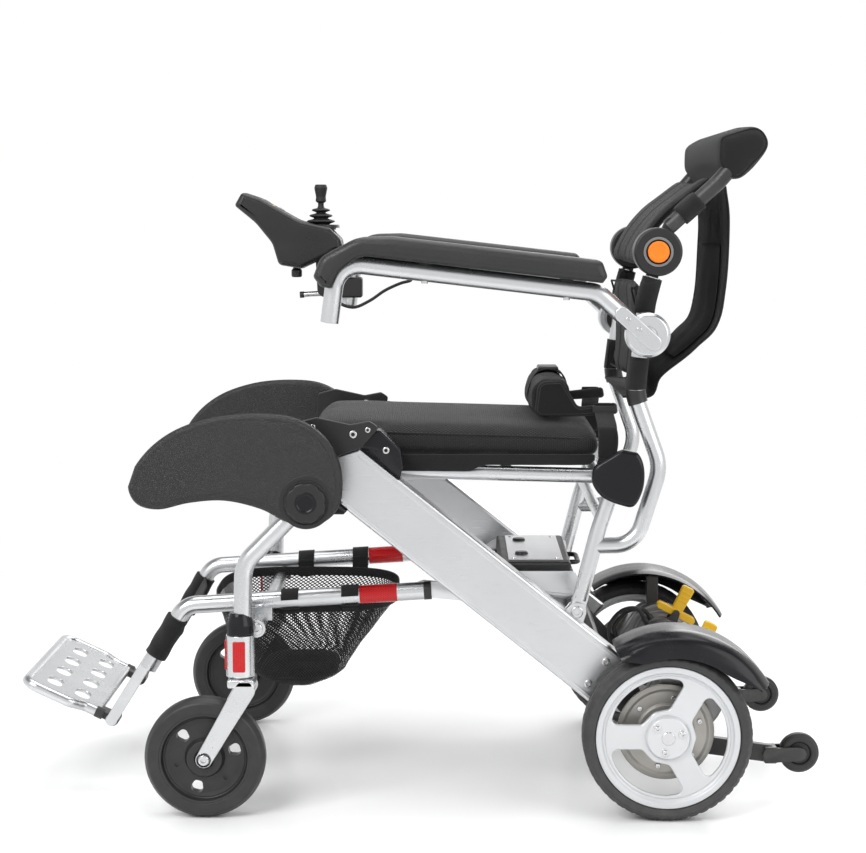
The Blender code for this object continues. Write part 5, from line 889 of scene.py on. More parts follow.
class Paintshop:
    """Makes each finish's material once."""

    def __init__(self, effects: Effects) -> None:
        self.effects = effects
        self.made: dict[str, bpy.types.Material] = {}

    def grouped(self, graph: Graph, name: str, **values: float) -> bpy.types.Node:
        """A group node of the effect, with its values set."""
        made = graph.add("ShaderNodeGroup", node_tree=self.effects.groups[name])
        for key, value in values.items():
            made.inputs[key].default_value = value
        return made

    def of(self, finish: Finish) -> bpy.types.Material:
        """The material of a finish.

        Args:
            finish: what the surface is made of.

        Returns:
            Its material, made on the first call.
        """
        if finish.name in self.made:
            return self.made[finish.name]
        material = bpy.data.materials.new(finish.name)
        material.use_nodes = True
        graph = Graph(material.node_tree)
        shader = material.node_tree.nodes["Principled BSDF"]
        relief = self.grouped(graph, finish.effect.value, Scale=finish.scale, Depth=finish.depth)
        graph.link(self.place_of(graph, finish), relief.inputs["Vector"])
        mottling = self.grouped(graph, "mottling")
        share = graph.math("MULTIPLY", mottling.outputs[0], finish.mottle, clamp=True)
        colour = graph.mix(share, finish.colour, finish.shade)
        # Painted shade: woven, spacer-mesh and grained finishes darken to 0.42 of their colour in the
        # relief's low places, that is between threads, in holes and in creases.
        if finish.effect in (Effect.WEAVE, Effect.SPACER, Effect.HIDE):
            deep = tuple(channel * 0.42 for channel in finish.colour)
            colour = graph.mix(relief.outputs["Mask"], deep, colour)
        if finish.rub > 0:
            rubbed = self.grouped(graph, "rubbed", Amount=finish.rub)
            bright = tuple(min(1.0, channel * 1.6 + 0.12) for channel in finish.colour)
            colour = graph.mix(rubbed.outputs[0], colour, bright)
        if finish.dust > 0:
            dust = self.grouped(graph, "dust", Amount=finish.dust)
            colour = graph.mix(dust.outputs[0], colour, (0.42, 0.39, 0.35))
        graph.link(colour, shader.inputs["Base Color"])
        graph.link(relief.outputs["Normal"], shader.inputs["Normal"])
        shader.inputs["Metallic"].default_value = finish.metallic
        shader.inputs["Coat Weight"].default_value = finish.coat
        shader.inputs["Coat Roughness"].default_value = 0.08
        shader.inputs["Sheen Weight"].default_value = finish.sheen
        shader.inputs["Specular IOR Level"].default_value = finish.specular
        shader.inputs["Sheen Roughness"].default_value = 0.5
        rough = graph.add("ShaderNodeMapRange")
        rough.inputs["To Min"].default_value = max(0.03, finish.roughness - 0.07)
        rough.inputs["To Max"].default_value = min(1.0, finish.roughness + 0.07)
        source = relief.outputs["Mask"] if finish.effect is Effect.BRUSHED else mottling.outputs[0]
        graph.link(source, rough.inputs["Value"])
        graph.link(rough.outputs[0], shader.inputs["Roughness"])
        if finish.netted > 0:
            self.open_up(graph, shader, finish)
        self.made[finish.name] = material
        return material

    def place_of(self, graph: Graph, finish: Finish) -> bpy.types.NodeSocket:
        """Where the relief's pattern lies: along the cloth's own map, across the faces, or in the solid."""
        if finish.mapped:
            return graph.add("ShaderNodeUVMap", uv_map="cloth").outputs[0]
        if finish.effect in (Effect.WEAVE, Effect.SPACER):
            return self.grouped(graph, "flat_place").outputs[0]
        return graph.add("ShaderNodeTexCoord").outputs["Object"]

    @staticmethod
    def open_up(graph: Graph, shader: bpy.types.Node, finish: Finish) -> None:
        """Opens the meshes of a net between its threads."""
        place = graph.add("ShaderNodeUVMap", uv_map="cloth")
        split = graph.add("ShaderNodeSeparateXYZ")
        graph.link(place.outputs[0], split.inputs[0])
        turns = math.tau * finish.netted
        first = graph.math("MULTIPLY", graph.math("ADD", split.outputs[0], split.outputs[1]), turns)
        second = graph.math("MULTIPLY", graph.math("SUBTRACT", split.outputs[0], split.outputs[1]), turns)
        hole = graph.math(
            "MULTIPLY",
            graph.math("ABSOLUTE", graph.math("SINE", first)),
            graph.math("ABSOLUTE", graph.math("SINE", second)),
        )
        thread = graph.math("LESS_THAN", hole, 0.42)
        graph.link(thread, shader.inputs["Alpha"])


class Looks:
    """The finishes of the chair."""

    ALUMINIUM = Finish(
        "brushed_aluminium",
        (0.62, 0.625, 0.635),
        (0.52, 0.53, 0.55),
        0.30,
        Effect.BRUSHED,
        1400,
        0.22,
        metallic=1.0,
        dust=0.04,
        rub=0.12,
    )
    SILVER = Finish(
        "silver_anodised",
        (0.60, 0.61, 0.62),
        (0.48, 0.49, 0.505),
        0.29,
        Effect.SPECKLE,
        1500,
        0.05,
        metallic=0.95,
        dust=0.03,
        rub=0.03,
        coat=0.10,
    )
    PALE = Finish("pale_enamel", (0.60, 0.61, 0.625), (0.52, 0.53, 0.545), 0.38, Effect.SPECKLE, 1300, 0.10,
                  metallic=0.3, dust=0.12, coat=0.25)
    CAST = Finish("cast_housing", (0.40, 0.385, 0.36), (0.26, 0.25, 0.235), 0.42, Effect.SPECKLE, 800, 0.35,
                  metallic=0.8, dust=0.25, rub=0.3)
    TYRE = Finish(
        "grey_rubber",
        (0.024, 0.025, 0.027),
        (0.038, 0.039, 0.041),
        0.60,
        Effect.SPECKLE,
        1100,
        0.35,
        dust=0.10,
        specular=0.35,
    )
    CASTER = Finish(
        "black_rubber",
        (0.010, 0.010, 0.011),
        (0.018, 0.018, 0.019),
        0.44,
        Effect.SPECKLE,
        1000,
        0.22,
        dust=0.06,
        rub=0.08,
        specular=0.4,
    )
    PLASTIC = Finish(
        "black_plastic",
        (0.009, 0.009, 0.010),
        (0.016, 0.016, 0.017),
        0.36,
        Effect.SPECKLE,
        1600,
        0.22,
        dust=0.04,
        rub=0.12,
        specular=0.4,
    )
    GRAINED = Finish(
        "grained_plastic",
        (0.010, 0.010, 0.011),
        (0.019, 0.019, 0.020),
        0.42,
        Effect.HIDE,
        520,
        0.55,
        dust=0.03,
        rub=0.10,
        mottle=0.5,
        specular=0.45,
    )
    GLOSS = Finish(
        "gloss_black",
        (0.006, 0.006, 0.008),
        (0.010, 0.010, 0.012),
        0.21,
        Effect.SPECKLE,
        240,
        0.03,
        dust=0.02,
        rub=0.04,
        specular=0.24,
    )
    STEEL_BLACK = Finish(
        "black_steel",
        (0.014, 0.014, 0.015),
        (0.024, 0.024, 0.025),
        0.36,
        Effect.SPECKLE,
        1500,
        0.2,
        dust=0.10,
        rub=0.30,
        specular=0.4,
    )
    MOTOR = Finish(
        "cast_motor_shell",
        (0.28, 0.28, 0.285),
        (0.17, 0.17, 0.175),
        0.38,
        Effect.SPECKLE,
        900,
        0.4,
        metallic=0.85,
        dust=0.20,
        rub=0.3,
    )
    MOTOR_BLACK = Finish(
        "motor_black",
        (0.014, 0.014, 0.015),
        (0.024, 0.024, 0.025),
        0.40,
        Effect.SPECKLE,
        900,
        0.35,
        dust=0.12,
        rub=0.25,
        specular=0.4,
    )
    STEEL = Finish("bright_steel", (0.60, 0.60, 0.61), (0.42, 0.42, 0.43), 0.22, Effect.BRUSHED, 2200, 0.12,
                   metallic=1.0, dust=0.04, rub=0.2)
    YELLOW = Finish(
        "yellow_plastic",
        (0.72, 0.42, 0.010),
        (0.60, 0.33, 0.008),
        0.38,
        Effect.SPECKLE,
        1300,
        0.14,
        dust=0.06,
        rub=0.10,
        specular=0.4,
    )
    ORANGE = Finish(
        "orange_plastic",
        (0.86, 0.20, 0.012),
        (0.72, 0.15, 0.010),
        0.38,
        Effect.SPECKLE,
        1300,
        0.12,
        dust=0.03,
        specular=0.3,
    )
    RED = Finish("red_reflector", (0.55, 0.004, 0.006), (0.34, 0.002, 0.004), 0.22, Effect.SPACER, 420, 0.6,
                 coat=0.2, dust=0.01, specular=0.3)
    WEBBING = Finish(
        "black_webbing",
        (0.009, 0.009, 0.010),
        (0.018, 0.018, 0.019),
        0.74,
        Effect.WEAVE,
        620,
        1.1,
        dust=0.03,
        sheen=0.10,
        specular=0.2,
    )
    CANVAS = Finish(
        "black_canvas",
        (0.009, 0.009, 0.010),
        (0.019, 0.019, 0.020),
        0.80,
        Effect.WEAVE,
        900,
        0.9,
        dust=0.02,
        sheen=0.12,
        mottle=0.6,
        specular=0.2,
    )
    CANVAS_MAPPED = Finish(
        "black_canvas_hung",
        (0.009, 0.009, 0.010),
        (0.019, 0.019, 0.020),
        0.80,
        Effect.WEAVE,
        900,
        0.9,
        dust=0.02,
        sheen=0.12,
        mottle=0.6,
        specular=0.2,
        mapped=True,
    )
    SPACER = Finish(
        "spacer_mesh",
        (0.011, 0.011, 0.012),
        (0.021, 0.021, 0.022),
        0.82,
        Effect.SPACER,
        330,
        1.6,
        dust=0.02,
        sheen=0.12,
        mottle=0.5,
        specular=0.2,
    )
    NET = Finish("basket_net", (0.010, 0.010, 0.011), (0.018, 0.018, 0.019), 0.70, Effect.WEAVE, 700, 0.8,
                 dust=0.04, mapped=True, netted=95.0, specular=0.25)
    VINYL = Finish(
        "soft_black_vinyl",
        (0.010, 0.010, 0.011),
        (0.019, 0.019, 0.020),
        0.36,
        Effect.HIDE,
        700,
        0.35,
        dust=0.02,
        coat=0.12,
        mottle=0.5,
        specular=0.45,
    )
    BATTERY = Finish(
        "battery_case",
        (0.016, 0.017, 0.018),
        (0.027, 0.028, 0.029),
        0.45,
        Effect.HIDE,
        900,
        0.3,
        dust=0.06,
        specular=0.4,
    )
    CONTROLS = Finish(
        "control_case",
        (0.010, 0.010, 0.011),
        (0.018, 0.018, 0.019),
        0.33,
        Effect.SPECKLE,
        1700,
        0.2,
        dust=0.02,
        rub=0.10,
        specular=0.4,
    )
    SOFT_GRIP = Finish(
        "soft_grip",
        (0.012, 0.012, 0.012),
        (0.021, 0.021, 0.021),
        0.55,
        Effect.SPECKLE,
        1800,
        0.3,
        dust=0.03,
        specular=0.35,
    )
    KEY_GREY = Finish(
        "key_grey", (0.16, 0.165, 0.17), (0.12, 0.125, 0.13), 0.44, Effect.SPECKLE, 1500, 0.15, dust=0.03
    )
    THREAD = Finish(
        "grey_thread", (0.06, 0.06, 0.063), (0.04, 0.04, 0.042), 0.7, Effect.WEAVE, 1500, 0.8, dust=0.02
    )


# ------------------------------------------------------------------ running gear
class Assembly:
    """A part of the chair that is built piece by piece.

    It holds the paintshop, and passes finished pieces to present().
    """

    def __init__(self, paint: Paintshop) -> None:
        self.paint = paint

    def build(self) -> None:
        """Builds every piece of this assembly."""
        raise NotImplementedError

    def coat(self, piece: bpy.types.Object, finish: Finish) -> bpy.types.Object:
        """Gives a loose part its finish before it is joined to others."""
        return dressed(piece, self.paint.of(finish))


@dataclass(frozen=True)
class WheelSizes:
    """The drive wheel, in metres."""

    at: Place = (0.0, 0.1155)
    radius: float = 0.1155
    width: float = 0.050
    y: float = 0.2675
    rim: float = 0.098
    wall: float = 0.0075
    hub: float = 0.031
    spoke: float = 0.034
    spokes: int = 3
    disc: float = 0.008
    gearbox: float = 0.2375
    bolts: int = 3
    bolt_circle: float = 0.020
    treads: int = 48


class DriveWheels(Assembly):
    """Both drive wheels, each a solid tyre on a rim with three broad spokes."""

    def __init__(self, paint: Paintshop, sizes: WheelSizes = WheelSizes()) -> None:
        super().__init__(paint)
        self.sizes = sizes

    def build(self) -> None:
        for side in Side:
            body = "rear_wheel_" + side.tag
            present(self.tyre(side), body, self.paint.of(Looks.TYRE), ("rear_tyre_" + side.tag,))
            present(self.rim(side), body, None, ("rear_rim_" + side.tag,))

    def tyre(self, side: Side) -> bpy.types.Object:
        """The tyre: a rounded section with two shallow rain grooves round its tread."""
        size = self.sizes
        low, high = size.y - size.width / 2, size.y + size.width / 2
        bead = size.rim + 0.0003
        profile = [(bead, high - 0.006, 0.0), (bead, low + 0.006, 0.0), (bead + 0.002, low + 0.002, 0.001)]
        profile += [(size.radius - 0.007, low, 0.004), (size.radius, low + 0.010, 0.008)]
        for middle in (size.y - 0.0075, size.y + 0.0075):
            profile += [
                (size.radius, middle - 0.0014, 0.0004), (size.radius - 0.0018, middle - 0.0008, 0.0003)
            ]
            profile += [
                (size.radius - 0.0018, middle + 0.0008, 0.0003), (size.radius, middle + 0.0014, 0.0004)
            ]
        profile += [(size.radius, high - 0.010, 0.008), (size.radius - 0.007, high, 0.004)]
        profile += [(bead + 0.002, high - 0.002, 0.001), (bead, high - 0.006, 0.0)]
        steps = 4 * size.treads
        made = Bench.turned(
            "drive_tyre_" + side.tag, Bench.eased(profile)[:-1], size.at, side.value, steps=steps
        )
        for vertex in made.data.vertices:
            across, up = vertex.co.x - AXLE_X - size.at[0], vertex.co.z - size.at[1]
            away = math.hypot(across, up)
            index = round(math.atan2(up, across) / math.tau * steps)
            shoulder = away > size.radius - 0.0085 and abs(abs(vertex.co.y) - size.y) > 0.0100
            if index % 4 == 0 and shoulder:
                share = 0.0013 / away
                vertex.co.x -= across * share
                vertex.co.z -= up * share
        return Bench.cut(made, [])

    def rim(self, side: Side) -> bpy.types.Object:
        """The rim: its barrel, the spoked disc near the outer face, and the hub with its bolts."""
        size = self.sizes
        inner, outer = size.y - size.width / 2 + 0.0045, size.y + size.width / 2 - 0.0045
        face = outer - 0.004
        back = face - size.disc
        wall = size.rim - size.wall
        barrel = [
            (size.rim, size.y, 0.0), (size.rim, inner, 0.001), (wall, inner, 0.002),
            (wall - 0.003, back, 0.002),
        ]
        barrel += [(wall - 0.005, back, 0.0), (wall - 0.005, face, 0.001), (wall - 0.003, face, 0.002)]
        barrel += [(wall, outer, 0.002), (size.rim, outer, 0.001), (size.rim, size.y, 0.0)]
        parts = [Bench.turned("barrel", Bench.eased(barrel)[:-1], size.at, side.value, steps=WHEEL_STEPS)]
        outline = Bench.circle(size.at, wall - 0.0045, 96)
        windows = tuple(self.window(math.tau * index / size.spokes) for index in range(size.spokes))
        parts.append(
            Bench.plate("spokes", outline, side.value * back, side.value * face, 0.0022, windows)
        )
        hub = [
            (0.0, outer + 0.002, 0.0),
            (size.hub - 0.003, outer + 0.002, 0.002),
            (size.hub, outer - 0.002, 0.002),
        ]
        hub += [(size.hub, face - 0.001, 0.001), (size.hub + 0.006, face - 0.002, 0.0), (0.021, back, 0.002)]
        hub += [
            (0.019, back - 0.006, 0.002),
            (0.019, size.gearbox + 0.0015, 0.001),
            (0.0, size.gearbox + 0.0015, 0.0),
        ]
        parts.append(Bench.turned("hub", hub, size.at, side.value, steps=DISC_STEPS))
        for piece in parts:
            self.coat(piece, Looks.PALE)
        plate = [
            (0.024, inner + 0.0010, 0.0), (0.0665, inner + 0.0010, 0.0010), (0.0665, inner + 0.0050, 0.0010)
        ]
        plate += [
            (0.0600, inner + 0.0062, 0.0010),
            (0.0560, inner + 0.0045, 0.0010),
            (0.0400, inner + 0.0045, 0.0010),
        ]
        plate += [(0.0370, inner + 0.0070, 0.0015), (0.024, inner + 0.0070, 0.0)]
        parts.append(
            self.coat(Bench.turned("brake_plate", plate, size.at, side.value, steps=DISC_STEPS), Looks.CAST)
        )
        for at in Bench.circle(size.at, 0.0485, 6, 0.3):
            bolt = Bench.screw("plate_bolt", at, 0.0036, inner + 0.0040, inner + 0.0075, side.value)
            parts.append(self.coat(bolt, Looks.STEEL))
        cap = [
            (0.0, outer + 0.0030, 0.0), (0.0085, outer + 0.0030, 0.0012), (0.0098, outer + 0.0016, 0.0),
            (0.0, outer + 0.0010, 0.0),
        ]
        parts.append(self.coat(Bench.turned("cap", cap, size.at, side.value, steps=BOSS_STEPS), Looks.STEEL))
        for at in Bench.circle(size.at, size.bolt_circle, size.bolts, 0.15):
            ring = [
                (0.0062, outer + 0.0015, 0.0), (0.0062, outer + 0.0026, 0.0004), (0.0040, outer + 0.0026, 0.0)
            ]
            parts.append(self.coat(Bench.turned("washer", ring, at, side.value, steps=28), Looks.STEEL))
            bolt = Bench.screw("bolt", at, 0.0044, outer - 0.001, outer + 0.0048, side.value)
            parts.append(self.coat(bolt, Looks.STEEL))
        return Bench.join("drive_rim_" + side.tag, parts)

    def window(self, middle: float) -> list[Place]:
        """One opening between two spokes."""
        size = self.sizes
        near_reach, far_reach = size.hub + 0.008, size.rim - size.wall - 0.0095
        reach = math.pi / size.spokes
        near = reach - math.asin(size.spoke / 2 / near_reach)
        far = reach - math.asin(size.spoke / 2 / far_reach)
        corners = [(near_reach, -near, 0.008), (near_reach, 0.0, 0.012), (near_reach, near, 0.008)]
        shares = [1.0, *(0.64 - step * 0.08 for step in range(17)), -1.0]
        corners += [(far_reach, far * share, 0.0155 if abs(share) == 1 else 0.0) for share in shares]
        places = [
            (size.at[0] + away * math.cos(middle + turn), size.at[1] + away * math.sin(middle + turn), fillet)
            for away, turn, fillet in corners
        ]
        return Bench.rounded(places, 12)


@dataclass(frozen=True)
class CasterSizes:
    """The caster, its fork and the stem housing, in metres."""

    stem: Place = (-0.581, 0.1945)
    trail: float = 0.049
    radius: float = 0.083
    width: float = 0.036
    y: float = 0.262
    hub: float = 0.028
    tread: float = 0.021
    holes: int = 6
    pin: float = 0.005
    blade: float = 0.004
    crown_top: float = 0.1940
    crown_thick: float = 0.013
    stem_radius: float = 0.008

    @property
    def axle(self) -> Place:
        """Where the caster turns."""
        return (self.stem[0] - self.trail, self.radius)


class Casters(Assembly):
    """Both casters in their forks."""

    def __init__(self, paint: Paintshop, sizes: CasterSizes = CasterSizes()) -> None:
        super().__init__(paint)
        self.sizes = sizes

    def build(self) -> None:
        for side in Side:
            present(self.fork(side), "caster_fork_" + side.tag, None, ("caster_fork_" + side.tag,))
            present(
                self.wheel(side), "caster_wheel_" + side.tag, None, ("caster_wheel_" + side.tag,)
            )

    def fork(self, side: Side) -> bpy.types.Object:
        """The cast fork: a crown under the stem and two tapering blades with rounded edges."""
        size = self.sizes
        y = side.value * size.y
        low = size.crown_top - size.crown_thick
        blade_in = size.width / 2 + 0.0015
        blade_out = blade_in + size.blade
        top = (size.stem[0] + 0.007, size.crown_top - 0.0150)
        crown = Bench.block(
            "crown",
            (size.stem[0] - 0.0165, size.stem[0] + 0.0205),
            (y - blade_out, y + blade_out),
            (low, size.crown_top),
            0.0038,
            4,
        )
        parts = [self.coat(crown, Looks.SILVER)]
        race = [
            (0.0, low - 0.002, 0.0), (0.0125, low - 0.002, 0.001), (0.0150, size.crown_top - 0.001, 0.001),
            (0.0, size.crown_top - 0.001, 0.0),
        ]
        parts.append(
            self.coat(
                Bench.turned("race", race, (size.stem[0], y), around=Around.UPRIGHT, steps=HUB_STEPS),
                Looks.STEEL,
            )
        )
        parts.append(
            self.coat(
                Bench.pin(
                    "stem",
                    (size.stem[0], y),
                    size.stem_radius,
                    low + 0.002,
                    size.stem[1] + 0.040,
                    steps=STUD_STEPS,
                    around=Around.UPRIGHT,
                ),
                Looks.STEEL,
            )
        )
        for face in (-1, 1):
            outline = Bench.oblong(size.axle, top, 0.0115, 0.0145, 16)
            blade = Bench.plate("blade", outline, y + face * blade_in, y + face * blade_out, 0.0016)
            parts.append(self.coat(blade, Looks.SILVER))
            bead = [
                (0.0102, blade_out - 0.0010, 0.0),
                (0.0102, blade_out + 0.0010, 0.0006),
                (0.0080, blade_out + 0.0010, 0.0),
            ]
            rim = Bench.turned(
                "bead", [(r, d + size.y, f) for r, d, f in bead], size.axle, side.value, steps=BOSS_STEPS
            )
            parts.append(self.coat(rim, Looks.SILVER))
        parts.append(
            self.coat(
                Bench.pin(
                    "pin",
                    size.axle,
                    size.pin,
                    size.y - blade_in - 0.002,
                    size.y + blade_in + 0.002,
                    steps=STUD_STEPS,
                    side=side.value,
                ),
                Looks.STEEL,
            )
        )
        head = Bench.screw(
            "axle_bolt", size.axle, 0.0075, size.y + blade_out - 0.001, size.y + blade_out + 0.0035,
            side.value,
        )
        parts.append(self.coat(head, Looks.STEEL))
        return Bench.join("fork_" + side.tag, parts)

    def wheel(self, side: Side) -> bpy.types.Object:
        """The wheel: a solid tread on a disc with three openings, three screw wells and a hub."""
        size = self.sizes
        half = size.width / 2
        inner = size.radius - size.tread
        tread = [(inner, half, 0.001), (size.radius - 0.006, half, 0.005), (size.radius, half - 0.010, 0.008)]
        tread += [
            (size.radius, -half + 0.010, 0.008), (size.radius - 0.006, -half, 0.005), (inner, -half, 0.001)
        ]
        profile = [(inner, 0.0, 0.0), *tread, (inner, 0.0, 0.0)]
        ring = [(radius, size.y + far) for radius, far in Bench.eased(profile)[:-1]]
        parts = [
            self.coat(Bench.turned("tread", ring, size.axle, side.value, steps=WHEEL_STEPS), Looks.CASTER)
        ]
        lip = [
            (inner + 0.0005, half - 0.001, 0.0),
            (inner - 0.003, half - 0.001, 0.001),
            (inner - 0.005, half - 0.009, 0.002),
        ]
        lip += [
            (inner - 0.008, half - 0.010, 0.0),
            (inner - 0.008, -half + 0.010, 0.0),
            (inner - 0.005, -half + 0.009, 0.002),
        ]
        lip += [
            (inner - 0.003, -half + 0.001, 0.001),
            (inner + 0.0005, -half + 0.001, 0.0),
            (inner + 0.0005, half - 0.001, 0.0),
        ]
        edge = [(radius, size.y + far) for radius, far in Bench.eased(lip)[:-1]]
        parts.append(
            self.coat(Bench.turned("lip", edge, size.axle, side.value, steps=WHEEL_STEPS), Looks.PLASTIC)
        )
        web = half - 0.0105
        near, far = size.hub - 0.004, inner - 0.0068
        dish = [
            (near, -web, 0.0), (far - 0.006, -web, 0.001), (far, -web - 0.002, 0.001),
            (far, web + 0.002, 0.001),
        ]
        dish += [(far - 0.006, web, 0.001), (near, web, 0.0)]
        face = [(radius, size.y + out) for radius, out in Bench.eased(dish)]
        disc = Bench.turned("web", face, size.axle, side.value, steps=WHEEL_STEPS)
        cutters = []
        for index in range(size.holes):
            turn = math.tau * index / size.holes + math.radians(15)
            low, high = side.value * (size.y - web - 0.01), side.value * (size.y + web + 0.01)
            if index % 2 == 0:
                corners = (
                    (0.0335, -0.0050, 0.0045), (0.0335, 0.0050, 0.0045), (0.0500, 0.0110, 0.0070),
                    (0.0500, -0.0110, 0.0070),
                )
            else:
                corners = tuple(
                    (0.0400 + 0.0032 * math.cos(k * math.pi / 4), 0.0032 * math.sin(k * math.pi / 4), 0.0)
                    for k in range(8)
                )
                low = side.value * (size.y + web - 0.002)
            spots = [
                (
                    size.axle[0] + away * math.cos(turn) - across * math.sin(turn),
                    size.axle[1] + away * math.sin(turn) + across * math.cos(turn),
                    fillet,
                )
                for away, across, fillet in corners
            ]
            cutters.append(Bench.plate("opening", Bench.rounded(spots, 12), low, high, 0.0001))
        parts.append(self.coat(Bench.cut(disc, cutters, 30.0), Looks.PLASTIC))
        bore = size.pin + 0.0004
        hub = [
            (bore, -half + 0.001, 0.0), (size.hub - 0.004, -half + 0.001, 0.001),
            (size.hub, -half + 0.011, 0.003), (size.hub + 0.001, 0.0, 0.0),
        ]
        hub += [
            (size.hub, half - 0.011, 0.003),
            (size.hub - 0.004, half - 0.001, 0.001),
            (0.0135, half - 0.001, 0.001),
        ]
        hub += [(0.0125, half - 0.0035, 0.001), (bore, half - 0.0035, 0.0), (bore, -half + 0.001, 0.0)]
        core = [(radius, size.y + far) for radius, far in Bench.eased(hub)[:-1]]
        parts.append(
            self.coat(Bench.turned("hub", core, size.axle, side.value, steps=DOME_STEPS), Looks.PLASTIC)
        )
        return Bench.join("caster_" + side.tag, parts)


@dataclass(frozen=True)
class AntiTipSizes:
    """The small wheels behind, in metres."""

    at: Place = (0.195, 0.068)
    radius: float = 0.028
    width: float = 0.018
    y: float = 0.178


class AntiTips(Assembly):
    """The two anti-tip wheels."""

    def __init__(self, paint: Paintshop, sizes: AntiTipSizes = AntiTipSizes()) -> None:
        super().__init__(paint)
        self.sizes = sizes

    def build(self) -> None:
        size = self.sizes
        half = size.width / 2
        for side in Side:
            tyre = [
                (0.0185, half, 0.0), (size.radius - 0.004, half, 0.003), (size.radius, half - 0.004, 0.003)
            ]
            tyre += [
                (size.radius, -half + 0.004, 0.003), (size.radius - 0.004, -half, 0.003),
                (0.0185, -half, 0.0), (0.0185, half, 0.0),
            ]
            ring = [(radius, size.y + far) for radius, far in Bench.eased(tyre)[:-1]]
            parts = [
                self.coat(Bench.turned("tyre", ring, size.at, side.value, steps=DOME_STEPS), Looks.CASTER)
            ]
            hub = [
                (0.0190, half - 0.0006, 0.0), (0.0165, half - 0.0008, 0.001), (0.0150, half - 0.004, 0.001),
                (0.0100, half - 0.004, 0.001),
            ]
            hub += [
                (0.0080, half - 0.0005, 0.001), (0.0044, half - 0.0005, 0.0), (0.0044, -half + 0.0005, 0.0),
                (0.0080, -half + 0.0005, 0.001),
            ]
            hub += [
                (0.0100, -half + 0.004, 0.001), (0.0150, -half + 0.004, 0.001),
                (0.0165, -half + 0.0008, 0.001), (0.0190, -half + 0.0006, 0.0), (0.0190, half - 0.0006, 0.0),
            ]
            core = [(radius, size.y + far) for radius, far in Bench.eased(hub)[:-1]]
            parts.append(
                self.coat(Bench.turned("hub", core, size.at, side.value, steps=HUB_STEPS), Looks.PLASTIC)
            )
            name = "anti_tip_wheel_" + side.tag
            present(Bench.join("small_wheel_" + side.tag, parts), name, None, (name,))


# ------------------------------------------------------------------ main frame and drive units
@dataclass(frozen=True)
class BeamSizes:
    """The side beams and the places along them, in metres and degrees."""

    inner: float = 0.188
    thick: float = 0.036
    angle: float = 38.7
    depth: float = 0.079
    top: Place = (-0.419, 0.5035)
    nose: Place = (-0.0195, 0.030)
    length: float = 0.472
    lip: float = 0.0012
    post_pivot: Place = (-0.1200, 0.2739)
    leg_pivot: Place = (-0.4884, 0.4372)
    link_pin: float = 0.0055
    cane_y: float = 0.200
    foot_half: float = 0.0075
    lug: float = 0.003
    lug_radius: float = 0.013

    def point(self, run: float, depth: float) -> Place:
        """A point along the beam from its upper front corner, and below its upper edge."""
        turn = math.radians(self.angle)
        x = self.top[0] + run * math.cos(turn) - depth * math.sin(turn)
        z = self.top[1] - run * math.sin(turn) - depth * math.cos(turn)
        return (x, z)


BEAM = BeamSizes()


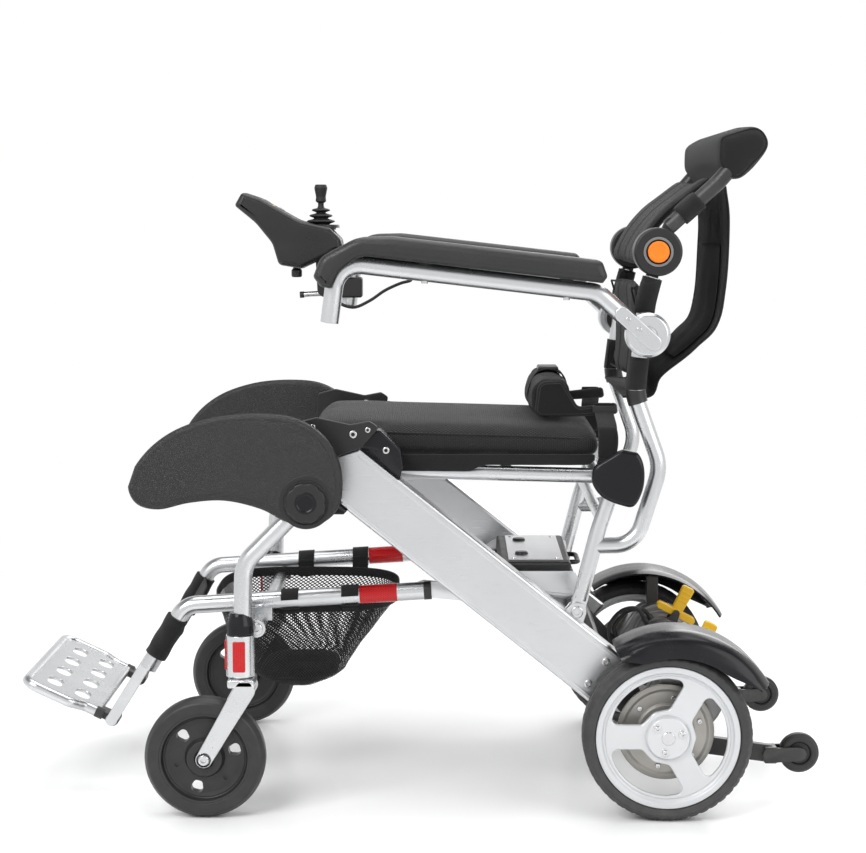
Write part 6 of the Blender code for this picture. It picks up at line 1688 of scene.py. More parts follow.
class SideBeams(Assembly):
    """The two box beams with their end castings."""

    def __init__(self, paint: Paintshop, sizes: BeamSizes = BEAM) -> None:
        super().__init__(paint)
        self.sizes = sizes

    def build(self) -> None:
        for side in Side:
            present(self.beam(side), "main_frame", None, ("side_beam_" + side.tag,))
            present(self.end(side), "main_frame", None, ("beam_end_" + side.tag,))

    def outline(self, grow: float = 0.0, fillet: float = 0.0) -> list[Place]:
        """The beam's side view, drawn in or let out all round."""
        size = self.sizes
        corners = [(0.0, -grow), (size.nose[0] - grow, size.nose[1])]
        corners.append((size.nose[0] + (size.depth - size.nose[1]) * 0.96 - grow, size.depth + grow))
        corners += [(size.length + grow, size.depth + grow), (size.length + grow, -grow)]
        return Bench.rounded([(*size.point(run, depth), fillet) for run, depth in corners], 12)

    def beam(self, side: Side) -> bpy.types.Object:
        """The beam: an extrusion with a rounded edge, a raised lip along its top and a rolled lower edge."""
        size, sign = self.sizes, side.value
        outer = size.inner + size.thick
        parts = [
            self.coat(
                Bench.plate("beam", self.outline(0.0, 0.002), sign * size.inner, sign * outer, 0.0046),
                Looks.ALUMINIUM,
            )
        ]
        for depth, proud, broad in ((0.0062, size.lip, 0.0050), (size.depth - 0.0095, 0.0007, 0.0034)):
            start = 0.006 if depth < 0.02 else 0.012
            strip = [
                size.point(run, level)
                for run, level in (
                    (start, depth), (size.length - 0.006, depth), (size.length - 0.006, depth + broad),
                    (start, depth + broad),
                )
            ]
            lip = Bench.plate("lip", strip, sign * (outer - 0.004), sign * (outer + proud), 0.0007)
            parts.append(self.coat(lip, Looks.ALUMINIUM))
        turn = math.radians(size.angle)
        run = (
            size.post_pivot[0] - size.top[0]
        ) * math.cos(turn) - (size.post_pivot[1] - size.top[1]) * math.sin(turn)
        foot = size.point(run + 0.006, 0.026)
        fork = size.foot_half + 0.0006
        for low, high in ((-fork - size.lug, -fork), (fork, fork + size.lug)):
            lug = Bench.oblong(foot, size.post_pivot, 0.020, size.lug_radius, 16)
            piece = Bench.plate("lug", lug, sign * (size.cane_y + low), sign * (size.cane_y + high), 0.0008)
            parts.append(self.coat(piece, Looks.ALUMINIUM))
        reach = fork + size.lug + 0.003
        head = Bench.screw(
            "clevis_bolt", size.post_pivot, 0.0085, size.cane_y + reach - 0.004, size.cane_y + reach, sign
        )
        parts.append(self.coat(head, Looks.STEEL))
        parts.append(
            self.coat(
                Bench.pin(
                    "clevis_pin",
                    size.post_pivot,
                    size.link_pin,
                    size.cane_y - reach + 0.004,
                    size.cane_y + reach - 0.002,
                    steps=STUD_STEPS,
                    side=sign,
                ),
                Looks.STEEL,
            )
        )
        for place in (
            size.point(size.length - 0.022, 0.020), size.point(size.length - 0.022, size.depth - 0.020)
        ):
            bolt = Bench.screw("beam_bolt", place, 0.0058, outer - 0.001, outer + 0.0030, sign)
            parts.append(self.coat(bolt, Looks.STEEL))
        return Bench.join("beam_" + side.tag, parts)

    def end(self, side: Side) -> bpy.types.Object:
        """The end casting, cut to the beam with a Boolean so that the beam's nose sits in it."""
        size, sign = self.sizes, side.value
        low, high = size.inner + 0.002, size.inner + size.thick + 0.0025
        casting = (
            (0.071, 0.002, 0.002),
            (0.0615, -0.018, 0.008),
            (0.046, -0.0325, 0.010),
            (0.003, -0.037, 0.008),
            (-0.003, -0.008, 0.010),
            (-0.0265, 0.026, 0.008),
            (-0.036, 0.088, 0.014),
            (-0.030, 0.115, 0.016),
            (0.002, 0.116, 0.016),
            (0.040, 0.086, 0.002),
            (0.042, 0.060, 0.0),
        )
        outline = Bench.rounded([(*size.point(run, depth), fillet) for run, depth, fillet in casting], 10)
        eye = Bench.circle(size.leg_pivot, size.link_pin + 0.0004, 40)
        body = Bench.plate("beam_end", outline, sign * low, sign * high, 0.0030, (eye,))
        seat = Bench.plate(
            "seat", self.outline(0.0003), sign * (size.inner - 0.01), sign * (high + 0.01), 0.0
        )
        Bench.bite(body, seat)
        parts = [self.coat(body, Looks.GLOSS)]
        for run, depth in ((0.030, -0.020), (-0.020, 0.092)):
            bolt = Bench.screw("end_bolt", size.point(run, depth), 0.0050, high - 0.001, high + 0.0026, sign)
            parts.append(self.coat(bolt, Looks.STEEL))
        return Bench.join("end_casting_" + side.tag, parts)


@dataclass(frozen=True)
class DriveSizes:
    """The motors, their release levers and the mudguards, in metres and degrees."""

    axle: Place = (0.0, 0.1155)
    motor: Place = (0.033, 0.160)
    radius: float = 0.040
    inner: float = 0.092
    gearbox_inner: float = 0.186
    gearbox_outer: float = 0.2375
    shaft: float = 0.0085
    shaft_end: float = 0.2805
    lever: Place = (0.055, 0.205)
    tip: Place = (0.0765, 0.2465)
    lever_y: float = 0.140
    lever_half: float = 0.008
    lever_bar: float = 0.024
    fender_inner: float = 0.196
    fender_outer: float = 0.2985
    fender_wall: float = 0.003
    fender_radius: float = 0.1395
    opens: float = 0.0165
    skirt: float = 0.034
    front: float = 121.0
    rear: float = 28.0

    def arch(self, share: float) -> float:
        """The mudguard's outer radius: it opens out toward the back."""
        return self.fender_radius + self.opens * share


class DriveUnits(Assembly):
    """The motors with their gearboxes, the release levers, the mudguards and the frame between them."""

    def __init__(self, paint: Paintshop, sizes: DriveSizes = DriveSizes()) -> None:
        super().__init__(paint)
        self.sizes = sizes

    def build(self) -> None:
        frame = Bench.softened("rear_bridge", "rear_frame", 0.0011)
        present(frame, "main_frame", self.paint.of(Looks.STEEL_BLACK), ("rear_frame",))
        for side in Side:
            present(self.motor(side), "main_frame", None, ("motor_" + side.tag,))
            present(
                self.fender(side), "main_frame", self.paint.of(Looks.GLOSS), ("fender_" + side.tag,)
            )
            present(self.lever(side), "brake_lever_" + side.tag, None, ("brake_lever_" + side.tag,))

    def motor(self, side: Side) -> bpy.types.Object:
        """The gearbox, the finned motor shell with its end cap, the lever's ears and the mudguard's rest."""
        size, sign = self.sizes, side.value
        box = Bench.oblong(size.axle, size.motor, 0.045, size.radius + 0.009, 24)
        gearbox = Bench.plate("gearbox", box, sign * size.gearbox_inner, sign * size.gearbox_outer, 0.0038)
        parts = [self.coat(gearbox, Looks.MOTOR)]
        seam = Bench.plate("seam", Bench.oblong(size.axle, size.motor, 0.0462, size.radius + 0.0102, 24),
                           sign * (size.gearbox_inner + 0.020), sign * (size.gearbox_inner + 0.025), 0.0010)
        parts.append(self.coat(seam, Looks.MOTOR))
        for index in range(6):
            turn = math.tau * (index + 0.4) / 6
            centre = size.axle if math.cos(turn) < 0.2 else size.motor
            reach = 0.0385 if centre is size.axle else size.radius + 0.0030
            at = (centre[0] + reach * math.cos(turn), centre[1] + reach * math.sin(turn))
            bolt = Bench.screw(
                "case_bolt", at, 0.0036, size.gearbox_inner - 0.0026, size.gearbox_inner + 0.001, sign
            )
            parts.append(self.coat(bolt, Looks.STEEL))
        low, far = size.inner, size.gearbox_inner - 0.013
        shell = [
            (0.0, low + 0.008, 0.0),
            (size.radius - 0.0025, low + 0.008, 0.0),
            (size.radius - 0.0025, low + 0.024, 0.0),
        ]
        start = low + 0.028
        while start < far - 0.008:
            shell += [(size.radius - 0.0025, start, 0.0003), (size.radius - 0.0040, start + 0.0012, 0.0003)]
            shell += [
                (size.radius - 0.0040, start + 0.0034, 0.0003), (size.radius - 0.0025, start + 0.0046, 0.0003)
            ]
            start += 0.0105
        shell += [(size.radius - 0.0025, far, 0.0), (size.radius + 0.001, far, 0.001)]
        shell += [
            (size.radius + 0.001, size.gearbox_inner + 0.004, 0.0), (0.0, size.gearbox_inner + 0.004, 0.0)
        ]
        parts.append(self.coat(Bench.turned("shell", shell, size.motor, sign, steps=DOME_STEPS), Looks.MOTOR))
        cap = [(0.0, low, 0.0), (size.radius * 0.45, low, 0.002), (size.radius * 0.50, low + 0.006, 0.002)]
        cap += [
            (size.radius - 0.004, low + 0.007, 0.003),
            (size.radius, low + 0.012, 0.001),
            (size.radius, low + 0.022, 0.001),
        ]
        cap += [(size.radius - 0.003, low + 0.0235, 0.0), (0.0, low + 0.0235, 0.0)]
        parts.append(
            self.coat(Bench.turned("end_cap", cap, size.motor, sign, steps=DOME_STEPS), Looks.MOTOR_BLACK)
        )
        for at in Bench.circle(size.motor, size.radius - 0.0085, 4, 0.5):
            bolt = Bench.turned(
                "cap_screw",
                [(0.0, low + 0.0045), (0.0026, low + 0.0045), (0.0030, low + 0.0100), (0.0, low + 0.0100)],
                at,
                sign,
                steps=20,
            )
            parts.append(self.coat(bolt, Looks.STEEL))
        parts.append(
            self.coat(
                Bench.pin(
                    "shaft",
                    size.axle,
                    size.shaft,
                    size.gearbox_outer - 0.004,
                    size.shaft_end,
                    steps=STUD_STEPS,
                    side=sign,
                ),
                Looks.STEEL,
            )
        )
        near = (
            size.motor[0] + (size.lever[0] - size.motor[0]) * 0.6,
            size.motor[1] + (size.lever[1] - size.motor[1]) * 0.6,
        )
        for inside in (size.lever_y - size.lever_half - 0.0036, size.lever_y + size.lever_half + 0.0006):
            ear = Bench.plate(
                "ear", Bench.oblong(near, size.lever, 0.009, 0.0055), sign * inside, sign * (inside + 0.003),
                0.0006,
            )
            parts.append(self.coat(ear, Looks.MOTOR_BLACK))
        parts.append(
            self.coat(
                Bench.pin(
                    "ear_pin",
                    size.lever,
                    0.0025,
                    size.lever_y - size.lever_half - 0.003,
                    size.lever_y + size.lever_half + 0.003,
                    steps=20,
                    side=sign,
                ),
                Looks.STEEL,
            )
        )
        top = math.sqrt((size.arch(0.5) - size.fender_wall - 0.0050) ** 2 - 0.034**2) + size.axle[1]
        rest = Bench.block("rest", (0.016, 0.034), (sign * 0.203, sign * 0.226), (size.motor[1], top), 0.0012)
        parts.append(self.coat(rest, Looks.STEEL_BLACK))
        parts += self.cables(sign)
        return Bench.join("drive_unit_" + side.tag, parts)

    def cables(self, sign: int) -> list[bpy.types.Object]:
        """The motor's two leads, looped from its shell into the gearbox, with their glands."""
        made = []
        routes = (
            (
                (0.008, 0.130, 0.192), (-0.006, 0.127, 0.213), (-0.030, 0.134, 0.208), (-0.047, 0.152, 0.180),
                (-0.041, 0.178, 0.145), (-0.028, 0.192, 0.122),
            ),
            (
                (0.018, 0.145, 0.194), (0.004, 0.142, 0.209), (-0.020, 0.149, 0.204), (-0.038, 0.164, 0.178),
                (-0.030, 0.182, 0.152), (-0.016, 0.192, 0.136),
            ),
        )
        for route in routes:
            line = [Vector((x + AXLE_X, sign * y, z)) for x, y, z in route]
            made.append(self.coat(Bench.tube("lead", Seat.smooth(line, 6), 0.0032, 4), Looks.SOFT_GRIP))
            gland = [
                line[0] + (line[0] - line[1]).normalized() * 0.004,
                line[0] + (line[1] - line[0]).normalized() * 0.007,
            ]
            made.append(self.coat(Bench.tube("gland", gland, 0.0048, 4), Looks.PLASTIC))
        return made

    def lever(self, side: Side) -> bpy.types.Object:
        """The T-shaped release lever, ribbed across its stem."""
        size, sign = self.sizes, side.value
        base, tip = Vector(size.lever), Vector(size.tip)
        heading = (tip - base).normalized()
        across = Vector((heading.y, -heading.x))
        bar = Bench.oblong(
            tuple(base - across * (size.lever_bar + 0.003)), tuple(base + across * (size.lever_bar + 0.003)),
            0.0055, 0.0055,
        )
        low, high = sign * (size.lever_y - size.lever_half), sign * (size.lever_y + size.lever_half)
        hole = Bench.circle(size.lever, 0.0029, 20)
        parts = [Bench.plate("bar", bar, low, high, 0.0013, (hole,))]
        corners = [(base + across * 0.0085, 0.0), (tip + across * 0.010 - heading * 0.002, 0.004),
                   (tip - across * 0.010 - heading * 0.002, 0.004), (base - across * 0.0085, 0.0)]
        stem = Bench.rounded([(place.x, place.y, fillet) for place, fillet in corners], 12)
        parts.append(
            Bench.plate("stem", stem, sign * (size.lever_y - 0.006), sign * (size.lever_y + 0.006), 0.0018)
        )
        for share in (0.45, 0.60, 0.75):
            middle = base.lerp(tip, share)
            rib = Bench.oblong(
                tuple(middle - across * 0.0065), tuple(middle + across * 0.0065), 0.0010, 0.0010, 6
            )
            parts.append(
                Bench.plate(
                    "rib", rib, sign * (size.lever_y - 0.0068), sign * (size.lever_y + 0.0068), 0.0005
                )
            )
        boss = [(0.0029, size.lever_y - size.lever_half), (0.0056, size.lever_y - size.lever_half),
                (0.0056, size.lever_y + size.lever_half), (0.0029, size.lever_y + size.lever_half)]
        parts.append(Bench.turned("boss", boss, size.lever, sign, steps=STUD_STEPS))
        for piece in parts:
            self.coat(piece, Looks.YELLOW)
        return Bench.join("release_lever_" + side.tag, parts)

    def fender(self, side: Side) -> bpy.types.Object:
        """The mudguard: an arched section with an outer skirt, smoothly swept over the wheel."""
        size, sign = self.sizes, side.value
        rows = []
        steps = 24
        for step in range(steps + 1):
            share = step / steps
            turn = math.radians(size.front + (size.rear - size.front) * share)
            top = size.arch(share)
            end = min(1.0, 5.0 * share, 4.0 * (1 - share))
            skirt = top - 0.014 - (size.skirt - 0.014) * math.sin(end * math.pi / 2)
            outer = size.fender_outer
            section = [
                (size.fender_inner, top - 0.0050, 0.0), (size.fender_inner + 0.014, top - 0.001, 0.012),
                (size.fender_inner + 0.040, top, 0.010), (outer - 0.026, top, 0.014),
                (outer - 0.006, top - 0.008, 0.010), (outer, min(top - 0.0145, skirt + 0.006), 0.0),
                (outer, skirt, 0.0),
            ]
            outside = self.even(section, 0.0, 21)
            inside = self.even(section, size.fender_wall, 21)
            ring = outside + inside[::-1]
            rows.append(
                [
                    Vector(
                        (
                            AXLE_X + size.axle[0] + far * math.cos(turn),
                            sign * y,
                            size.axle[1] + far * math.sin(turn),
                        )
                    )
                    for y, far in ring
                ]
            )
        made = Bench.skin("mudguard_" + side.tag, rows, loop=True, capped=True)
        edges = made.modifiers.new("edges", "BEVEL")
        edges.width = 0.0009
        edges.segments = 2
        edges.limit_method = "ANGLE"
        edges.angle_limit = math.radians(50)
        Bench.apply(made)
        Bench.only(made)
        bpy.ops.object.shade_smooth_by_angle(angle=math.radians(50))
        return made

    @staticmethod
    def even(section: list[Corner], inset: float, count: int) -> list[Place]:
        """A section's rounded line, drawn in by its wall and set out again in evenly spaced points."""
        line = [Vector(point) for point in Bench.eased(section, 10.0)]
        shifted = []
        for index, place in enumerate(line):
            run = (line[min(index + 1, len(line) - 1)] - line[max(index - 1, 0)]).normalized()
            shifted.append(place + Vector((run.y, -run.x)) * inset)
        reach = [0.0]
        for before, after in zip(shifted, shifted[1:]):
            reach.append(reach[-1] + (after - before).length)
        points = []
        for step in range(count):
            want = reach[-1] * step / (count - 1)
            index = max(i for i in range(len(reach) - 1) if reach[i] <= want + 1e-12)
            part = (want - reach[index]) / max(1e-9, reach[index + 1] - reach[index])
            place = shifted[index].lerp(shifted[index + 1], min(1.0, part))
            points.append((place.x, place.y))
        return points


# ------------------------------------------------------------------ front legs and guards
@dataclass(frozen=True)
class LegSizes:
    """The front legs, their pivots and the side guards, in metres."""

    y: float = 0.262
    stem: Place = (-0.581, 0.1945)
    housing: float = 0.0195
    height: float = 0.058
    dome: float = 0.030
    tube: float = 0.0125
    corner: Place = (-0.5755, 0.349)
    bend: float = 0.045
    pivot: Place = (-0.4884, 0.4372)
    hub_half: float = 0.0135
    rail_pivot: Place = (-0.5601, 0.2573)
    seat_front: Place = (-0.4277, 0.5230)
    guard_inner: float = 0.2765
    guard_thick: float = 0.0145
    shaft: float = 0.006
    knob: float = 0.025
    knob_height: float = 0.0065
    lobes: int = 8
    boss: float = 0.036


class FrontLegs(Assembly):
    """The front legs, the arms over their pivots, the side guards and their knobs."""

    GUARD = (
        (-0.2385, 0.0200),
        (-0.2290, 0.0470),
        (-0.2030, 0.0770),
        (-0.1660, 0.1000),
        (-0.1140, 0.1150),
        (-0.0560, 0.1185),
        (-0.0120, 0.1120),
        (0.0240, 0.0890),
        (0.0440, 0.0540),
        (0.0480, 0.0150),
        (0.0380, -0.0150),
        (0.0070, -0.0340),
        (-0.0260, -0.0270),
        (-0.0620, -0.0090),
        (-0.1100, 0.0020),
        (-0.1570, -0.0010),
        (-0.1980, -0.0100),
        (-0.2270, -0.0030),
    )

    def __init__(self, paint: Paintshop, sizes: LegSizes = LegSizes()) -> None:
        super().__init__(paint)
        self.sizes = sizes

    def build(self) -> None:
        for side in Side:
            present(self.leg(side), "front_legs", None, ("front_leg_" + side.tag,))
            present(self.arm(side), "front_legs", None, ("leg_arm_" + side.tag,))
            present(self.guard(side), "side_guard_" + side.tag, None, ("guard_" + side.tag,))
            present(self.knob(side), "guard_knob_" + side.tag, None, ("guard_knob_" + side.tag,))

    def leg(self, side: Side) -> bpy.types.Object:
        """The bent tube on its stem housing, with the reflector, the dome and the rail's bracket."""
        size, sign = self.sizes, side.value
        y = sign * size.y
        base, top = size.stem[1], size.stem[1] + size.height
        housing = [
            (0.0084, base + 0.001, 0.0), (0.0084, base, 0.0), (size.housing - 0.0005, base, 0.0015),
            (size.housing, base + 0.003, 0.002),
        ]
        housing += [(size.housing, top - 0.0005, 0.0008), (size.housing - 0.002, top, 0.0), (0.0, top, 0.0)]
        parts = [
            self.coat(
                Bench.turned("housing", housing, (size.stem[0], y), around=Around.UPRIGHT, steps=DISC_STEPS),
                Looks.SILVER,
            )
        ]
        dome = [
            (0.0, top - 0.0005, 0.0),
            (size.housing - 0.0018, top - 0.0005, 0.0),
            (size.housing - 0.0006, top + 0.002, 0.001),
        ]
        dome += [
            (size.housing - 0.0010, top + size.dome * 0.45, 0.010),
            (size.housing - 0.0045, top + size.dome * 0.88, 0.006),
        ]
        dome += [(size.tube + 0.001, top + size.dome, 0.001), (0.0, top + size.dome, 0.0)]
        rounded = Bench.eased(dome, 8)
        parts.append(
            self.coat(
                Bench.turned("dome", rounded, (size.stem[0], y), around=Around.UPRIGHT, steps=DISC_STEPS),
                Looks.GLOSS,
            )
        )
        lower = (size.stem[0] + 0.003, top + 0.010)
        path = Bench.bent(Bench.beside([lower, size.corner, size.pivot], y), size.bend, 5)
        parts.append(self.coat(Bench.tube("leg_tube", path, size.tube, 7), Looks.SILVER))
        hub = [(0.0, size.y - size.hub_half, 0.0), (size.tube + 0.003, size.y - size.hub_half, 0.001),
               (size.tube + 0.003, size.y + size.hub_half, 0.001), (0.0, size.y + size.hub_half, 0.0)]
        parts.append(self.coat(Bench.turned("hub", hub, size.pivot, sign, steps=COLLAR_STEPS), Looks.SILVER))
        shaft_end = size.guard_inner + size.guard_thick + 0.0045
        parts.append(
            self.coat(
                Bench.pin("shaft", size.pivot, size.shaft, size.y, shaft_end, steps=STUD_STEPS, side=sign),
                Looks.STEEL,
            )
        )
        inside = size.y - size.housing + 0.0008
        bracket = Bench.oblong((size.stem[0], size.rail_pivot[1]), size.rail_pivot, 0.013, 0.0125)
        parts.append(
            self.coat(
                Bench.plate("bracket", bracket, sign * inside, sign * (inside + 0.0055), 0.001), Looks.SILVER
            )
        )
        parts.append(
            self.coat(
                Bench.pin(
                    "rail_pin",
                    size.rail_pivot,
                    0.0055,
                    inside - 0.020,
                    inside + 0.003,
                    steps=STUD_STEPS,
                    side=sign,
                ),
                Looks.STEEL,
            )
        )
        head = Bench.screw("rail_bolt", size.rail_pivot, 0.0085, inside + 0.004, inside + 0.0095, sign)
        parts.append(self.coat(head, Looks.STEEL))
        lens = Bench.block(
            "reflector", (size.stem[0] - 0.0207, size.stem[0] - 0.0165), (y - 0.0075, y + 0.0075),
            (base + 0.010, top - 0.007), 0.0016,
        )
        parts.append(self.coat(lens, Looks.RED))
        side_lens = Bench.plate("side_reflector", Bench.rounded([
            (size.stem[0] - 0.0085, base + 0.009, 0.002), (size.stem[0] + 0.0085, base + 0.009, 0.002),
            (size.stem[0] + 0.0085, top - 0.007, 0.002), (size.stem[0] - 0.0085, top - 0.007, 0.002)]),
            sign * (size.y + size.housing - 0.004), sign * (size.y + size.housing + 0.0012), 0.0008)
        parts.append(self.coat(side_lens, Looks.RED))
        return Bench.join("leg_" + side.tag, parts)

    def arm(self, side: Side) -> bpy.types.Object:
        """The black plate over the fold pivot, with its hub, pins and bolt heads."""
        size, sign = self.sizes, side.value
        low = BEAM.inner + BEAM.thick + 0.004
        high = low + 0.006
        px, pz = size.pivot
        sx, sz = size.seat_front
        corners = [
            (px - 0.022, pz + 0.004, 0.016), (px - 0.004, pz - 0.024, 0.018), (px + 0.026, pz + 0.010, 0.014),
            (px + 0.040, pz + 0.056, 0.010), (sx + 0.010, sz - 0.020, 0.004), (sx + 0.036, sz + 0.009, 0.006),
            (sx + 0.022, sz + 0.018, 0.006), (sx - 0.004, sz + 0.013, 0.010), (sx - 0.050, sz + 0.023, 0.010),
            (sx - 0.078, sz + 0.016, 0.006),
        ]
        parts = [Bench.plate("arm", Bench.rounded(corners, 10), sign * low, sign * high, 0.0014)]
        hub = [
            (0.0, high - 0.002, 0.0), (0.014, high - 0.002, 0.0),
            (0.014, size.y - size.hub_half - 0.0003, 0.0008), (0.0, size.y - size.hub_half - 0.0003, 0.0),
        ]
        parts.append(Bench.turned("hub", hub, size.pivot, sign, steps=HUB_STEPS))
        for piece in parts:
            self.coat(piece, Looks.PLASTIC)
        parts.append(
            self.coat(
                Bench.pin(
                    "pin",
                    size.pivot,
                    BEAM.link_pin,
                    BEAM.inner + 0.003,
                    low + 0.002,
                    steps=STUD_STEPS,
                    side=sign,
                ),
                Looks.STEEL,
            )
        )
        parts.append(
            self.coat(
                Bench.pin("stub", size.seat_front, 0.006, 0.1900, low + 0.002, steps=STUD_STEPS, side=sign),
                Looks.STEEL,
            )
        )
        parts.append(
            self.coat(
                Bench.screw("seat_bolt", size.seat_front, 0.0056, high - 0.001, high + 0.0024, sign),
                Looks.STEEL,
            )
        )
        second = (sx + 0.020, sz + 0.006)
        parts.append(
            self.coat(
                Bench.screw("stop_bolt", second, 0.0040, high - 0.001, high + 0.0018, sign), Looks.STEEL
            )
        )
        third = (sx - 0.055, sz + 0.010)
        parts.append(
            self.coat(
                Bench.screw("cover_bolt", third, 0.0040, high - 0.001, high + 0.0016, sign), Looks.STEEL
            )
        )
        return Bench.join("leg_plate_" + side.tag, parts)

    def guard(self, side: Side) -> bpy.types.Object:
        """The grained side guard with softly rounded edges, its parting line and the boss under the knob."""
        size, sign = self.sizes, side.value
        places = [Vector((size.pivot[0] + x, size.pivot[1] + z)) for x, z in self.GUARD]
        flowing = Seat.smooth([*places, *places[:3]], 6)
        outline = [tuple(place) for place in flowing[6:-12]]
        low, high = size.guard_inner, size.guard_inner + size.guard_thick
        bore = Bench.circle(size.pivot, size.shaft + 0.0004, 32)
        shell = Bench.plate("shell", outline, sign * low, sign * high, 0.0060, (bore,), fine=5)
        parts = [self.coat(shell, Looks.GRAINED)]
        step = Bench.plate(
            "step", self.drawn(outline, 0.0085), sign * (high - 0.002), sign * (high + 0.0006), 0.0005,
            (bore,),
        )
        parts.append(self.coat(step, Looks.GRAINED))
        parting = Bench.plate(
            "parting", self.drawn(outline, -0.0007), sign * (low + 0.0060), sign * (low + 0.0070), 0.0003,
            (bore,),
        )
        parts.append(self.coat(parting, Looks.PLASTIC))
        ring = [
            (size.boss - 0.0060, high - 0.002, 0.0), (size.boss - 0.0060, high + 0.0012, 0.0005),
            (size.boss, high + 0.0012, 0.0009), (size.boss, high - 0.002, 0.0),
        ]
        parts.append(self.coat(Bench.turned("boss", ring, size.pivot, sign, steps=DISC_STEPS), Looks.PLASTIC))
        return Bench.join("side_guard_shell_" + side.tag, parts)

    @staticmethod
    def drawn(outline: list[Place], inset: float) -> list[Place]:
        """The outline drawn in all round, or let out where the inset is negative."""
        made = []
        area = sum(
            outline[i - 1][0] * outline[i][1] - outline[i][0] * outline[i - 1][1] for i in range(len(outline))
        )
        for index, place in enumerate(outline):
            run = (Vector(outline[(index + 1) % len(outline)]) - Vector(outline[index - 1])).normalized()
            inward = Vector((run.y, -run.x)) if area < 0 else Vector((-run.y, run.x))
            spot = Vector(place) + inward * inset
            made.append((spot.x, spot.y))
        return made

    def knob(self, side: Side) -> bpy.types.Object:
        """The lobed hand knob with its dished cap."""
        size, sign = self.sizes, side.value
        low = size.guard_inner + size.guard_thick + 0.0012 + 0.0003
        points = 12 * size.lobes
        outline = []
        for index in range(points):
            turn = math.tau * index / points
            reach = size.knob + 0.0022 - 0.0017 * (0.5 + 0.5 * math.cos(turn * size.lobes)) ** 3
            outline.append((size.pivot[0] + reach * math.cos(turn), size.pivot[1] + reach * math.sin(turn)))
        parts = [
            self.coat(
                Bench.plate("knob", outline, sign * low, sign * (low + size.knob_height), 0.0022),
                Looks.PLASTIC,
            )
        ]
        cap = [
            (0.0, low + 0.004, 0.0),
            (0.0145, low + 0.004, 0.0),
            (0.0145, low + size.knob_height + 0.0010, 0.0007),
        ]
        cap += [
            (0.0120, low + size.knob_height + 0.0012, 0.0005),
            (0.0105, low + size.knob_height + 0.0002, 0.001),
            (0.0, low + size.knob_height, 0.0),
        ]
        parts.append(self.coat(Bench.turned("cap", cap, size.pivot, sign, steps=COLLAR_STEPS), Looks.GLOSS))
        return Bench.join("hand_knob_" + side.tag, parts)


# ------------------------------------------------------------------ lower rails, basket and footrest
@dataclass(frozen=True)
class LowerSizes:
    """The lower rails with what hangs on them, in metres and degrees."""

    rail_y: float = 0.165
    tube: float = 0.0125
    foot: Place = (-0.722, 0.184)
    bend_at: Place = (-0.668, 0.2735)
    bend: float = 0.030
    pivot: Place = (-0.5601, 0.2573)
    tray: Place = (-0.3339, 0.2950)
    cross: float = 0.0095
    reach: float = 0.2427
    hanger_bolt: Place = (-0.7215, 0.1945)
    hinge: Place = (-0.778, 0.104)
    bar_width: float = 0.016
    bar_thick: float = 0.005
    rod: float = 0.006
    half: float = 0.160
    pitch: float = 25.0
    length: float = 0.140
    loop: float = 0.0075
    plate: float = 0.005
    knuckle: float = 0.030
    slot: float = 0.022

    def height(self, x: float) -> float:
        """The height of the rail's middle line over its long straight run."""
        share = (x - self.bend_at[0]) / (self.tray[0] - self.bend_at[0])
        return self.bend_at[1] + (self.tray[1] - self.bend_at[1]) * share


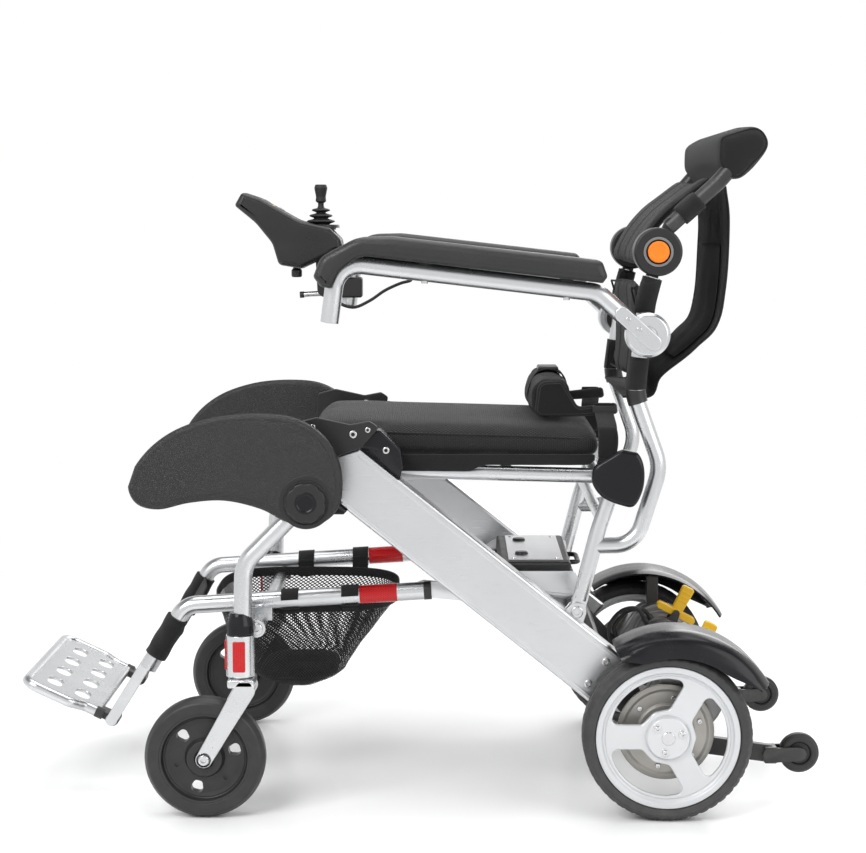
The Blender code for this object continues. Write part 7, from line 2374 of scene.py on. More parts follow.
class LowerFrame(Assembly):
    """The rails with their straps and tape, the basket, the calf strap, the hanger and the footplate."""

    LEVELS = (
        (0.1390, -0.550, -0.486, 0.080),
        (0.1640, -0.592, -0.446, 0.118),
        (0.2020, -0.619, -0.420, 0.127),
        (0.2620, -0.638, -0.374, 0.1485),
        (0.2740, -0.638, -0.372, 0.1490),
    )
    LOOPS = (-0.5205, -0.4360)

    def __init__(self, paint: Paintshop, sizes: LowerSizes = LowerSizes()) -> None:
        super().__init__(paint)
        self.sizes = sizes

    def build(self) -> None:
        present(self.rails(), "lower_frame", None, ("lower_rails",))
        self.basket()
        self.calf_strap()
        present(self.hanger(), "lower_frame", None, ("footrest_hanger",))
        present(self.footplate(), "footplate", None, ("footplate",))

    def rails(self) -> bpy.types.Object:
        """Both bent rails with the cross tube, its brackets, the plugs in their ends and the red tape."""
        size = self.sizes
        across = [
            Vector((size.pivot[0] + AXLE_X, y, size.pivot[1]))
            for y in (-size.reach + 0.0006, size.reach - 0.0006)
        ]
        parts = [self.coat(Bench.tube("cross_tube", across, size.cross, 6), Looks.SILVER)]
        run = (Vector(size.tray) - Vector(size.bend_at)).normalized()
        end = Vector(size.tray) + run * (size.tube - 0.001)
        for side in Side:
            y = side.value * size.rail_y
            path = Bench.bent(Bench.beside([size.foot, size.bend_at, tuple(end)], y), size.bend, 5)
            parts.append(self.coat(Bench.tube("rail", path, size.tube, 7), Looks.SILVER))
            tip = Bench.beside([tuple(end - run * 0.010), tuple(end + run * 0.0006)], y)
            parts.append(self.coat(Bench.tube("plug", tip, size.tube + 0.0005, 7), Looks.PLASTIC))
            bracket = Bench.block(
                "bracket", (size.pivot[0] - 0.015, size.pivot[0] + 0.015), (y - 0.008, y + 0.008),
                (size.pivot[1] - 0.004, size.height(size.pivot[0])), 0.0016,
            )
            parts.append(self.coat(bracket, Looks.SILVER))
            tape = self.band(-0.4225, -0.3700, y, 0.0004)
            parts.append(self.coat(tape, Looks.RED))
        return Bench.join("rails", parts)

    def band(self, low: float, high: float, y: float, proud: float) -> bpy.types.Object:
        """A band wound round the straight run of a rail."""
        size = self.sizes
        path = Bench.beside([(low, size.height(low)), (high, size.height(high))], y)
        return Bench.tube("band", path, size.tube + proud, 7)

    def bowl(
        self, steps: int, levels: list[tuple[float, float, float, float]], inset: float
    ) -> list[list[Vector]]:
        """Rings of the basket from its floor up, pulled in by the inset, with soft uneven ripples that fade
        toward the mouth.
        """
        rows = []
        for height, front, rear, half in levels:
            ring = []
            for index in range(steps):
                turn = math.tau * index / steps
                sweep_x = math.copysign(abs(math.cos(turn)) ** 0.62, math.cos(turn))
                sweep_y = math.copysign(abs(math.sin(turn)) ** 0.62, math.sin(turn))
                place = Vector(
                    (
                        (front + rear) / 2 + ((rear - front) / 2 - inset) * sweep_x + AXLE_X,
                        (half - inset) * sweep_y,
                        height,
                    )
                )
                ripple = noise.noise(Vector((place.x * 26, place.y * 26, place.z * 34)))
                pull = 0.0022 * ripple * min(1.0, (self.LEVELS[-1][0] - height) / 0.05)
                place.x += pull * math.cos(turn)
                place.y += pull * math.sin(turn)
                ring.append(place)
            rows.append(ring)
        return rows

    def levels(self, count: int) -> list[tuple[float, float, float, float]]:
        """The basket's levels, read evenly by height between the stated ones."""
        made = []
        low, high = self.LEVELS[0][0], self.LEVELS[-1][0]
        for step in range(count + 1):
            height = low + (high - low) * (step / count) ** 1.2
            index = max(i for i in range(len(self.LEVELS) - 1) if self.LEVELS[i][0] <= height + 1e-9)
            a, b = self.LEVELS[index], self.LEVELS[index + 1]
            share = (height - a[0]) / (b[0] - a[0])
            ease = share if index else math.sin(share * math.pi / 2)
            made.append(
                (height, *(a[i] + (b[i] - a[i]) * (ease if index == 0 else share) for i in (1, 2, 3)))
            )
        return made

    def basket(self) -> None:
        """The net bowl with its bound hem, cloth floor and webbing loops round the rails."""
        levels = self.levels(14)
        rows = self.bowl(64, levels, 0.0012)
        middle_x = (levels[0][1] + levels[0][2]) / 2 + AXLE_X
        centre = [
            [
                Vector((middle_x + (point.x - middle_x) * share, point.y * share, levels[0][0] - 0.0006))
                for point in rows[0]
            ]
            for share in (0.02, 0.35, 0.7)
        ]
        net = Bench.skin("basket_net", centre + rows, loop=True)
        present(net, "lower_frame", self.paint.of(Looks.NET), ("basket",))
        Bench.thicken(net, 0.0008)
        hem = Bench.skin("basket_hem", self.hem(0.0), loop=True)
        Bench.thicken(hem, 0.0016, 0.0)
        present(hem, "lower_frame", self.paint.of(Looks.WEBBING), ())
        floor = Bench.skin("basket_floor", self.floor_rows(), loop=True)
        Bench.thicken(floor, 0.0012)
        present(floor, "lower_frame", self.paint.of(Looks.CANVAS_MAPPED), ())
        parts = []
        for side in Side:
            for x in self.LOOPS:
                parts += self.webbing_loop(side, x)
        loops = Bench.join("basket_loops", parts)
        present(loops, "lower_frame", self.paint.of(Looks.WEBBING), ())

    def hem(self, inset: float) -> list[list[Vector]]:
        """The bound hem round the basket's mouth."""
        rows = []
        for height in (0.2610, 0.2625, 0.2680, 0.2730, 0.2748):
            _, front, rear, half = self.LEVELS[-1]
            rows.append(self.bowl(64, [(height, front, rear, half)], inset)[0])
        return rows

    def floor_rows(self) -> list[list[Vector]]:
        """The cloth floor inside the net."""
        inner = self.bowl(48, self.levels(14)[:3], 0.0040)
        first = inner[0]
        middle = sum(first, Vector()) / len(first)
        centre = [
            [middle.lerp(point, share) + Vector((0, 0, 0.0012)) for point in first]
            for share in (0.03, 0.5, 0.9)
        ]
        return centre + [[point + Vector((0, 0, 0.0012)) for point in ring] for ring in inner]

    def webbing_loop(self, side: Side, x: float) -> list[bpy.types.Object]:
        """One webbing loop round a rail, and its tail sewn to the hem."""
        size = self.sizes
        y = side.value * size.rail_y
        ring_radius = size.tube + 0.0016
        low_x, high_x = x - 0.012, x + 0.012
        rows = []
        for step in range(7):
            at = low_x + (high_x - low_x) * step / 6
            z = size.height(at)
            ring = []
            for index in range(33):
                turn = math.radians(-118) + math.tau * 0.82 * index / 32
                ring.append(
                    Vector(
                        (
                            at + AXLE_X,
                            y - side.value * ring_radius * math.cos(turn),
                            z + ring_radius * math.sin(turn),
                        )
                    )
                )
            rows.append(ring)
        loop = Bench.skin("loop", rows)
        Bench.thicken(loop, 0.0016)
        hem = self.LEVELS[-1][3]
        tail_rows = []
        for step in range(7):
            at = low_x + (high_x - low_x) * step / 6
            z = size.height(at)
            line = [Vector((at + AXLE_X, side.value * (size.rail_y - size.tube - 0.0018), z + 0.0035)),
                    Vector((at + AXLE_X, side.value * (hem + 0.0024), z - 0.006)),
                    Vector((at + AXLE_X, side.value * (hem + 0.0018), z - 0.016)),
                    Vector((at + AXLE_X, side.value * (hem + 0.0012), z - 0.024))]
            tail_rows.append(line)
        tail = Bench.skin("tail", tail_rows, smooth=1)
        Bench.thicken(tail, 0.0014)
        return [loop, tail]

    def calf_strap(self) -> None:
        """The cloth band behind the calves: a slack panel with a bound edge, and a sleeve round each rail."""
        size = self.sizes
        low = Vector(size.foot).lerp(Vector(size.bend_at), 0.20)
        high = Vector(size.foot).lerp(Vector(size.bend_at), 0.80)
        run = (high - low).normalized()
        back = Vector((run.y, -run.x))
        half = size.rail_y - size.tube - 0.0006
        rows, edges = [], []
        for step in range(33):
            y = -half + 2 * half * step / 32
            sag = 0.014 * (1 - (y / half) ** 2)
            line = []
            for index in range(13):
                share = index / 12
                ripple = 0.0013 * math.sin(9 * share + 7 * y / half) * (1 - (y / half) ** 4)
                belly = 0.0035 * math.sin(math.pi * share) * (1 - (y / half) ** 2)
                place = low.lerp(high, share) + back * (
                    sag * (0.92 + 0.08 * math.cos(math.pi * (share - 0.5))) + ripple - belly
                )
                line.append(Vector((place.x + AXLE_X, y, place.y)))
            rows.append(line)
        panel = Bench.skin("calf_panel", rows, smooth=1)
        Bench.thicken(panel, 0.0026)
        for index in (0, 12):
            edges.append(Bench.tube("binding", [row[index] for row in rows], 0.0019, 3))
        for side in Side:
            y = side.value * size.rail_y
            sleeve_rows = []
            for step in range(13):
                place = low.lerp(high, step / 12)
                ring = []
                for index in range(40):
                    turn = math.tau * index / 40
                    wide = size.tube + 0.0022 + 0.0005 * math.sin(3 * turn + step)
                    spot = place + back * (wide * math.cos(turn))
                    ring.append(Vector((spot.x + AXLE_X, y + wide * math.sin(turn), spot.y)))
                sleeve_rows.append(ring)
            sleeve = Bench.skin("sleeve", sleeve_rows, loop=True)
            edges.append(Bench.thicken(sleeve, 0.0018))
        present(panel, "lower_frame", self.paint.of(Looks.CANVAS_MAPPED), ("calf_strap",))
        bound = Bench.join("calf_binding", edges)
        present(bound, "lower_frame", self.paint.of(Looks.WEBBING), ())

    def hanger(self) -> bpy.types.Object:
        """The two flat bars beside the rails' ends, and the rod that the footplate turns on."""
        size = self.sizes
        out = size.rail_y - size.tube - 0.0006
        inside = out - size.bar_thick
        rod = [Vector((size.hinge[0] + AXLE_X, y, size.hinge[1])) for y in (-out + 0.001, out - 0.001)]
        parts = [self.coat(Bench.tube("hinge_rod", rod, size.rod, 6), Looks.STEEL)]
        for side in Side:
            sign = side.value
            bar = Bench.oblong(size.hanger_bolt, size.hinge, size.bar_width / 2, size.bar_width / 2, 16)
            parts.append(self.coat(Bench.plate("bar", bar, sign * inside, sign * out, 0.0011), Looks.SILVER))
            parts.append(
                self.coat(
                    Bench.pin(
                        "bolt",
                        size.hanger_bolt,
                        0.0035,
                        out - 0.002,
                        size.rail_y - 0.0015,
                        steps=PIN_STEPS,
                        side=sign,
                    ),
                    Looks.STEEL,
                )
            )
            for place, radius, proud in ((size.hanger_bolt, 0.0055, 0.003), (size.hinge, 0.0085, 0.002)):
                head = [
                    (0.0, inside - proud, 0.0), (radius, inside - proud, 0.0012),
                    (radius, inside + 0.001, 0.0), (0.0, inside + 0.001, 0.0),
                ]
                parts.append(self.coat(Bench.turned("head", head, place, sign, steps=36), Looks.STEEL))
        return Bench.join("hanger", parts)

    def footplate(self) -> bpy.types.Object:
        """The footplate: a tube loop round a slotted plate, with a rear bar, on two knuckles."""
        size = self.sizes
        x0, z0 = size.hinge
        rear, front = x0 - 0.016, x0 - size.length + size.loop
        half = size.half - size.loop
        bar_in = size.rail_y - size.tube - 0.0006 - size.bar_thick
        narrow, step = bar_in - size.loop - 0.0012, (rear - 0.028, rear - 0.048)
        near = [(rear, narrow), (step[0], narrow), (step[1], half), (front, half)]
        loop = [Vector((x + AXLE_X, y, z0)) for x, y in [(x, -y) for x, y in near] + near[::-1]]
        parts = [self.coat(Bench.tube("loop", Bench.bent(loop, 0.018, 6), size.loop, 6), Looks.SILVER)]
        bar = [Vector((rear - 0.008 + AXLE_X, y, z0)) for y in (-narrow, narrow)]
        parts.append(self.coat(Bench.tube("rear_bar", bar, size.loop * 0.8, 6), Looks.SILVER))
        parts.append(self.coat(self.slotted(front, rear, half, narrow, step), Looks.SILVER))
        for side in Side:
            low, high = bar_in - 0.0035 - size.knuckle, bar_in - 0.0035
            knuckle = [
                (size.rod + 0.0004, low, 0.0), (size.rod + 0.004, low, 0.001),
                (size.rod + 0.004, high, 0.001), (size.rod + 0.0004, high, 0.0),
            ]
            parts.append(
                self.coat(
                    Bench.turned("knuckle", knuckle, size.hinge, side.value, steps=BOSS_STEPS), Looks.PLASTIC
                )
            )
            web = Bench.block(
                "web", (rear - 0.012, x0 - 0.0065), (side.value * low, side.value * high),
                (z0 - 0.005, z0 + 0.005), 0.0014,
            )
            parts.append(self.coat(web, Looks.PLASTIC))
            plug = [Vector((rear + far + AXLE_X, side.value * narrow, z0)) for far in (-0.010, 0.0018)]
            parts.append(self.coat(Bench.tube("plug", plug, size.loop + 0.0006, 6), Looks.PLASTIC))
        return Bench.swing(Bench.join("foot_plate", parts), size.pitch, "Y", Vector((x0 + AXLE_X, 0.0, z0)))

    def slotted(self, front: float, rear: float, half: float, narrow: float, step: Place) -> bpy.types.Object:
        """The plate with two rows of four long slots, as wide as the loop round it."""
        size = self.sizes
        z0 = size.hinge[1]
        start, end = front + 0.002, rear - 0.006
        holes = []
        reach = (2 * half - 0.040) / 4 / 2 - 0.014
        for row in range(2):
            x = front + 0.012 + (rear - front - 0.030) * (row + 0.5) / 2
            for column in range(4):
                y = (column - 1.5) * (2 * half - 0.040) / 4
                holes.append(
                    Bench.oblong(
                        (x, y - reach + size.slot / 2), (x, y + reach - size.slot / 2), size.slot / 2,
                        size.slot / 2, 10,
                    )
                )
        edge = [
            (end, narrow - 0.001), (step[0], narrow - 0.001), (step[1], half - 0.001), (start, half - 0.001)
        ]
        outline = [(x, -y) for x, y in edge[::-1]] + edge
        return Bench.plate(
            "slotted_plate", outline, z0 - 0.001, z0 - 0.001 + size.plate, 0.0011, tuple(holes), lying=True
        )


# ------------------------------------------------------------------ battery and seat
@dataclass(frozen=True)
class BatterySizes:
    """The battery and its tray, in metres."""

    at: Place = (-0.226, 0.2840)
    half: float = 0.1255
    length: float = 0.104
    height: float = 0.045


class Power(Assembly):
    """The battery in its tray."""

    def __init__(self, paint: Paintshop, sizes: BatterySizes = BatterySizes()) -> None:
        super().__init__(paint)
        self.sizes = sizes

    def build(self) -> None:
        size = self.sizes
        tray = Bench.softened("tray", "battery_tray", 0.0010)
        present(tray, "battery_tray", self.paint.of(Looks.ALUMINIUM), ("battery_tray",))
        x, z = size.at
        middle = z + size.height * 0.46
        parts = [
            Bench.block("case", (x, x + size.length), (-size.half, size.half), (z, middle + 0.001), 0.0034, 4)
        ]
        lid = Bench.block(
            "lid", (x + 0.0012, x + size.length - 0.0012), (-size.half + 0.0012, size.half - 0.0012),
            (middle + 0.0016, z + size.height), 0.0048, 4,
        )
        parts.append(lid)
        seam = Bench.block(
            "seam", (x + 0.003, x + size.length - 0.003), (-size.half + 0.003, size.half - 0.003),
            (middle - 0.004, middle + 0.006), 0.0,
        )
        parts.append(seam)
        for index in range(7):
            y = (index - 3) * 0.030
            parts.append(
                Bench.block(
                    "rib", (x + 0.014, x + size.length - 0.014), (y - 0.0035, y + 0.0035),
                    (z + size.height - 0.002, z + size.height + 0.0004), 0.0010, 2,
                )
            )
        for piece in parts:
            self.coat(piece, Looks.BATTERY)
        top = z + size.height
        lid = Bench.block(
            "lid", (x + 0.014, x + size.length - 0.012), (-size.half + 0.016, size.half - 0.016),
            (top - 0.0006, top + 0.0016), 0.0007, 2,
        )
        parts.append(self.coat(lid, Looks.ALUMINIUM))
        for turn in (-1, 1):
            stud = [
                (0.0, top + 0.0010, 0.0), (0.0100, top + 0.0010, 0.0008), (0.0088, top + 0.0050, 0.0015),
                (0.0, top + 0.0055, 0.0),
            ]
            parts.append(
                self.coat(
                    Bench.turned("stud", stud, (x + 0.034, turn * 0.062), around=Around.UPRIGHT, steps=36),
                    Looks.PLASTIC,
                )
            )
            for far in (0.022, size.length - 0.020):
                screw = [
                    (0.0, top + 0.0010), (0.0034, top + 0.0010), (0.0028, top + 0.0028), (0.0, top + 0.0031)
                ]
                parts.append(
                    self.coat(
                        Bench.turned(
                            "lid_screw",
                            screw,
                            (x + far, turn * 0.098),
                            around=Around.UPRIGHT,
                            steps=PIN_STEPS,
                        ),
                        Looks.STEEL,
                    )
                )
        grip = [
            Vector((x + far + AXLE_X, y, z + 0.030))
            for far, y in (
                (size.length - 0.006, -0.035), (size.length + 0.014, -0.035), (size.length + 0.014, 0.035),
                (size.length - 0.006, 0.035),
            )
        ]
        parts.append(self.coat(Bench.tube("grip", Bench.bent(grip, 0.010, 8), 0.0035, 5), Looks.PLASTIC))
        lock = [
            (0.0, size.half - 0.002, 0.0), (0.0075, size.half - 0.002, 0.0),
            (0.0075, size.half + 0.0006, 0.0004), (0.0, size.half + 0.0006, 0.0),
        ]
        parts.append(
            self.coat(Bench.turned("lock", lock, (x + 0.030, z + 0.014), -1, steps=STUD_STEPS), Looks.STEEL)
        )
        present(Bench.join("battery_pack", parts), "battery", None, ("battery",))


class Upholstery:
    """Stuffs and sews soft pieces."""

    @staticmethod
    def stuff(
        obj: bpy.types.Object, voxel: float, pressure: float, cap: float, frames: int = 20
    ) -> bpy.types.Object:
        """Swells a closed form like a stuffed cover, by a short cloth simulation.

        Args:
            obj: the closed form, a little smaller than the finished pad.
            voxel: the size of the even mesh that it is turned into.
            pressure: how hard the stuffing pushes.
            cap: the furthest that a point may move.
            frames: how long the simulation runs.

        Returns:
            The same object, with the result in its mesh.
        """
        evened = obj.modifiers.new("even", "REMESH")
        evened.mode = "VOXEL"
        evened.voxel_size = voxel
        Bench.apply(obj)
        Bench.only(obj)
        start = [vertex.co.copy() for vertex in obj.data.vertices]
        cloth = obj.modifiers.new("cover", "CLOTH")
        cloth.settings.quality = 5
        cloth.settings.mass = 0.3
        cloth.settings.use_pressure = True
        cloth.settings.uniform_pressure_force = pressure
        cloth.settings.effector_weights.gravity = 0.0
        cloth.collision_settings.use_collision = False
        scene = bpy.context.scene
        for frame in range(1, frames + 1):
            scene.frame_set(frame)
        swollen = obj.evaluated_get(bpy.context.evaluated_depsgraph_get())
        moved = [vertex.co.copy() for vertex in swollen.data.vertices]
        obj.modifiers.remove(cloth)
        scene.frame_set(1)
        for vertex, before, after in zip(obj.data.vertices, start, moved):
            step = after - before
            vertex.co = before + step * min(1.0, cap / max(step.length, 1e-9))
        relax = obj.modifiers.new("relax", "SMOOTH")
        relax.factor = 0.5
        relax.iterations = 4
        fine = obj.modifiers.new("fine", "SUBSURF")
        fine.levels = 1
        fine.render_levels = 1
        Bench.apply(obj)
        Bench.only(obj)
        bpy.ops.object.shade_smooth()
        return obj

    @staticmethod
    def on(obj: bpy.types.Object, places: list[Vector], lift: float) -> list[Vector]:
        """The places moved onto the object's surface and lifted off it."""
        found = []
        for place in places:
            hit, spot, normal, _ = obj.closest_point_on_mesh(place)
            found.append(spot + normal * lift if hit else place)
        return found

    @staticmethod
    def groove(obj: bpy.types.Object, line: list[Vector], width: float, depth: float) -> None:
        """Draws a sewn channel into the surface along a line."""
        for vertex in obj.data.vertices:
            near = min(Upholstery.gap(vertex.co, a, b) for a, b in zip(line, line[1:]))
            if near < width:
                vertex.co -= vertex.normal * depth * (0.5 + 0.5 * math.cos(math.pi * near / width))

    @staticmethod
    def gap(place: Vector, start: Vector, end: Vector) -> float:
        """How far a place is from a straight stretch."""
        run = end - start
        share = max(0.0, min(1.0, (place - start).dot(run) / max(run.length_squared, 1e-12)))
        return (place - start - run * share).length

    @staticmethod
    def piping(
        obj: bpy.types.Object, places: list[Vector], radius: float, name: str = "piping"
    ) -> bpy.types.Object:
        """A sewn cord along a line on the surface."""
        path = Upholstery.on(obj, places, radius * 0.35)
        for _ in range(2):
            path = [path[0]] + [(a + b * 2 + c) / 4 for a, b, c in zip(path, path[1:], path[2:])] + [path[-1]]
        return Bench.tube(name, path, radius, 3)


@dataclass(frozen=True)
class SeatSizes:
    """The seat's frame, cushion and belt, in metres."""

    half: float = 0.184
    crown: float = 0.008
    rail_y: float = 0.168
    rail_z: float = 0.4655
    tube: float = 0.0105
    tab_thick: float = 0.003
    tab_out: float = 0.1875
    tab_foot: Place = (-0.392, 0.4660)
    front: Place = (-0.4277, 0.5230)
    rear: Place = (-0.0674, 0.4579)
    pin: float = 0.0055
    cane_y: float = 0.200
    belt: Place = (-0.1420, 0.5335)
    belt_half: float = 0.125


class Seat(Assembly):
    """The seat's frame, its cushion with the skirt, and the folded lap belt."""

    STATIONS = (
        (-0.4940, 0.5080, 0.5180, 0.020),
        (-0.4880, 0.4990, 0.5270, 0.008),
        (-0.4720, 0.4940, 0.5310, 0.002),
        (-0.4200, 0.4930, 0.5310, 0.000),
        (-0.3740, 0.4870, 0.5290, 0.000),
        (-0.2700, 0.4840, 0.5265, 0.000),
        (-0.1600, 0.4815, 0.5235, 0.000),
        (-0.1020, 0.4810, 0.5215, 0.001),
        (-0.0910, 0.4840, 0.5180, 0.006),
        (-0.0860, 0.4920, 0.5080, 0.018),
    )

    def __init__(self, paint: Paintshop, sizes: SeatSizes = SeatSizes()) -> None:
        super().__init__(paint)
        self.sizes = sizes

    def build(self) -> None:
        present(self.frame(), "seat", None, ("seat_frame",))
        self.cushion()
        self.belt()

    def frame(self) -> bpy.types.Object:
        """The rails, cross tubes and tabs under the cushion."""
        size = self.sizes
        start = Vector((size.tab_foot[0] - 0.006, size.tab_foot[1]))
        rear = Vector(size.rear)
        parts = []
        for share in (0.03, 0.55, 0.93):
            at = start.lerp(rear, share)
            line = [Vector((at.x + AXLE_X, y, at.y)) for y in (-size.rail_y, size.rail_y)]
            parts.append(self.coat(Bench.tube("cross", line, size.tube - 0.002, 5), Looks.SILVER))
        for side in Side:
            sign = side.value
            line = Bench.beside([tuple(start), size.rear], sign * size.rail_y)
            parts.append(self.coat(Bench.tube("rail", line, size.tube, 6), Looks.SILVER))
            tab = Bench.oblong(size.tab_foot, size.front, 0.0085, 0.0095, 14)
            inside = size.tab_out - size.tab_thick
            hole = Bench.circle(size.front, 0.0045, 24)
            parts.append(
                self.coat(
                    Bench.plate("tab", tab, sign * inside, sign * size.tab_out, 0.0007, (hole,)), Looks.SILVER
                )
            )
            foot = Bench.block(
                "foot", (size.tab_foot[0] - 0.006, size.tab_foot[0] + 0.006),
                (sign * size.rail_y, sign * (size.tab_out - 0.0005)),
                (size.tab_foot[1] - 0.006, size.tab_foot[1] + 0.006), 0.0012,
            )
            parts.append(self.coat(foot, Looks.SILVER))
            eye = [
                (0.0, size.rail_y - 0.011, 0.0), (0.0130, size.rail_y - 0.011, 0.001),
                (0.0130, size.rail_y + 0.013, 0.001), (0.0, size.rail_y + 0.013, 0.0),
            ]
            parts.append(self.coat(Bench.turned("eye", eye, size.rear, sign, steps=BOSS_STEPS), Looks.SILVER))
            parts.append(
                self.coat(
                    Bench.pin(
                        "pin",
                        size.rear,
                        size.pin,
                        size.rail_y,
                        size.cane_y + 0.009,
                        steps=STUD_STEPS,
                        side=sign,
                    ),
                    Looks.STEEL,
                )
            )
        return Bench.join("seat_rails", parts)

    def between(self, x: float) -> tuple[float, float, float]:
        """The cushion's bottom, top and draw-in at one place along it."""
        stations = self.STATIONS
        index = max(i for i in range(len(stations) - 1) if stations[i][0] <= x + 1e-9)
        a, b = stations[index], stations[index + 1]
        share = (x - a[0]) / (b[0] - a[0])
        return tuple(a[i] + (b[i] - a[i]) * share for i in (1, 2, 3))

    def cushion(self) -> None:
        """The stuffed pad in spacer mesh, its piping, and the skirts over the rails."""
        size = self.sizes
        rows = []
        count = 56
        places = [s[0] for s in self.STATIONS[:3]] + [
            -0.472 + (0.370) * step / 24 for step in range(1, 25)
        ] + [s[0] for s in self.STATIONS[-2:]]
        for x in places:
            bottom, top, shrink = self.between(x)
            half = size.half - shrink - 0.0025
            middle, rise = (top + bottom) / 2, (top - bottom) / 2 - 0.0010
            ring = []
            for index in range(count):
                turn = math.tau * (index + 0.5) / count
                across = math.copysign(abs(math.cos(turn)) ** 0.34, math.cos(turn))
                upward = math.copysign(abs(math.sin(turn)) ** 0.50, math.sin(turn))
                z = middle + rise * upward
                if upward > 0:
                    z += size.crown * 0.8 * (1 - across**2) * min(1.0, (top - bottom) / 0.03)
                ring.append(Vector((x + AXLE_X, half * across, z)))
            rows.append(ring)
        pad = Bench.skin("seat_pad", rows, loop=True, capped=True)
        Upholstery.stuff(pad, 0.005, 3.5, 0.0045)
        for vertex in pad.data.vertices:
            vertex.co.z = max(vertex.co.z, size.rail_z + size.tube + 0.0032)
        rim = []
        for low, high, x in ((-1, 1, -0.4860),):
            rim += [Vector((x + AXLE_X, size.half * y / 10, 0.522)) for y in range(low * 9, high * 9 + 1)]
        edge_right = [
            Vector((x + AXLE_X, size.half, self.between(x)[1] - 0.004))
            for x in (-0.478, -0.46, -0.42, -0.38, -0.34, -0.30, -0.26, -0.22, -0.18, -0.14, -0.11, -0.095)
        ]
        edge_left = [Vector((place.x, -place.y, place.z)) for place in edge_right]
        back = [Vector((-0.0885 + AXLE_X, -size.half * y / 10, 0.513)) for y in range(-9, 10)]
        around = rim + edge_right + back[0:] + edge_left[::-1]
        around.append(around[0])
        cord = Upholstery.piping(pad, around, 0.0017)
        present(pad, "seat", self.paint.of(Looks.SPACER), ("seat_cushion",))
        present(cord, "seat", self.paint.of(Looks.WEBBING), ())
        skirts = []
        for side in Side:
            rows = []
            for step in range(35):
                x = -0.384 + 0.289 * step / 34
                deep = max(0.0, min(1.0, (-0.254 - x) / 0.012))
                drop = (0.0150 + 0.0085 * deep) * min(1.0, min(step, 34 - step) / 2 + 0.6)
                line = []
                for index in range(6):
                    share = index / 5
                    wave = 0.0007 * math.sin(step * 1.3 + share * 2)
                    line.append(
                        Vector((x + AXLE_X, side.value * (size.half - 0.0016 + wave), 0.4900 - drop * share))
                    )
                rows.append(line)
            skirt = Bench.skin("skirt", rows, smooth=1)
            skirts.append(Bench.thicken(skirt, 0.0022))
        present(Bench.join("seat_skirts", skirts), "seat", self.paint.of(Looks.CANVAS_MAPPED), ())

    def belt(self) -> None:
        """The folded lap belt: a padded roll across the seat, its two side wings and their webbing."""
        size = self.sizes
        bx, bz = size.belt
        rows = []
        for step in range(25):
            share = step / 24
            y = -size.belt_half + 2 * size.belt_half * share
            swell = 0.93 + 0.07 * math.sin(math.pi * share) + 0.02 * math.cos(5 * math.pi * share)
            ring = []
            for index in range(36):
                turn = math.tau * index / 36
                flat_x = math.copysign(abs(math.cos(turn)) ** 0.8, math.cos(turn))
                flat_z = math.copysign(abs(math.sin(turn)) ** 0.8, math.sin(turn))
                fold = 1 + 0.045 * math.sin(3 * turn + 4 * share) + 0.02 * math.sin(7 * turn + 9 * share)
                x = bx - 0.0130 + 0.0275 * flat_x * swell * fold + 0.004 * flat_z
                z = bz + 0.0300 + 0.0285 * flat_z * swell * fold
                ring.append(Vector((x + AXLE_X, y, max(z, bz + 0.0012))))
            rows.append(ring)
        roll = Bench.skin("belt_pad", rows, loop=True, capped=True, smooth=1)
        present(roll, "seat", self.paint.of(Looks.CANVAS), ("lap_belt",))
        parts = []
        for side in Side:
            parts += self.wing(side, size.belt_half + 0.0012)
        band_rows = []
        for step in range(9):
            y = -0.030 + 0.060 * step / 8
            path = [
                Vector((bx - 0.0385, 0, bz + 0.012)), Vector((bx - 0.0400, 0, bz + 0.032)),
                Vector((bx - 0.0290, 0, bz + 0.0570)), Vector((bx - 0.0100, 0, bz + 0.0630)),
                Vector((bx + 0.0100, 0, bz + 0.0550)), Vector((bx + 0.0180, 0, bz + 0.0320)),
            ]
            band_rows.append([Vector((place.x + AXLE_X, y, place.z)) for place in self.smooth(path, 5)])
        band = Bench.skin("band", band_rows, smooth=1)
        parts.append(self.coat(Bench.thicken(band, 0.0020), Looks.CANVAS_MAPPED))
        buckle = Bench.block(
            "buckle", (bx - 0.026, bx + 0.004), (-0.024, 0.024), (bz + 0.0600, bz + 0.0668), 0.0030, 3
        )
        parts.append(self.coat(buckle, Looks.PLASTIC))
        present(Bench.join("belt_straps", parts), "seat", None, ())

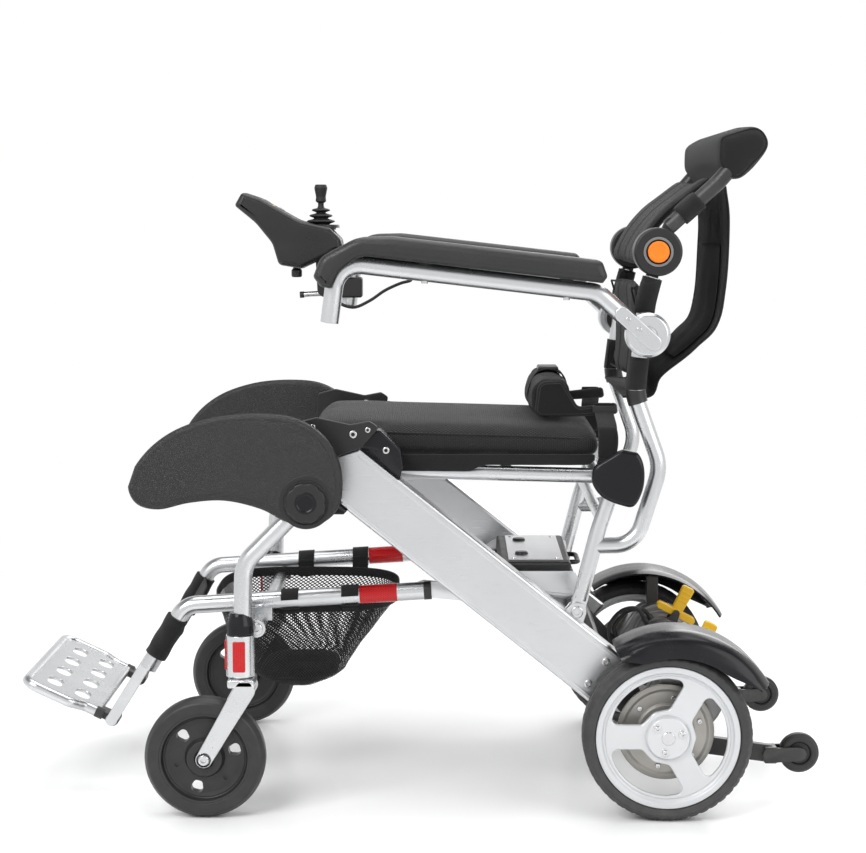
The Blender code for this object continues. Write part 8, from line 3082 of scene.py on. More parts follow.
    def wing(self, side: Side, inside: float) -> list[bpy.types.Object]:
        """One side of the belt: the padded wing along the seat, its stitching, and the strap to the rail with
        its slide.
        """
        bx, bz = self.sizes.belt
        sign = side.value
        corners = [
            (bx - 0.036, bz + 0.004, 0.010), (bx - 0.030, bz + 0.054, 0.014), (bx + 0.004, bz + 0.055, 0.008),
            (bx + 0.026, bz + 0.018, 0.008), (bx + 0.080, bz + 0.024, 0.005), (bx + 0.083, bz + 0.008, 0.005),
            (bx + 0.020, bz + 0.004, 0.010),
        ]
        outline = Bench.rounded(corners, 9)
        panel = Bench.plate("wing", outline, sign * inside, sign * (inside + 0.0095), 0.0042, fine=4)
        made = [self.coat(panel, Looks.CANVAS)]
        hem = [Vector((x + AXLE_X, sign * (inside + 0.0090), z)) for x, z in FrontLegs.drawn(outline, 0.0040)]
        made.append(
            self.coat(Bench.tube("stitching", [*hem, hem[0].lerp(hem[1], 0.4)], 0.0006, 2), Looks.THREAD)
        )
        rows = []
        for step in range(5):
            x = bx + 0.048 + 0.026 * step / 4
            places = [
                Vector((x, inside + 0.0112, bz + 0.024)), Vector((x + 0.001, inside + 0.0125, bz + 0.012)),
                Vector((x + 0.002, inside + 0.030, bz + 0.0040)), Vector((x + 0.003, 0.1790, bz - 0.0040)),
                Vector((x + 0.003, 0.1868, bz - 0.0130)), Vector((x + 0.003, 0.1872, bz - 0.0500)),
            ]
            rows.append(
                [Vector((place.x + AXLE_X, sign * place.y, place.z)) for place in self.smooth(places, 5)]
            )
        strap = Bench.skin("strap", rows, smooth=1)
        made.append(self.coat(Bench.thicken(strap, 0.0020), Looks.CANVAS_MAPPED))
        slide = Bench.block(
            "slide", (bx + 0.046, bx + 0.080), (sign * (inside + 0.0100), sign * (inside + 0.0150)),
            (bz + 0.010, bz + 0.020), 0.0016, 3,
        )
        made.append(self.coat(slide, Looks.PLASTIC))
        return made

    @staticmethod
    def smooth(path: list[Vector], steps: int) -> list[Vector]:
        """A smooth curve through a path's points."""
        ends = [path[0] * 2 - path[1], *path, path[-1] * 2 - path[-2]]
        made = []
        for a, b, c, d in zip(ends, ends[1:], ends[2:], ends[3:]):
            for step in range(steps):
                t = step / steps
                made.append(
                    0.5
                    * (
                        2 * b
                        + (c - a) * t
                        + (2 * a - 5 * b + 4 * c - d) * t * t
                        + (3 * b - a - 3 * c + d) * t**3
                    )
                )
        made.append(path[-1])
        return made


# ------------------------------------------------------------------ back
@dataclass(frozen=True)
class BackSizes:
    """The posts, canes, hinge discs and soft panels of the back, in metres."""

    cane_y: float = 0.200
    tube: float = 0.011
    bend: float = 0.060
    post_pivot: Place = (-0.1200, 0.2739)
    seat_rear: Place = (-0.0674, 0.4579)
    knee: Place = (-0.0915, 0.3850)
    cross: Place = (-0.0880, 0.4040)
    cross_tube: float = 0.008
    arm_pivot: Place = (-0.031, 0.660)
    arm_y: float = 0.255
    pin: float = 0.0055
    hinge: Place = (-0.0135, 0.7700)
    disc: float = 0.033
    disc_in: float = 0.1835
    disc_wide: float = 0.034
    shaft: float = 0.007
    pin_reach: float = 0.0075
    button: float = 0.0150
    proud: float = 0.0045
    seat: float = 0.2090
    travel: float = 0.004
    upper_knee: Place = (0.0010, 0.8030)
    neck: Place = (0.0680, 0.8640)
    head_bar: Place = (0.0990, 0.9000)
    sling_half: float = 0.1815
    sling_thick: float = 0.011
    sag: float = 0.020
    upper_thick: float = 0.014
    head_half: float = 0.216
    pouch_half: float = 0.165
    gap: float = 0.0013


class Back(Assembly):
    """The back: posts and canes, folding discs, padded slings, the rear pouch and the head pad."""

    CANE = (
        (-0.096, 0.3650), (-0.040, 0.3660), (-0.006, 0.4750), (-0.042, 0.5750), (-0.029, 0.7000),
        (-0.0195, 0.7355),
    )
    LOWER = ((-0.0545, 0.5880), (-0.0510, 0.6030), (-0.0480, 0.6450), (-0.0520, 0.7000), (-0.0545, 0.7230))
    LOWER_SLEEVES = ((0.5820, 0.6260), (0.6860, 0.7345))
    UPPER = (
        (-0.0520, 0.7530), (-0.0480, 0.7720), (-0.0300, 0.8050), (-0.0060, 0.8330), (0.0180, 0.8520),
        (0.0550, 0.8800),
    )
    UPPER_SLEEVE = (0.24, 0.62)
    POUCH_OUTSIDE = (
        (0.0800, 0.8590), (0.0850, 0.7900), (0.0765, 0.6830), (0.0480, 0.6420), (-0.0050, 0.5975),
        (-0.0180, 0.5720), (-0.0560, 0.5712),
    )
    HEAD = (
        (0.0800, 0.8650, 0.008), (0.0980, 0.8655, 0.014), (0.1430, 0.9150, 0.020), (0.1240, 0.9450, 0.020),
        (0.0650, 0.9270, 0.010), (0.0640, 0.8890, 0.010),
    )
    CAP = (
        (0.0080, 0.0430), (0.0270, 0.0395), (0.0365, 0.0200), (0.0360, -0.0090), (0.0240, -0.0340),
        (0.0050, -0.0330), (-0.0200, -0.0220), (-0.0340, -0.0020), (-0.0310, 0.0190), (-0.0130, 0.0320),
    )

    def __init__(self, paint: Paintshop, sizes: BackSizes = BackSizes()) -> None:
        super().__init__(paint)
        self.sizes = sizes

    def build(self) -> None:
        present(self.posts(), "back_frame", None, ("back_posts",))
        present(self.upper(), "upper_back", None, ("upper_back",))
        for side in Side:
            present(
                self.button(side), "release_button_" + side.tag, self.paint.of(Looks.ORANGE),
                ("release_button_" + side.tag,),
            )
            present(self.cap(side), "back_frame", None, ("rear_cap_" + side.tag,))
        self.sling(
            "lower_panel", self.LOWER, self.sizes.sling_thick, self.sizes.sag, "back_frame",
            "back_sling_lower",
        )
        self.sling(
            "upper_panel", self.UPPER, self.sizes.upper_thick, self.sizes.sag * 0.6, "upper_back",
            "back_sling_upper",
        )
        self.pouch()
        self.head_pad()

    def cane(self, y: float) -> list[Vector]:
        """The rear cane's path, out from the post, round its heel and up to the disc."""
        return Bench.bent(Bench.beside(list(self.CANE), y), self.sizes.bend, 4)

    @staticmethod
    def stretch(path: list[Vector], low: float, high: float) -> list[Vector]:
        """The part of an upward path between two heights."""
        points = []
        for start, end in zip(path, path[1:]):
            if end.z <= start.z:
                continue
            first = max(0.0, (low - start.z) / (end.z - start.z))
            last = min(1.0, (high - start.z) / (end.z - start.z))
            if first < last:
                if not points:
                    points.append(start.lerp(end, first))
                points.append(start.lerp(end, last))
        return points

    def disc(self, side: Side, low: float, high: float, outer: bool) -> bpy.types.Object:
        """One half of the folding disc, eased on its free face."""
        size = self.sizes
        if outer:
            recess = size.button + 0.0016
            profile = [
                (0.0, low, 0.0), (size.disc, low, 0.0008), (size.disc, high, 0.0035),
                (recess + 0.0042, high, 0.0006), (recess + 0.0042, high - 0.0016, 0.0004),
                (recess, high - 0.0016, 0.0006), (recess, size.seat, 0.0), (0.0, size.seat, 0.0),
            ]
        else:
            profile = [(0.0, low, 0.0), (size.disc, low, 0.0035), (size.disc, high, 0.0008), (0.0, high, 0.0)]
        return Bench.turned("disc", profile, size.hinge, side.value, steps=80)

    def posts(self) -> bpy.types.Object:
        """The posts, the canes behind them, the cross tube, the arm bosses and the inner discs."""
        size = self.sizes
        across = [Vector((size.cross[0] + AXLE_X, y, size.cross[1])) for y in (-size.cane_y, size.cane_y)]
        parts = [self.coat(Bench.tube("cross", across, size.cross_tube, 6), Looks.SILVER)]
        reach = (Vector(size.seat_rear) - Vector(size.post_pivot)).normalized()
        base = Vector(size.post_pivot) + reach * (0.013 + 0.0035)
        boss_out = size.arm_y - 0.0155
        mid = size.cane_y - 0.00015
        for side in Side:
            sign = side.value
            y = sign * size.cane_y
            path = Bench.bent(Bench.beside([tuple(base), size.knee, size.seat_rear], y), 0.20, 4)
            parts.append(self.coat(Bench.tube("post", path, size.tube, 7), Looks.SILVER))
            hole = Bench.circle(size.post_pivot, size.pin + 0.0004, 24)
            foot = Bench.oblong(
                size.post_pivot, tuple(base + reach * 0.010), size.tube, size.tube - 0.0008, 16
            )
            parts.append(
                self.coat(
                    Bench.plate(
                        "foot", foot, sign * (size.cane_y - 0.0075), sign * (size.cane_y + 0.0075), 0.0012,
                        (hole,),
                    ),
                    Looks.SILVER,
                )
            )
            cane = self.cane(y)
            parts.append(self.coat(Bench.tube("cane", cane, size.tube, 7), Looks.SILVER))
            eye = [
                (size.pin + 0.0004, size.cane_y - size.tube, 0.0),
                (size.tube + 0.003, size.cane_y - size.tube - 0.0003, 0.001),
                (size.tube + 0.003, size.cane_y + size.tube + 0.0003, 0.001),
                (size.pin + 0.0004, size.cane_y + size.tube + 0.0003, 0.0),
            ]
            parts.append(
                self.coat(Bench.turned("eye", eye, size.seat_rear, sign, steps=BOSS_STEPS), Looks.SILVER)
            )
            collar = self.stretch(cane, 0.563, 0.581)
            parts.append(self.coat(Bench.tube("collar", collar, size.tube + 0.0028, 7), Looks.PLASTIC))
            boss = [
                (0.0, size.cane_y - 0.003, 0.0), (0.021, size.cane_y - 0.003, 0.0015),
                (0.021, boss_out, 0.0012), (0.0, boss_out, 0.0),
            ]
            parts.append(
                self.coat(
                    Bench.turned("arm_boss", boss, size.arm_pivot, sign, steps=DOME_STEPS), Looks.PLASTIC
                )
            )
            parts.append(
                self.coat(
                    Bench.pin(
                        "arm_pin",
                        size.arm_pivot,
                        size.pin,
                        boss_out - 0.002,
                        size.arm_y + 0.009,
                        steps=STUD_STEPS,
                        side=sign,
                    ),
                    Looks.STEEL,
                )
            )
            parts.append(self.coat(self.disc(side, size.disc_in, mid, False), Looks.PLASTIC))
            tip = cane[-1]
            neck = Bench.oblong((tip.x - AXLE_X - 0.004, tip.z - 0.018), size.hinge, 0.0085, 0.0085, 14)
            parts.append(
                self.coat(
                    Bench.plate(
                        "neck", neck, sign * (size.cane_y - size.tube + 0.001), sign * (mid - 0.0002), 0.0015
                    ),
                    Looks.PLASTIC,
                )
            )
            parts.append(
                self.coat(
                    Bench.pin(
                        "shaft",
                        size.hinge,
                        size.shaft,
                        mid - 0.002,
                        size.cane_y + size.pin_reach,
                        steps=STUD_STEPS,
                        side=sign,
                    ),
                    Looks.STEEL,
                )
            )
        return Bench.join("posts_and_canes", parts)

    def upper_line(self) -> list[Vector]:
        """The upper tube's route: up one side, across inside the head pad and down the other."""
        size = self.sizes
        near = Bench.beside([size.upper_knee, size.neck, size.head_bar], -size.cane_y)
        return Bench.bent(near + [Vector((place.x, -place.y, place.z)) for place in near[::-1]], 0.028, 5)

    def upper(self) -> bpy.types.Object:
        """The upper tube with the outer halves of the discs and the rings round their buttons."""
        size = self.sizes
        mid = size.cane_y + 0.00015
        out = size.disc_in + size.disc_wide
        parts = [self.coat(Bench.tube("upper_tube", self.upper_line(), size.tube, 7), Looks.STEEL_BLACK)]
        start, hinge = Vector(size.upper_knee), Vector(size.hinge)
        toward = (start - hinge).normalized()
        for side in Side:
            sign = side.value
            parts.append(self.coat(self.disc(side, mid, out, True), Looks.PLASTIC))
            neck = Bench.oblong(tuple(start + toward * 0.006), size.hinge, 0.0085, 0.0085, 14)
            cheek = Bench.plate("neck", neck, sign * (mid + 0.0002), sign * (size.cane_y + 0.0085), 0.0015,
                                (Bench.circle(size.hinge, size.shaft + 0.0006, 24),))
            parts.append(self.coat(cheek, Looks.PLASTIC))
            recess = size.button + 0.0018
            ring = [
                (recess, out - 0.0015, 0.0), (recess, out + 0.0005, 0.0004),
                (recess + 0.0036, out + 0.0005, 0.0006), (recess + 0.0036, out - 0.0015, 0.0),
            ]
            parts.append(
                self.coat(Bench.turned("ring", ring, size.hinge, sign, steps=DOME_STEPS), Looks.KEY_GREY)
            )
        return Bench.join("upper_frame", parts)

    def button(self, side: Side) -> bpy.types.Object:
        """The round release button, dished in its middle."""
        size = self.sizes
        low = size.seat + size.travel + 0.0010
        high = size.disc_in + size.disc_wide + size.proud
        profile = [
            (0.0, low, 0.0), (size.button - 0.0004, low, 0.0), (size.button - 0.0004, high - 0.0006, 0.0014),
            (0.0105, high, 0.0015), (0.0080, high - 0.0008, 0.0015), (0.0, high - 0.0011, 0.0),
        ]
        return Bench.turned("button_" + side.tag, profile, size.hinge, side.value, steps=COLLAR_STEPS)

    def cap(self, side: Side) -> bpy.types.Object:
        """The rounded cover over the seat's rear pivot."""
        size = self.sizes
        low = size.cane_y + size.tube + 0.0006
        places = [Vector((size.seat_rear[0] + x, size.seat_rear[1] + z)) for x, z in self.CAP]
        flowing = Seat.smooth([*places, *places[:3]], 6)
        outline = [tuple(place) for place in flowing[6:-12]]
        shell = Bench.plate("shell", outline, side.value * low, side.value * (low + 0.0186), 0.0060, fine=6)
        parts = [self.coat(shell, Looks.GLOSS)]
        return Bench.join("pivot_cover_" + side.tag, parts)

    def sling(
        self, name: str, front: tuple[Place, ...], thick: float, sag: float, body: str, node: str
    ) -> None:
        """One padded back panel: swollen by simulation, with sewn channels, bound edges and sleeves."""
        size = self.sizes
        line = Seat.smooth([Vector((x, 0.0, z)) for x, z in front], 4)
        back = []
        for index, place in enumerate(line):
            run = (line[min(index + 1, len(line) - 1)] - line[max(index - 1, 0)]).normalized()
            back.append(Vector((run.z, 0.0, -run.x)))
        rows, channels, edges = [], [], [[], []]
        half = size.sling_half - 0.0022
        for step in range(41):
            share = -1 + 2 * step / 40
            drop = sag * (1 - share**2)
            full = (thick - 0.0016) * (0.40 + 0.60 * (1 - abs(share) ** 6))
            inner = [place + way * (drop + thick - full) for place, way in zip(line, back)]
            outer = [place + way * (drop + thick - 0.0010) for place, way in zip(line, back)]
            ring = [Vector((place.x + AXLE_X, share * half, place.z)) for place in inner + outer[::-1]]
            rows.append(ring)
            for index, rim in ((0, edges[0]), (-1, edges[1])):
                spot = line[index] + back[index] * (drop + thick - full / 2)
                rim.append(Vector((spot.x + AXLE_X, share * half, spot.z)))
        pad = Bench.skin(name, rows, loop=True, capped=True)
        Upholstery.stuff(pad, 0.005, 2.5, 0.0028)
        for share in (-0.62, -0.21, 0.21, 0.62):
            drop = sag * (1 - share**2)
            channels.append(
                [
                    Vector((place.x + way.x * drop + AXLE_X, share * half, place.z + way.z * drop))
                    for place, way in zip(line, back)
                ]
            )
        for channel in channels:
            Upholstery.groove(pad, channel, 0.007, 0.0026)
        present(pad, body, self.paint.of(Looks.CANVAS), (node,))
        parts = [Upholstery.piping(pad, rim, 0.0016, "binding") for rim in edges]
        for sign in (-1, 1):
            side_rim = [
                Vector((place.x + way.x * thick * 0.7 + AXLE_X, sign * half, place.z + way.z * thick * 0.7))
                for place, way in zip(line, back)
            ]
            parts.append(Upholstery.piping(pad, side_rim, 0.0016, "binding"))
        parts += self.sleeves(node)
        present(Bench.join(name + "_binding", parts), body, self.paint.of(Looks.WEBBING), ())

    def sleeves(self, node: str) -> list[bpy.types.Object]:
        """The cloth sleeves that hold a panel to its tubes, with the ties between."""
        size = self.sizes
        made = []
        for sign in (-1, 1):
            y = sign * size.cane_y
            if node == "back_sling_lower":
                cane = self.cane(y)
                routes = [self.stretch(cane, low, high) for low, high in self.LOWER_SLEEVES]
                forward = Vector((-0.022, 0.0, 0.0))
            else:
                start, neck = Vector(size.upper_knee), Vector(size.neck)
                low, high = start.lerp(neck, self.UPPER_SLEEVE[0]), start.lerp(neck, self.UPPER_SLEEVE[1])
                routes = [[Vector((spot.x + AXLE_X, y, spot.y)) for spot in (low, low.lerp(high, 0.5), high)]]
                run = (neck - start).normalized()
                forward = Vector((-run.y, 0.0, run.x)) * 0.024
            for route in routes:
                made.append(self.wrapped(route, size.tube + size.gap + 0.0008))
                tie_rows = []
                for spot in (route[0], route[len(route) // 2], route[-1]):
                    inner = Vector((spot.x, sign * (size.sling_half - 0.006), spot.z)) + forward * 0.55
                    outer = Vector(
                        (spot.x, sign * (size.cane_y - size.tube - 0.0016), spot.z)
                    ) + forward * 0.05
                    tie_rows.append([inner, inner.lerp(outer, 0.5) + forward * 0.1, outer])
                tie = Bench.skin("tie", tie_rows, smooth=1)
                made.append(Bench.thicken(tie, 0.0018))
        return made

    @staticmethod
    def wrapped(route: list[Vector], radius: float) -> bpy.types.Object:
        """A cloth sleeve round a tube, with soft uneven folds."""
        rows = []
        count = max(6, len(route))
        for step in range(count + 1):
            far = step / count * (len(route) - 1)
            index = min(int(far), len(route) - 2)
            spot = route[index].lerp(route[index + 1], far - index)
            run = (route[index + 1] - route[index]).normalized()
            side = Vector((0.0, 1.0, 0.0))
            other = run.cross(side)
            ring = []
            for turn_index in range(36):
                turn = math.tau * turn_index / 36
                wide = radius + 0.0004 * math.sin(4 * turn + step * 0.8)
                ring.append(spot + side * (wide * math.cos(turn)) + other * (wide * math.sin(turn)))
            rows.append(ring)
        sleeve = Bench.skin("sleeve", rows, loop=True)
        return Bench.thicken(sleeve, 0.0018)

    def pouch(self) -> None:
        """The cloth behind the back: a slack sheet with bound sides, a flat pocket and its zip."""
        size = self.sizes
        line = Seat.smooth([Vector((x, 0.0, z)) for x, z in self.POUCH_OUTSIDE], 8)
        ways = []
        for index in range(len(line)):
            run = (line[min(index + 1, len(line) - 1)] - line[max(index - 1, 0)]).normalized()
            ways.append(Vector((run.z, 0.0, -run.x)))
        rows, sides = [], [[], []]
        for step in range(49):
            share = -1 + 2 * step / 48
            row = []
            for index, (place, way) in enumerate(zip(line, ways)):
                far = index / (len(line) - 1)
                hang = 0.0035 * (1 - share**2) * math.sin(math.pi * min(1.0, far * 1.15))
                crease = noise.noise(Vector((share * 4.2, far * 7.5, 1.7))) * 0.0022
                fold = 0.0011 * math.sin(11 * share + 6 * far) * math.sin(math.pi * far)
                spot = place - way * (0.0016 - hang * 0.3 + abs(crease) + fold)
                row.append(Vector((spot.x + AXLE_X, share * size.pouch_half, spot.z)))
            rows.append(row)
            if step in (0, 48):
                sides[step // 48] = list(row)
        cloth = Bench.skin("pouch_cloth", rows, smooth=1)
        parts = [self.coat(Bench.tube("binding", side, 0.0020, 3), Looks.WEBBING) for side in sides]
        first, last = int(len(line) * 0.20), int(len(line) * 0.60)
        pocket_rows = [row[first:last] for row in rows[8:41]]
        lifted = []
        for number, row in enumerate(pocket_rows):
            edge = min(number, len(pocket_rows) - 1 - number) / 4
            out = []
            for index, point in enumerate(row):
                rim = min(1.0, edge, min(index, len(row) - 1 - index) / 3)
                way = ways[first + index]
                out.append(point - way * (-0.0022 - 0.0026 * rim))
            lifted.append(out)
        pocket = Bench.skin("pocket", lifted, smooth=1)
        parts.append(self.coat(Bench.thicken(pocket, 0.0014), Looks.CANVAS_MAPPED))
        zip_line = [row[3] + Vector((0.0024, 0.0, 0.0)) for row in lifted[3:-3]]
        parts.append(self.coat(Bench.tube("zip", zip_line, 0.0016, 3), Looks.THREAD))
        Bench.thicken(cloth, 0.0016)
        present(cloth, "back_frame", self.paint.of(Looks.CANVAS_MAPPED), ("rear_pouch",))
        trim = Bench.join("pouch_trim", parts)
        present(trim, "back_frame", None, ())

    def head_pad(self) -> None:
        """The padded roll over the top bar, stuffed by simulation, with piped ends and a seam below."""
        size = self.sizes
        outline = Bench.rounded(list(self.HEAD), 8)
        centre = Vector((sum(x for x, _ in outline), sum(z for _, z in outline))) / len(outline)
        rows = []
        shares = [-1.0, -0.985, -0.96, -0.92] + [
            -0.88 + 1.76 * step / 34 for step in range(35)
        ] + [0.92, 0.96, 0.985, 1.0]
        for share in shares:
            end = abs(share)
            scale = 0.955 if end < 0.9 else 0.955 - 0.16 * ((end - 0.9) / 0.1) ** 2.2
            ring = []
            for x, z in outline:
                spot = centre + (Vector((x, z)) - centre) * scale
                ring.append(Vector((spot.x + AXLE_X, share * (size.head_half - 0.0025), spot.y)))
            rows.append(ring)
        pad = Bench.skin("head_roll", rows, loop=True, capped=True)
        Upholstery.stuff(pad, 0.006, 3.0, 0.0035)
        present(pad, "upper_back", self.paint.of(Looks.CANVAS), ("head_pad",))
        parts = []
        for sign in (-1, 1):
            ring = [
                Vector(
                    (
                        centre.x + AXLE_X + (x - centre.x) * 0.93,
                        sign * (size.head_half - 0.007),
                        centre.y + (z - centre.y) * 0.93,
                    )
                )
                for x, z in outline
            ]
            ring.append(ring[0])
            parts.append(Upholstery.piping(pad, ring, 0.0017))
        seam = [Vector((0.083 + AXLE_X, y * 0.0205, 0.866)) for y in range(-10, 11)]
        parts.append(Upholstery.piping(pad, seam, 0.0012, "seam"))
        present(Bench.join("head_piping", parts), "upper_back", self.paint.of(Looks.CANVAS), ())


# ------------------------------------------------------------------ arms and controller
@dataclass(frozen=True)
class ArmSizes:
    """The arm tubes, their pads and the controller, in metres."""

    y: float = 0.255
    tube: float = 0.0125
    bend: float = 0.034
    pivot: Place = (-0.031, 0.660)
    disc: float = 0.030
    pin: float = 0.0055
    pad_half: float = 0.030
    case_half: float = 0.037
    stick: Place = (-0.5010, 0.8040)
    well: float = 0.0262
    well_depth: float = 0.0185
    ball: float = 0.0160
    stick_high: float = 0.0650
    ring_out: float = 0.0238
    ring_in: float = 0.0192
    clamp: float = -0.4545
    clamp_low: float = 0.690
    clamp_high: float = 0.722
    cable: float = 0.0025
    key_depth: float = 0.0045
    key_proud: float = 0.0016


class Arms(Assembly):
    """Both arm tubes with their pads."""

    ROUTE = ((-0.4575, 0.6760), (-0.4470, 0.7570), (-0.0980, 0.7165), (-0.0330, 0.6580))
    UNDER = ((-0.3700, 0.7608), (-0.0930, 0.7295))
    PAD = (
        (-0.4780, 0.7380, 0.006),
        (-0.4680, 0.7640, 0.024),
        (-0.4200, 0.7900, 0.050),
        (-0.3750, 0.7930, 0.080),
        (-0.0940, 0.7610, 0.010),
        (-0.0865, 0.7380, 0.006),
        (-0.0930, 0.7295, 0.003),
        (-0.3700, 0.7608, 0.060),
        (-0.4150, 0.7660, 0.030),
        (-0.4420, 0.7460, 0.020),
        (-0.4540, 0.7220, 0.004),
        (-0.4680, 0.7250, 0.006),
    )

    def __init__(self, paint: Paintshop, sizes: ArmSizes = ArmSizes()) -> None:
        super().__init__(paint)
        self.sizes = sizes

    def build(self) -> None:
        for side in Side:
            body = "armrest_" + side.tag
            present(self.tube(side), body, None, (body,))
            pad = self.pad(side)
            present(pad, body, self.paint.of(Looks.VINYL), ("arm_pad_" + side.tag,))

    def under(self, x: float) -> float:
        """The height of the pad's flat underside."""
        (x0, z0), (x1, z1) = self.UNDER
        return z0 + (z1 - z0) * (x - x0) / (x1 - x0)

    def tube(self, side: Side) -> bpy.types.Object:
        """The bent arm tube with its hub and the pad's studs; its front end looks open through a black disc
        of painted shade.
        """
        size, sign = self.sizes, side.value
        y = sign * size.y
        path = Bench.bent(Bench.beside(list(self.ROUTE), y), size.bend, 5)
        parts = [self.coat(Bench.tube("arm", path, size.tube, 7), Looks.SILVER)]
        run = (path[0] - path[1]).normalized()
        # Painted shade: a black disc just inside the tube's rim stands for the shaded hollow of its open
        # front end.
        bore = [path[0] + run * 0.0003, path[0] - run * 0.0010]
        parts.append(self.coat(Bench.tube("bore", bore, size.tube - 0.0022, 7), Looks.PLASTIC))
        low = size.y - 0.0150
        hub = [
            (size.pin + 0.0004, low, 0.0), (size.disc - 0.002, low, 0.0015), (size.disc, low + 0.003, 0.002),
            (size.disc, size.y + 0.0095, 0.0015),
        ]
        hub += [
            (size.disc - 0.004, size.y + 0.0135, 0.003), (0.0125, size.y + 0.0135, 0.001),
            (0.0115, size.y + 0.0120, 0.001), (0.0, size.y + 0.0120, 0.0),
        ]
        parts.append(self.coat(Bench.turned("hub", hub, size.pivot, sign, steps=DISC_STEPS), Looks.SILVER))
        cap = [
            (0.0, size.y + 0.0115, 0.0), (0.0105, size.y + 0.0115, 0.0), (0.0100, size.y + 0.0130, 0.0006),
            (0.0, size.y + 0.0133, 0.0),
        ]
        parts.append(self.coat(Bench.turned("cap", cap, size.pivot, sign, steps=HUB_STEPS), Looks.SILVER))
        first, last = Vector(self.ROUTE[2]), Vector(self.ROUTE[3])
        run = (last - first).normalized()
        tongue = Bench.oblong(tuple(last - run * 0.044), tuple(last + run * 0.012), 0.0105, 0.0105, 14)
        parts.append(
            self.coat(
                Bench.plate("tongue", tongue, sign * (size.y + 0.0110), sign * (size.y + 0.0165), 0.0016),
                Looks.SILVER,
            )
        )
        for far in (-0.034, -0.014):
            at = last + run * far
            parts.append(
                self.coat(
                    Bench.screw("tongue_bolt", tuple(at), 0.0038, size.y + 0.0155, size.y + 0.0185, sign),
                    Looks.STEEL,
                )
            )
        for x in (-0.330, -0.140):
            share = (x - self.ROUTE[1][0]) / (self.ROUTE[2][0] - self.ROUTE[1][0])
            floor = self.ROUTE[1][1] + (self.ROUTE[2][1] - self.ROUTE[1][1]) * share
            stud = [
                (x - 0.009, floor + 0.001), (x + 0.009, floor - 0.001),
                (x + 0.009, self.under(x + 0.009) - 0.0004), (x - 0.009, self.under(x - 0.009) - 0.0004),
            ]
            parts.append(self.coat(Bench.plate("stud", stud, y - 0.007, y + 0.007, 0.001), Looks.PLASTIC))
            screw = Bench.turned(
                "pad_screw",
                [
                    (0.0, floor - 0.0150), (0.0042, floor - 0.0150), (0.0048, floor - 0.0125),
                    (0.0048, floor - 0.0105), (0.0, floor - 0.0105),
                ],
                (x, y),
                around=Around.UPRIGHT,
                steps=PIN_STEPS,
            )
            parts.append(self.coat(screw, Looks.STEEL))
        if side is Side.RIGHT:
            grommet, toward = Controller.cable_end()
            parts.append(
                self.coat(
                    Bench.tube("grommet", [grommet, grommet + toward * 0.016], 0.0045, 4), Looks.PLASTIC
                )
            )
        return Bench.join("arm_tube_" + side.tag, parts)

    def pad(self, side: Side) -> bpy.types.Object:
        """The moulded soft pad: flat beneath, crowned on top and turned down over the front bend."""
        size = self.sizes
        y = side.value * size.y
        outline = Bench.rounded([(*place, ) for place in self.PAD], 6)
        pad = Bench.plate("pad", outline, y - size.pad_half, y + size.pad_half, 0.0095, fine=6)
        for vertex in pad.data.vertices:
            x = vertex.co.x - AXLE_X
            across = (vertex.co.y - y) / size.pad_half
            if -0.40 < x < -0.09 and vertex.co.z > self.under(x) + 0.018:
                vertex.co.z -= 0.0026 * across**2
        route = Bench.tube(
            "channel", Bench.bent(Bench.beside(list(self.ROUTE), y), size.bend, 5), size.tube + 0.0005, 7
        )
        Bench.cut(pad, [route])
        pad.name = "arm_cushion_" + side.tag
        return pad


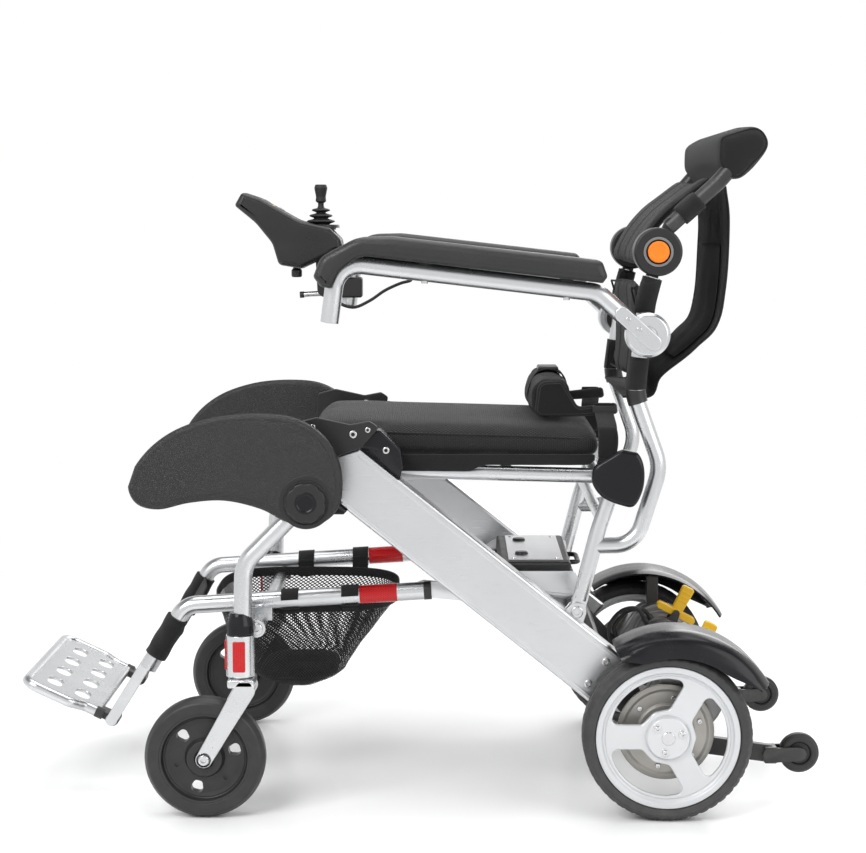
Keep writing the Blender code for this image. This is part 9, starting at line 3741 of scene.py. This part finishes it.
class Controller(Assembly):
    """The control box with its clamp, keys, stick and cable."""

    CASE = (
        (-0.6350, 0.8350, 0.005),
        (-0.6230, 0.8560, 0.007),
        (-0.5960, 0.8470, 0.020),
        (-0.5340, 0.8120, 0.040),
        (-0.4860, 0.8010, 0.008),
        (-0.4680, 0.7830, 0.010),
        (-0.4650, 0.7660, 0.006),
        (-0.4880, 0.7560, 0.010),
        (-0.5300, 0.7360, 0.008),
        (-0.5660, 0.7420, 0.010),
        (-0.5760, 0.7760, 0.030),
        (-0.6020, 0.8080, 0.040),
    )
    FACE = ((-0.5960, 0.8470), (-0.5340, 0.8120))
    KEYS = {"power_key": (0.16, (0.011, 0.016)), "speed_key": (0.52, (0.010, 0.030))}
    CABLE = (
        (-0.4960, 0.2300, 0.7400),
        (-0.4900, 0.2300, 0.7150),
        (-0.4760, 0.2310, 0.6860),
        (-0.4500, 0.2340, 0.6750),
        (-0.4240, 0.2400, 0.6850),
        (-0.4000, 0.2470, 0.7010),
        (-0.3760, 0.2530, 0.7120),
        (-0.3580, 0.2550, 0.7220),
    )

    def __init__(self, paint: Paintshop, sizes: ArmSizes = ArmSizes()) -> None:
        super().__init__(paint)
        self.sizes = sizes

    def build(self) -> None:
        present(self.case(), "armrest_right", None, ("controller",))
        for name, (at, key) in self.KEYS.items():
            present(self.key(name, at, key), name, self.paint.of(Looks.KEY_GREY), (name,))
        present(
            self.gimbal(), "joystick_gimbal", self.paint.of(Looks.STEEL_BLACK), ("joystick_gimbal",),
        )
        present(self.stick(), "joystick", None, ("joystick",))
        present(
            self.cable(), "armrest_right", self.paint.of(Looks.SOFT_GRIP), ("controller_cable",)
        )

    @staticmethod
    def cable_end() -> tuple[Vector, Vector]:
        """Where the cable meets the grommet under the tube, and its direction there."""
        toward = Vector((0.30, 0.0, 0.95)).normalized()
        end = Vector(Controller.CABLE[-1]) + Vector((AXLE_X, 0.0, 0.0))
        return end + toward * 0.0003, toward

    def sloped(
        self, at: float, key: Place, low: float, high: float, edge: float, name: str, aside: float = 0.0
    ) -> bpy.types.Object:
        """A block on the sloping face of the case, from low to high above that face."""
        start, end = Vector(self.FACE[0]), Vector(self.FACE[1])
        run = (end - start).normalized()
        middle = start.lerp(end, at)
        made = Bench.block(
            name, (-key[0] / 2 - AXLE_X, key[0] / 2 - AXLE_X), (-key[1] / 2, key[1] / 2), (low, high), edge, 3
        )
        turn = -math.degrees(math.atan2(run.y, run.x))
        Bench.swing(made, turn, "Y", Vector((0.0, 0.0, 0.0)))
        made.location = (middle.x + AXLE_X, self.sizes.y + aside, middle.y)
        return Bench.settle(made, 35.0)

    def hollows(self) -> list[bpy.types.Object]:
        """The cutters of the case: the arm tube's bore and the stick's well."""
        size = self.sizes
        sx, sz = size.stick
        bore = Bench.tube(
            "bore", Bench.bent(Bench.beside(list(Arms.ROUTE), size.y), size.bend, 5), size.tube + 0.0005, 7
        )
        return [
            bore,
            Bench.pin(
                "well",
                (sx, size.y),
                size.well,
                sz - size.well_depth,
                sz + 0.03,
                steps=DOME_STEPS,
                around=Around.UPRIGHT,
            ),
        ]

    def case(self) -> bpy.types.Object:
        """The case: its soft-edged nose and parting line, the clamp, the knob and the key surrounds."""
        size = self.sizes
        y = size.y
        outline = Bench.rounded(list(self.CASE), 8)
        body = Bench.plate("body", outline, y - size.case_half, y + size.case_half, 0.0085, fine=6)
        tools = self.hollows()
        sx, sz = size.stick
        for name, (at, key) in self.KEYS.items():
            tools.append(
                self.sloped(
                    at, (key[0] + 0.0008, key[1] + 0.0008), -size.key_depth, 0.012, 0.0, name + "_pocket"
                )
            )
        parts = [self.coat(Bench.cut(body, tools), Looks.CONTROLS)]
        seam = Bench.plate("parting", FrontLegs.drawn(outline, -0.0004), y - 0.0005, y + 0.0005, 0.0002)
        parts.append(self.coat(Bench.cut(seam, self.hollows()), Looks.SOFT_GRIP))
        rim = [
            (size.well - 0.0002, sz - 0.0040, 0.0), (size.well - 0.0002, sz + 0.0012, 0.0004),
            (size.well + 0.0028, sz + 0.0006, 0.0006), (size.well + 0.0034, sz - 0.0040, 0.0),
        ]
        parts.append(
            self.coat(
                Bench.turned("well_rim", rim, (sx, y), around=Around.UPRIGHT, steps=DISC_STEPS), Looks.PLASTIC
            )
        )
        clamp = size.clamp
        neck = Bench.oblong(
            (clamp - 0.044, 0.764), (clamp - 0.040, size.clamp_low + 0.013), 0.0115, 0.0125, 16
        )
        parts.append(self.coat(Bench.plate("neck", neck, y - 0.010, y + 0.010, 0.0022), Looks.PLASTIC))
        block = Bench.block(
            "clamp", (clamp - 0.022, clamp + 0.019), (y - 0.0185, y + 0.0185),
            (size.clamp_low, size.clamp_high), 0.0034, 4,
        )
        parts.append(self.coat(block, Looks.PLASTIC))
        rod = [
            Vector((clamp - 0.018 + AXLE_X, y, size.clamp_low + 0.008)),
            Vector((clamp - 0.080 + AXLE_X, y, size.clamp_low + 0.004)),
        ]
        parts.append(self.coat(Bench.tube("bar", rod, 0.0045, 5), Looks.STEEL))
        tip = [rod[1] + (rod[1] - rod[0]).normalized() * far for far in (-0.006, 0.0006)]
        parts.append(self.coat(Bench.tube("bar_cap", tip, 0.0052, 5), Looks.PLASTIC))
        for turn in (-1, 1):
            bolt = Bench.screw(
                "clamp_screw", (clamp + 0.010 * turn - 0.002, size.clamp_low + 0.016), 0.0034, y + 0.0175,
                y + 0.0198,
            )
            parts.append(self.coat(bolt, Looks.STEEL))
        socket = [
            (0.0, 0.722, 0.0), (0.007, 0.722, 0.001), (0.0085, 0.7245, 0.001), (0.0085, 0.733, 0.001),
            (0.006, 0.736, 0.001), (0.004, 0.744, 0.0), (0.0, 0.744, 0.0),
        ]
        parts.append(
            self.coat(
                Bench.turned("socket", socket, (-0.540, y), around=Around.UPRIGHT, steps=STUD_STEPS),
                Looks.PLASTIC,
            )
        )
        start = Vector(self.CABLE[0]) + Vector((AXLE_X, 0.0, 0.0))
        relief = [
            (0.0, start.z, 0.0), (0.0034, start.z, 0.0004), (0.0046, start.z + 0.010, 0.001),
            (0.0046, start.z + 0.014, 0.0), (0.0, start.z + 0.014, 0.0),
        ]
        parts.append(
            self.coat(
                Bench.turned(
                    "strain_relief",
                    relief,
                    (self.CABLE[0][0], self.CABLE[0][1]),
                    around=Around.UPRIGHT,
                    steps=STUD_STEPS,
                ),
                Looks.SOFT_GRIP,
            )
        )
        for index in range(5):
            lamp = self.sloped(0.335, (0.0030, 0.0030), -0.0012, 0.0004, 0.0004, "lamp", (index - 2) * 0.0062)
            parts.append(self.coat(lamp, Looks.YELLOW if index < 3 else Looks.KEY_GREY))
        horn = self.sloped(0.80, (0.0085, 0.0120), -0.0012, 0.0010, 0.0009, "horn", 0.0)
        parts.append(self.coat(horn, Looks.KEY_GREY))
        return Bench.join("control_case", parts)

    def key(self, name: str, at: float, key: Place) -> bpy.types.Object:
        """One rocking key, a small round-edged block on the sloping face."""
        size = self.sizes
        made = self.sloped(
            at, (key[0] - 0.0004, key[1] - 0.0004), -size.key_depth + 0.0012, size.key_proud, 0.0012,
            name + "_cap",
        )
        return made

    def gimbal(self) -> bpy.types.Object:
        """The ring that the stick tips in."""
        size = self.sizes
        top = size.stick[1] - 0.002
        ring = [
            (size.ring_out, top - 0.005, 0.0), (size.ring_in, top - 0.005, 0.001), (size.ring_in, top, 0.001),
            (size.ring_out, top, 0.001), (size.ring_out, top - 0.005, 0.0),
        ]
        return Bench.turned(
            "stick_ring",
            Bench.eased(ring)[:-1],
            (size.stick[0], size.y),
            around=Around.UPRIGHT,
            steps=COLLAR_STEPS,
        )

    def stick(self) -> bpy.types.Object:
        """The stick: a ball, a ribbed rubber boot with rounded folds, a neck and the waisted knob."""
        size = self.sizes
        z = size.stick[1]
        profile = [(0.0, z - size.ball, 0.0)]
        for step in range(1, 8):
            turn = math.pi * step / 18
            profile.append((size.ball * math.sin(turn), z - size.ball * math.cos(turn), 0.0))
        for rib in range(3):
            radius = 0.0225 - 0.0038 * rib
            low = z + 0.0035 + rib * 0.0088
            profile += [
                (radius - 0.0085, low - 0.0012, 0.001), (radius - 0.0010, low + 0.0016, 0.0006),
                (radius, low + 0.0030, 0.0008), (radius - 0.0022, low + 0.0046, 0.001),
                (radius - 0.0090, low + 0.0062, 0.001),
            ]
        neck, top = z + 0.0308, z + size.stick_high
        profile += [
            (0.0046, neck, 0.001), (0.0046, neck + 0.004, 0.001), (0.0085, neck + 0.007, 0.002),
            (0.0077, neck + 0.014, 0.006), (0.0105, top - 0.006, 0.004), (0.0086, top - 0.0006, 0.002),
            (0.0060, top - 0.0012, 0.001), (0.0, top - 0.0018, 0.0),
        ]
        made = Bench.turned(
            "stick", profile, (size.stick[0], size.y), around=Around.UPRIGHT, steps=COLLAR_STEPS
        )
        parts = [self.coat(made, Looks.SOFT_GRIP)]
        return Bench.join("drive_stick", parts)

    def cable(self) -> bpy.types.Object:
        """The short lead from the case to the grommet under the tube."""
        start = Vector(self.CABLE[0]) + Vector((AXLE_X, 0.0, -0.0003))
        end, toward = self.cable_end()
        middle = [Vector(place) + Vector((AXLE_X, 0.0, 0.0)) for place in self.CABLE[1:-1]]
        route = [
            start, start - Vector((0.0, 0.0, 0.006)), *middle, end - toward * 0.006, end - toward * 0.0003
        ]
        return Bench.tube("stick_lead", Seat.smooth(route, 6), self.sizes.cable, 4)


# ------------------------------------------------------------------ stage
class Stage:
    """The floor, the light and the camera."""

    CAMERA = (0.0485, -2.992, 0.8172)
    PITCH = 5.866
    YAW = 0.548
    LENS = 84.8

    def build(self) -> None:
        """Sets the stage."""
        self.floor()
        self.lights()
        self.camera()
        bpy.context.scene.view_settings.view_transform = "Standard"

    def floor(self) -> None:
        """A plain pale floor that the camera sees as white, with soft shadows where the chair stands."""
        bpy.ops.mesh.primitive_plane_add(size=24.0, location=(0.0, 0.0, -0.0004))
        made = bpy.context.view_layer.objects.active
        made.name = "floor"
        material = bpy.data.materials.new("pale_floor")
        material.use_nodes = True
        graph = Graph(material.node_tree)
        shader = material.node_tree.nodes["Principled BSDF"]
        shader.inputs["Roughness"].default_value = 0.32
        shader.inputs["Specular IOR Level"].default_value = 0.35
        coords = graph.add("ShaderNodeTexCoord")
        grain = graph.add("ShaderNodeTexNoise")
        grain.inputs["Scale"].default_value = 6.0
        graph.link(coords.outputs["Object"], grain.inputs["Vector"])
        graph.link(
            graph.mix(grain.outputs[0], (0.90, 0.90, 0.90), (0.93, 0.93, 0.93)), shader.inputs["Base Color"]
        )
        reach = graph.add("ShaderNodeVectorMath", operation="LENGTH")
        graph.link(coords.outputs["Object"], reach.inputs[0])
        fade = graph.add("ShaderNodeMapRange", interpolation_type="SMOOTHSTEP")
        graph.link(reach.outputs["Value"], fade.inputs["Value"])
        fade.inputs["From Min"].default_value = 0.75
        fade.inputs["From Max"].default_value = 1.9
        white = graph.add("ShaderNodeEmission")
        white.inputs["Color"].default_value = (1.0, 1.0, 1.0, 1.0)
        white.inputs["Strength"].default_value = 1.0
        pick = graph.add("ShaderNodeMixShader")
        graph.link(graph.math("MULTIPLY", fade.outputs["Result"], self.seen(graph)), pick.inputs[0])
        graph.link(shader.outputs[0], pick.inputs[1])
        graph.link(white.outputs[0], pick.inputs[2])
        graph.link(pick.outputs[0], material.node_tree.nodes["Material Output"].inputs[0])
        made.data.materials.append(material)

    @staticmethod
    def seen(graph: Graph) -> bpy.types.NodeSocket:
        """One for what the camera sees directly, in a reflection or through something clear."""
        path = graph.add("ShaderNodeLightPath")
        mirrored = graph.math("MAXIMUM", path.outputs["Is Camera Ray"], path.outputs["Is Glossy Ray"])
        return graph.math("MAXIMUM", mirrored, path.outputs["Is Transmission Ray"])

    @staticmethod
    def lights() -> None:
        """White surroundings, a dim ceiling, a large soft key from the upper left front, and two fills."""
        world = bpy.data.worlds.new("studio")
        bpy.context.scene.world = world
        world.use_nodes = True
        graph = Graph(world.node_tree)
        background = world.node_tree.nodes["Background"]
        background.inputs["Color"].default_value = (0.93, 0.94, 0.95, 1.0)
        background.inputs["Strength"].default_value = 0.55
        seen = graph.add("ShaderNodeBackground")
        toward = graph.add("ShaderNodeSeparateXYZ")
        graph.link(graph.add("ShaderNodeTexCoord").outputs["Generated"], toward.inputs[0])
        ceiling = graph.add("ShaderNodeMapRange", interpolation_type="SMOOTHSTEP")
        graph.link(toward.outputs["Z"], ceiling.inputs["Value"])
        ceiling.inputs["From Min"].default_value = 0.28
        ceiling.inputs["From Max"].default_value = 0.75
        graph.link(
            graph.mix(ceiling.outputs["Result"], (1.0, 1.0, 1.0), (0.20, 0.20, 0.21)), seen.inputs["Color"]
        )
        seen.inputs["Strength"].default_value = 1.0
        pick = graph.add("ShaderNodeMixShader")
        graph.link(Stage.seen(graph), pick.inputs[0])
        graph.link(background.outputs[0], pick.inputs[1])
        graph.link(seen.outputs[0], pick.inputs[2])
        graph.link(pick.outputs[0], world.node_tree.nodes["World Output"].inputs[0])
        setups = (
            ("key", (-1.7, -2.4, 2.7), 1.8, 95.0),
            ("fill", (2.4, -1.9, 1.6), 2.2, 38.0),
            ("top", (0.2, 0.4, 3.2), 2.6, 60.0),
            ("back", (1.4, 2.6, 1.9), 1.8, 40.0),
        )
        for name, place, size, power in setups:
            light = bpy.data.lights.new(name, "AREA")
            light.size = size
            light.energy = power
            made = bpy.data.objects.new(name, light)
            bpy.context.scene.collection.objects.link(made)
            made.location = place
            made.rotation_euler = (
                Vector((0.0, 0.0, 0.45)) - Vector(place)
            ).to_track_quat("-Z", "Y").to_euler()

    def camera(self) -> None:
        """The camera where the picture was taken from."""
        data = bpy.data.cameras.new("camera")
        data.lens = self.LENS
        data.sensor_width = 36.0
        made = bpy.data.objects.new("camera", data)
        bpy.context.scene.collection.objects.link(made)
        made.location = self.CAMERA
        made.rotation_euler = (math.radians(90 - self.PITCH), 0.0, math.radians(self.YAW))
        bpy.context.scene.camera = made


def main() -> None:
    """Loads the frame and builds the whole picture."""
    logging.basicConfig(level=logging.INFO, format="%(message)s")
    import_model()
    paint = Paintshop(Effects())
    for kind in (
        SideBeams, DriveUnits, DriveWheels, AntiTips, FrontLegs, Casters, LowerFrame, Power, Seat, Back, Arms,
        Controller,
    ):
        log.info("building %s", kind.__name__)
        kind(paint).build()
    Stage().build()


if __name__ == "__main__":
    main()
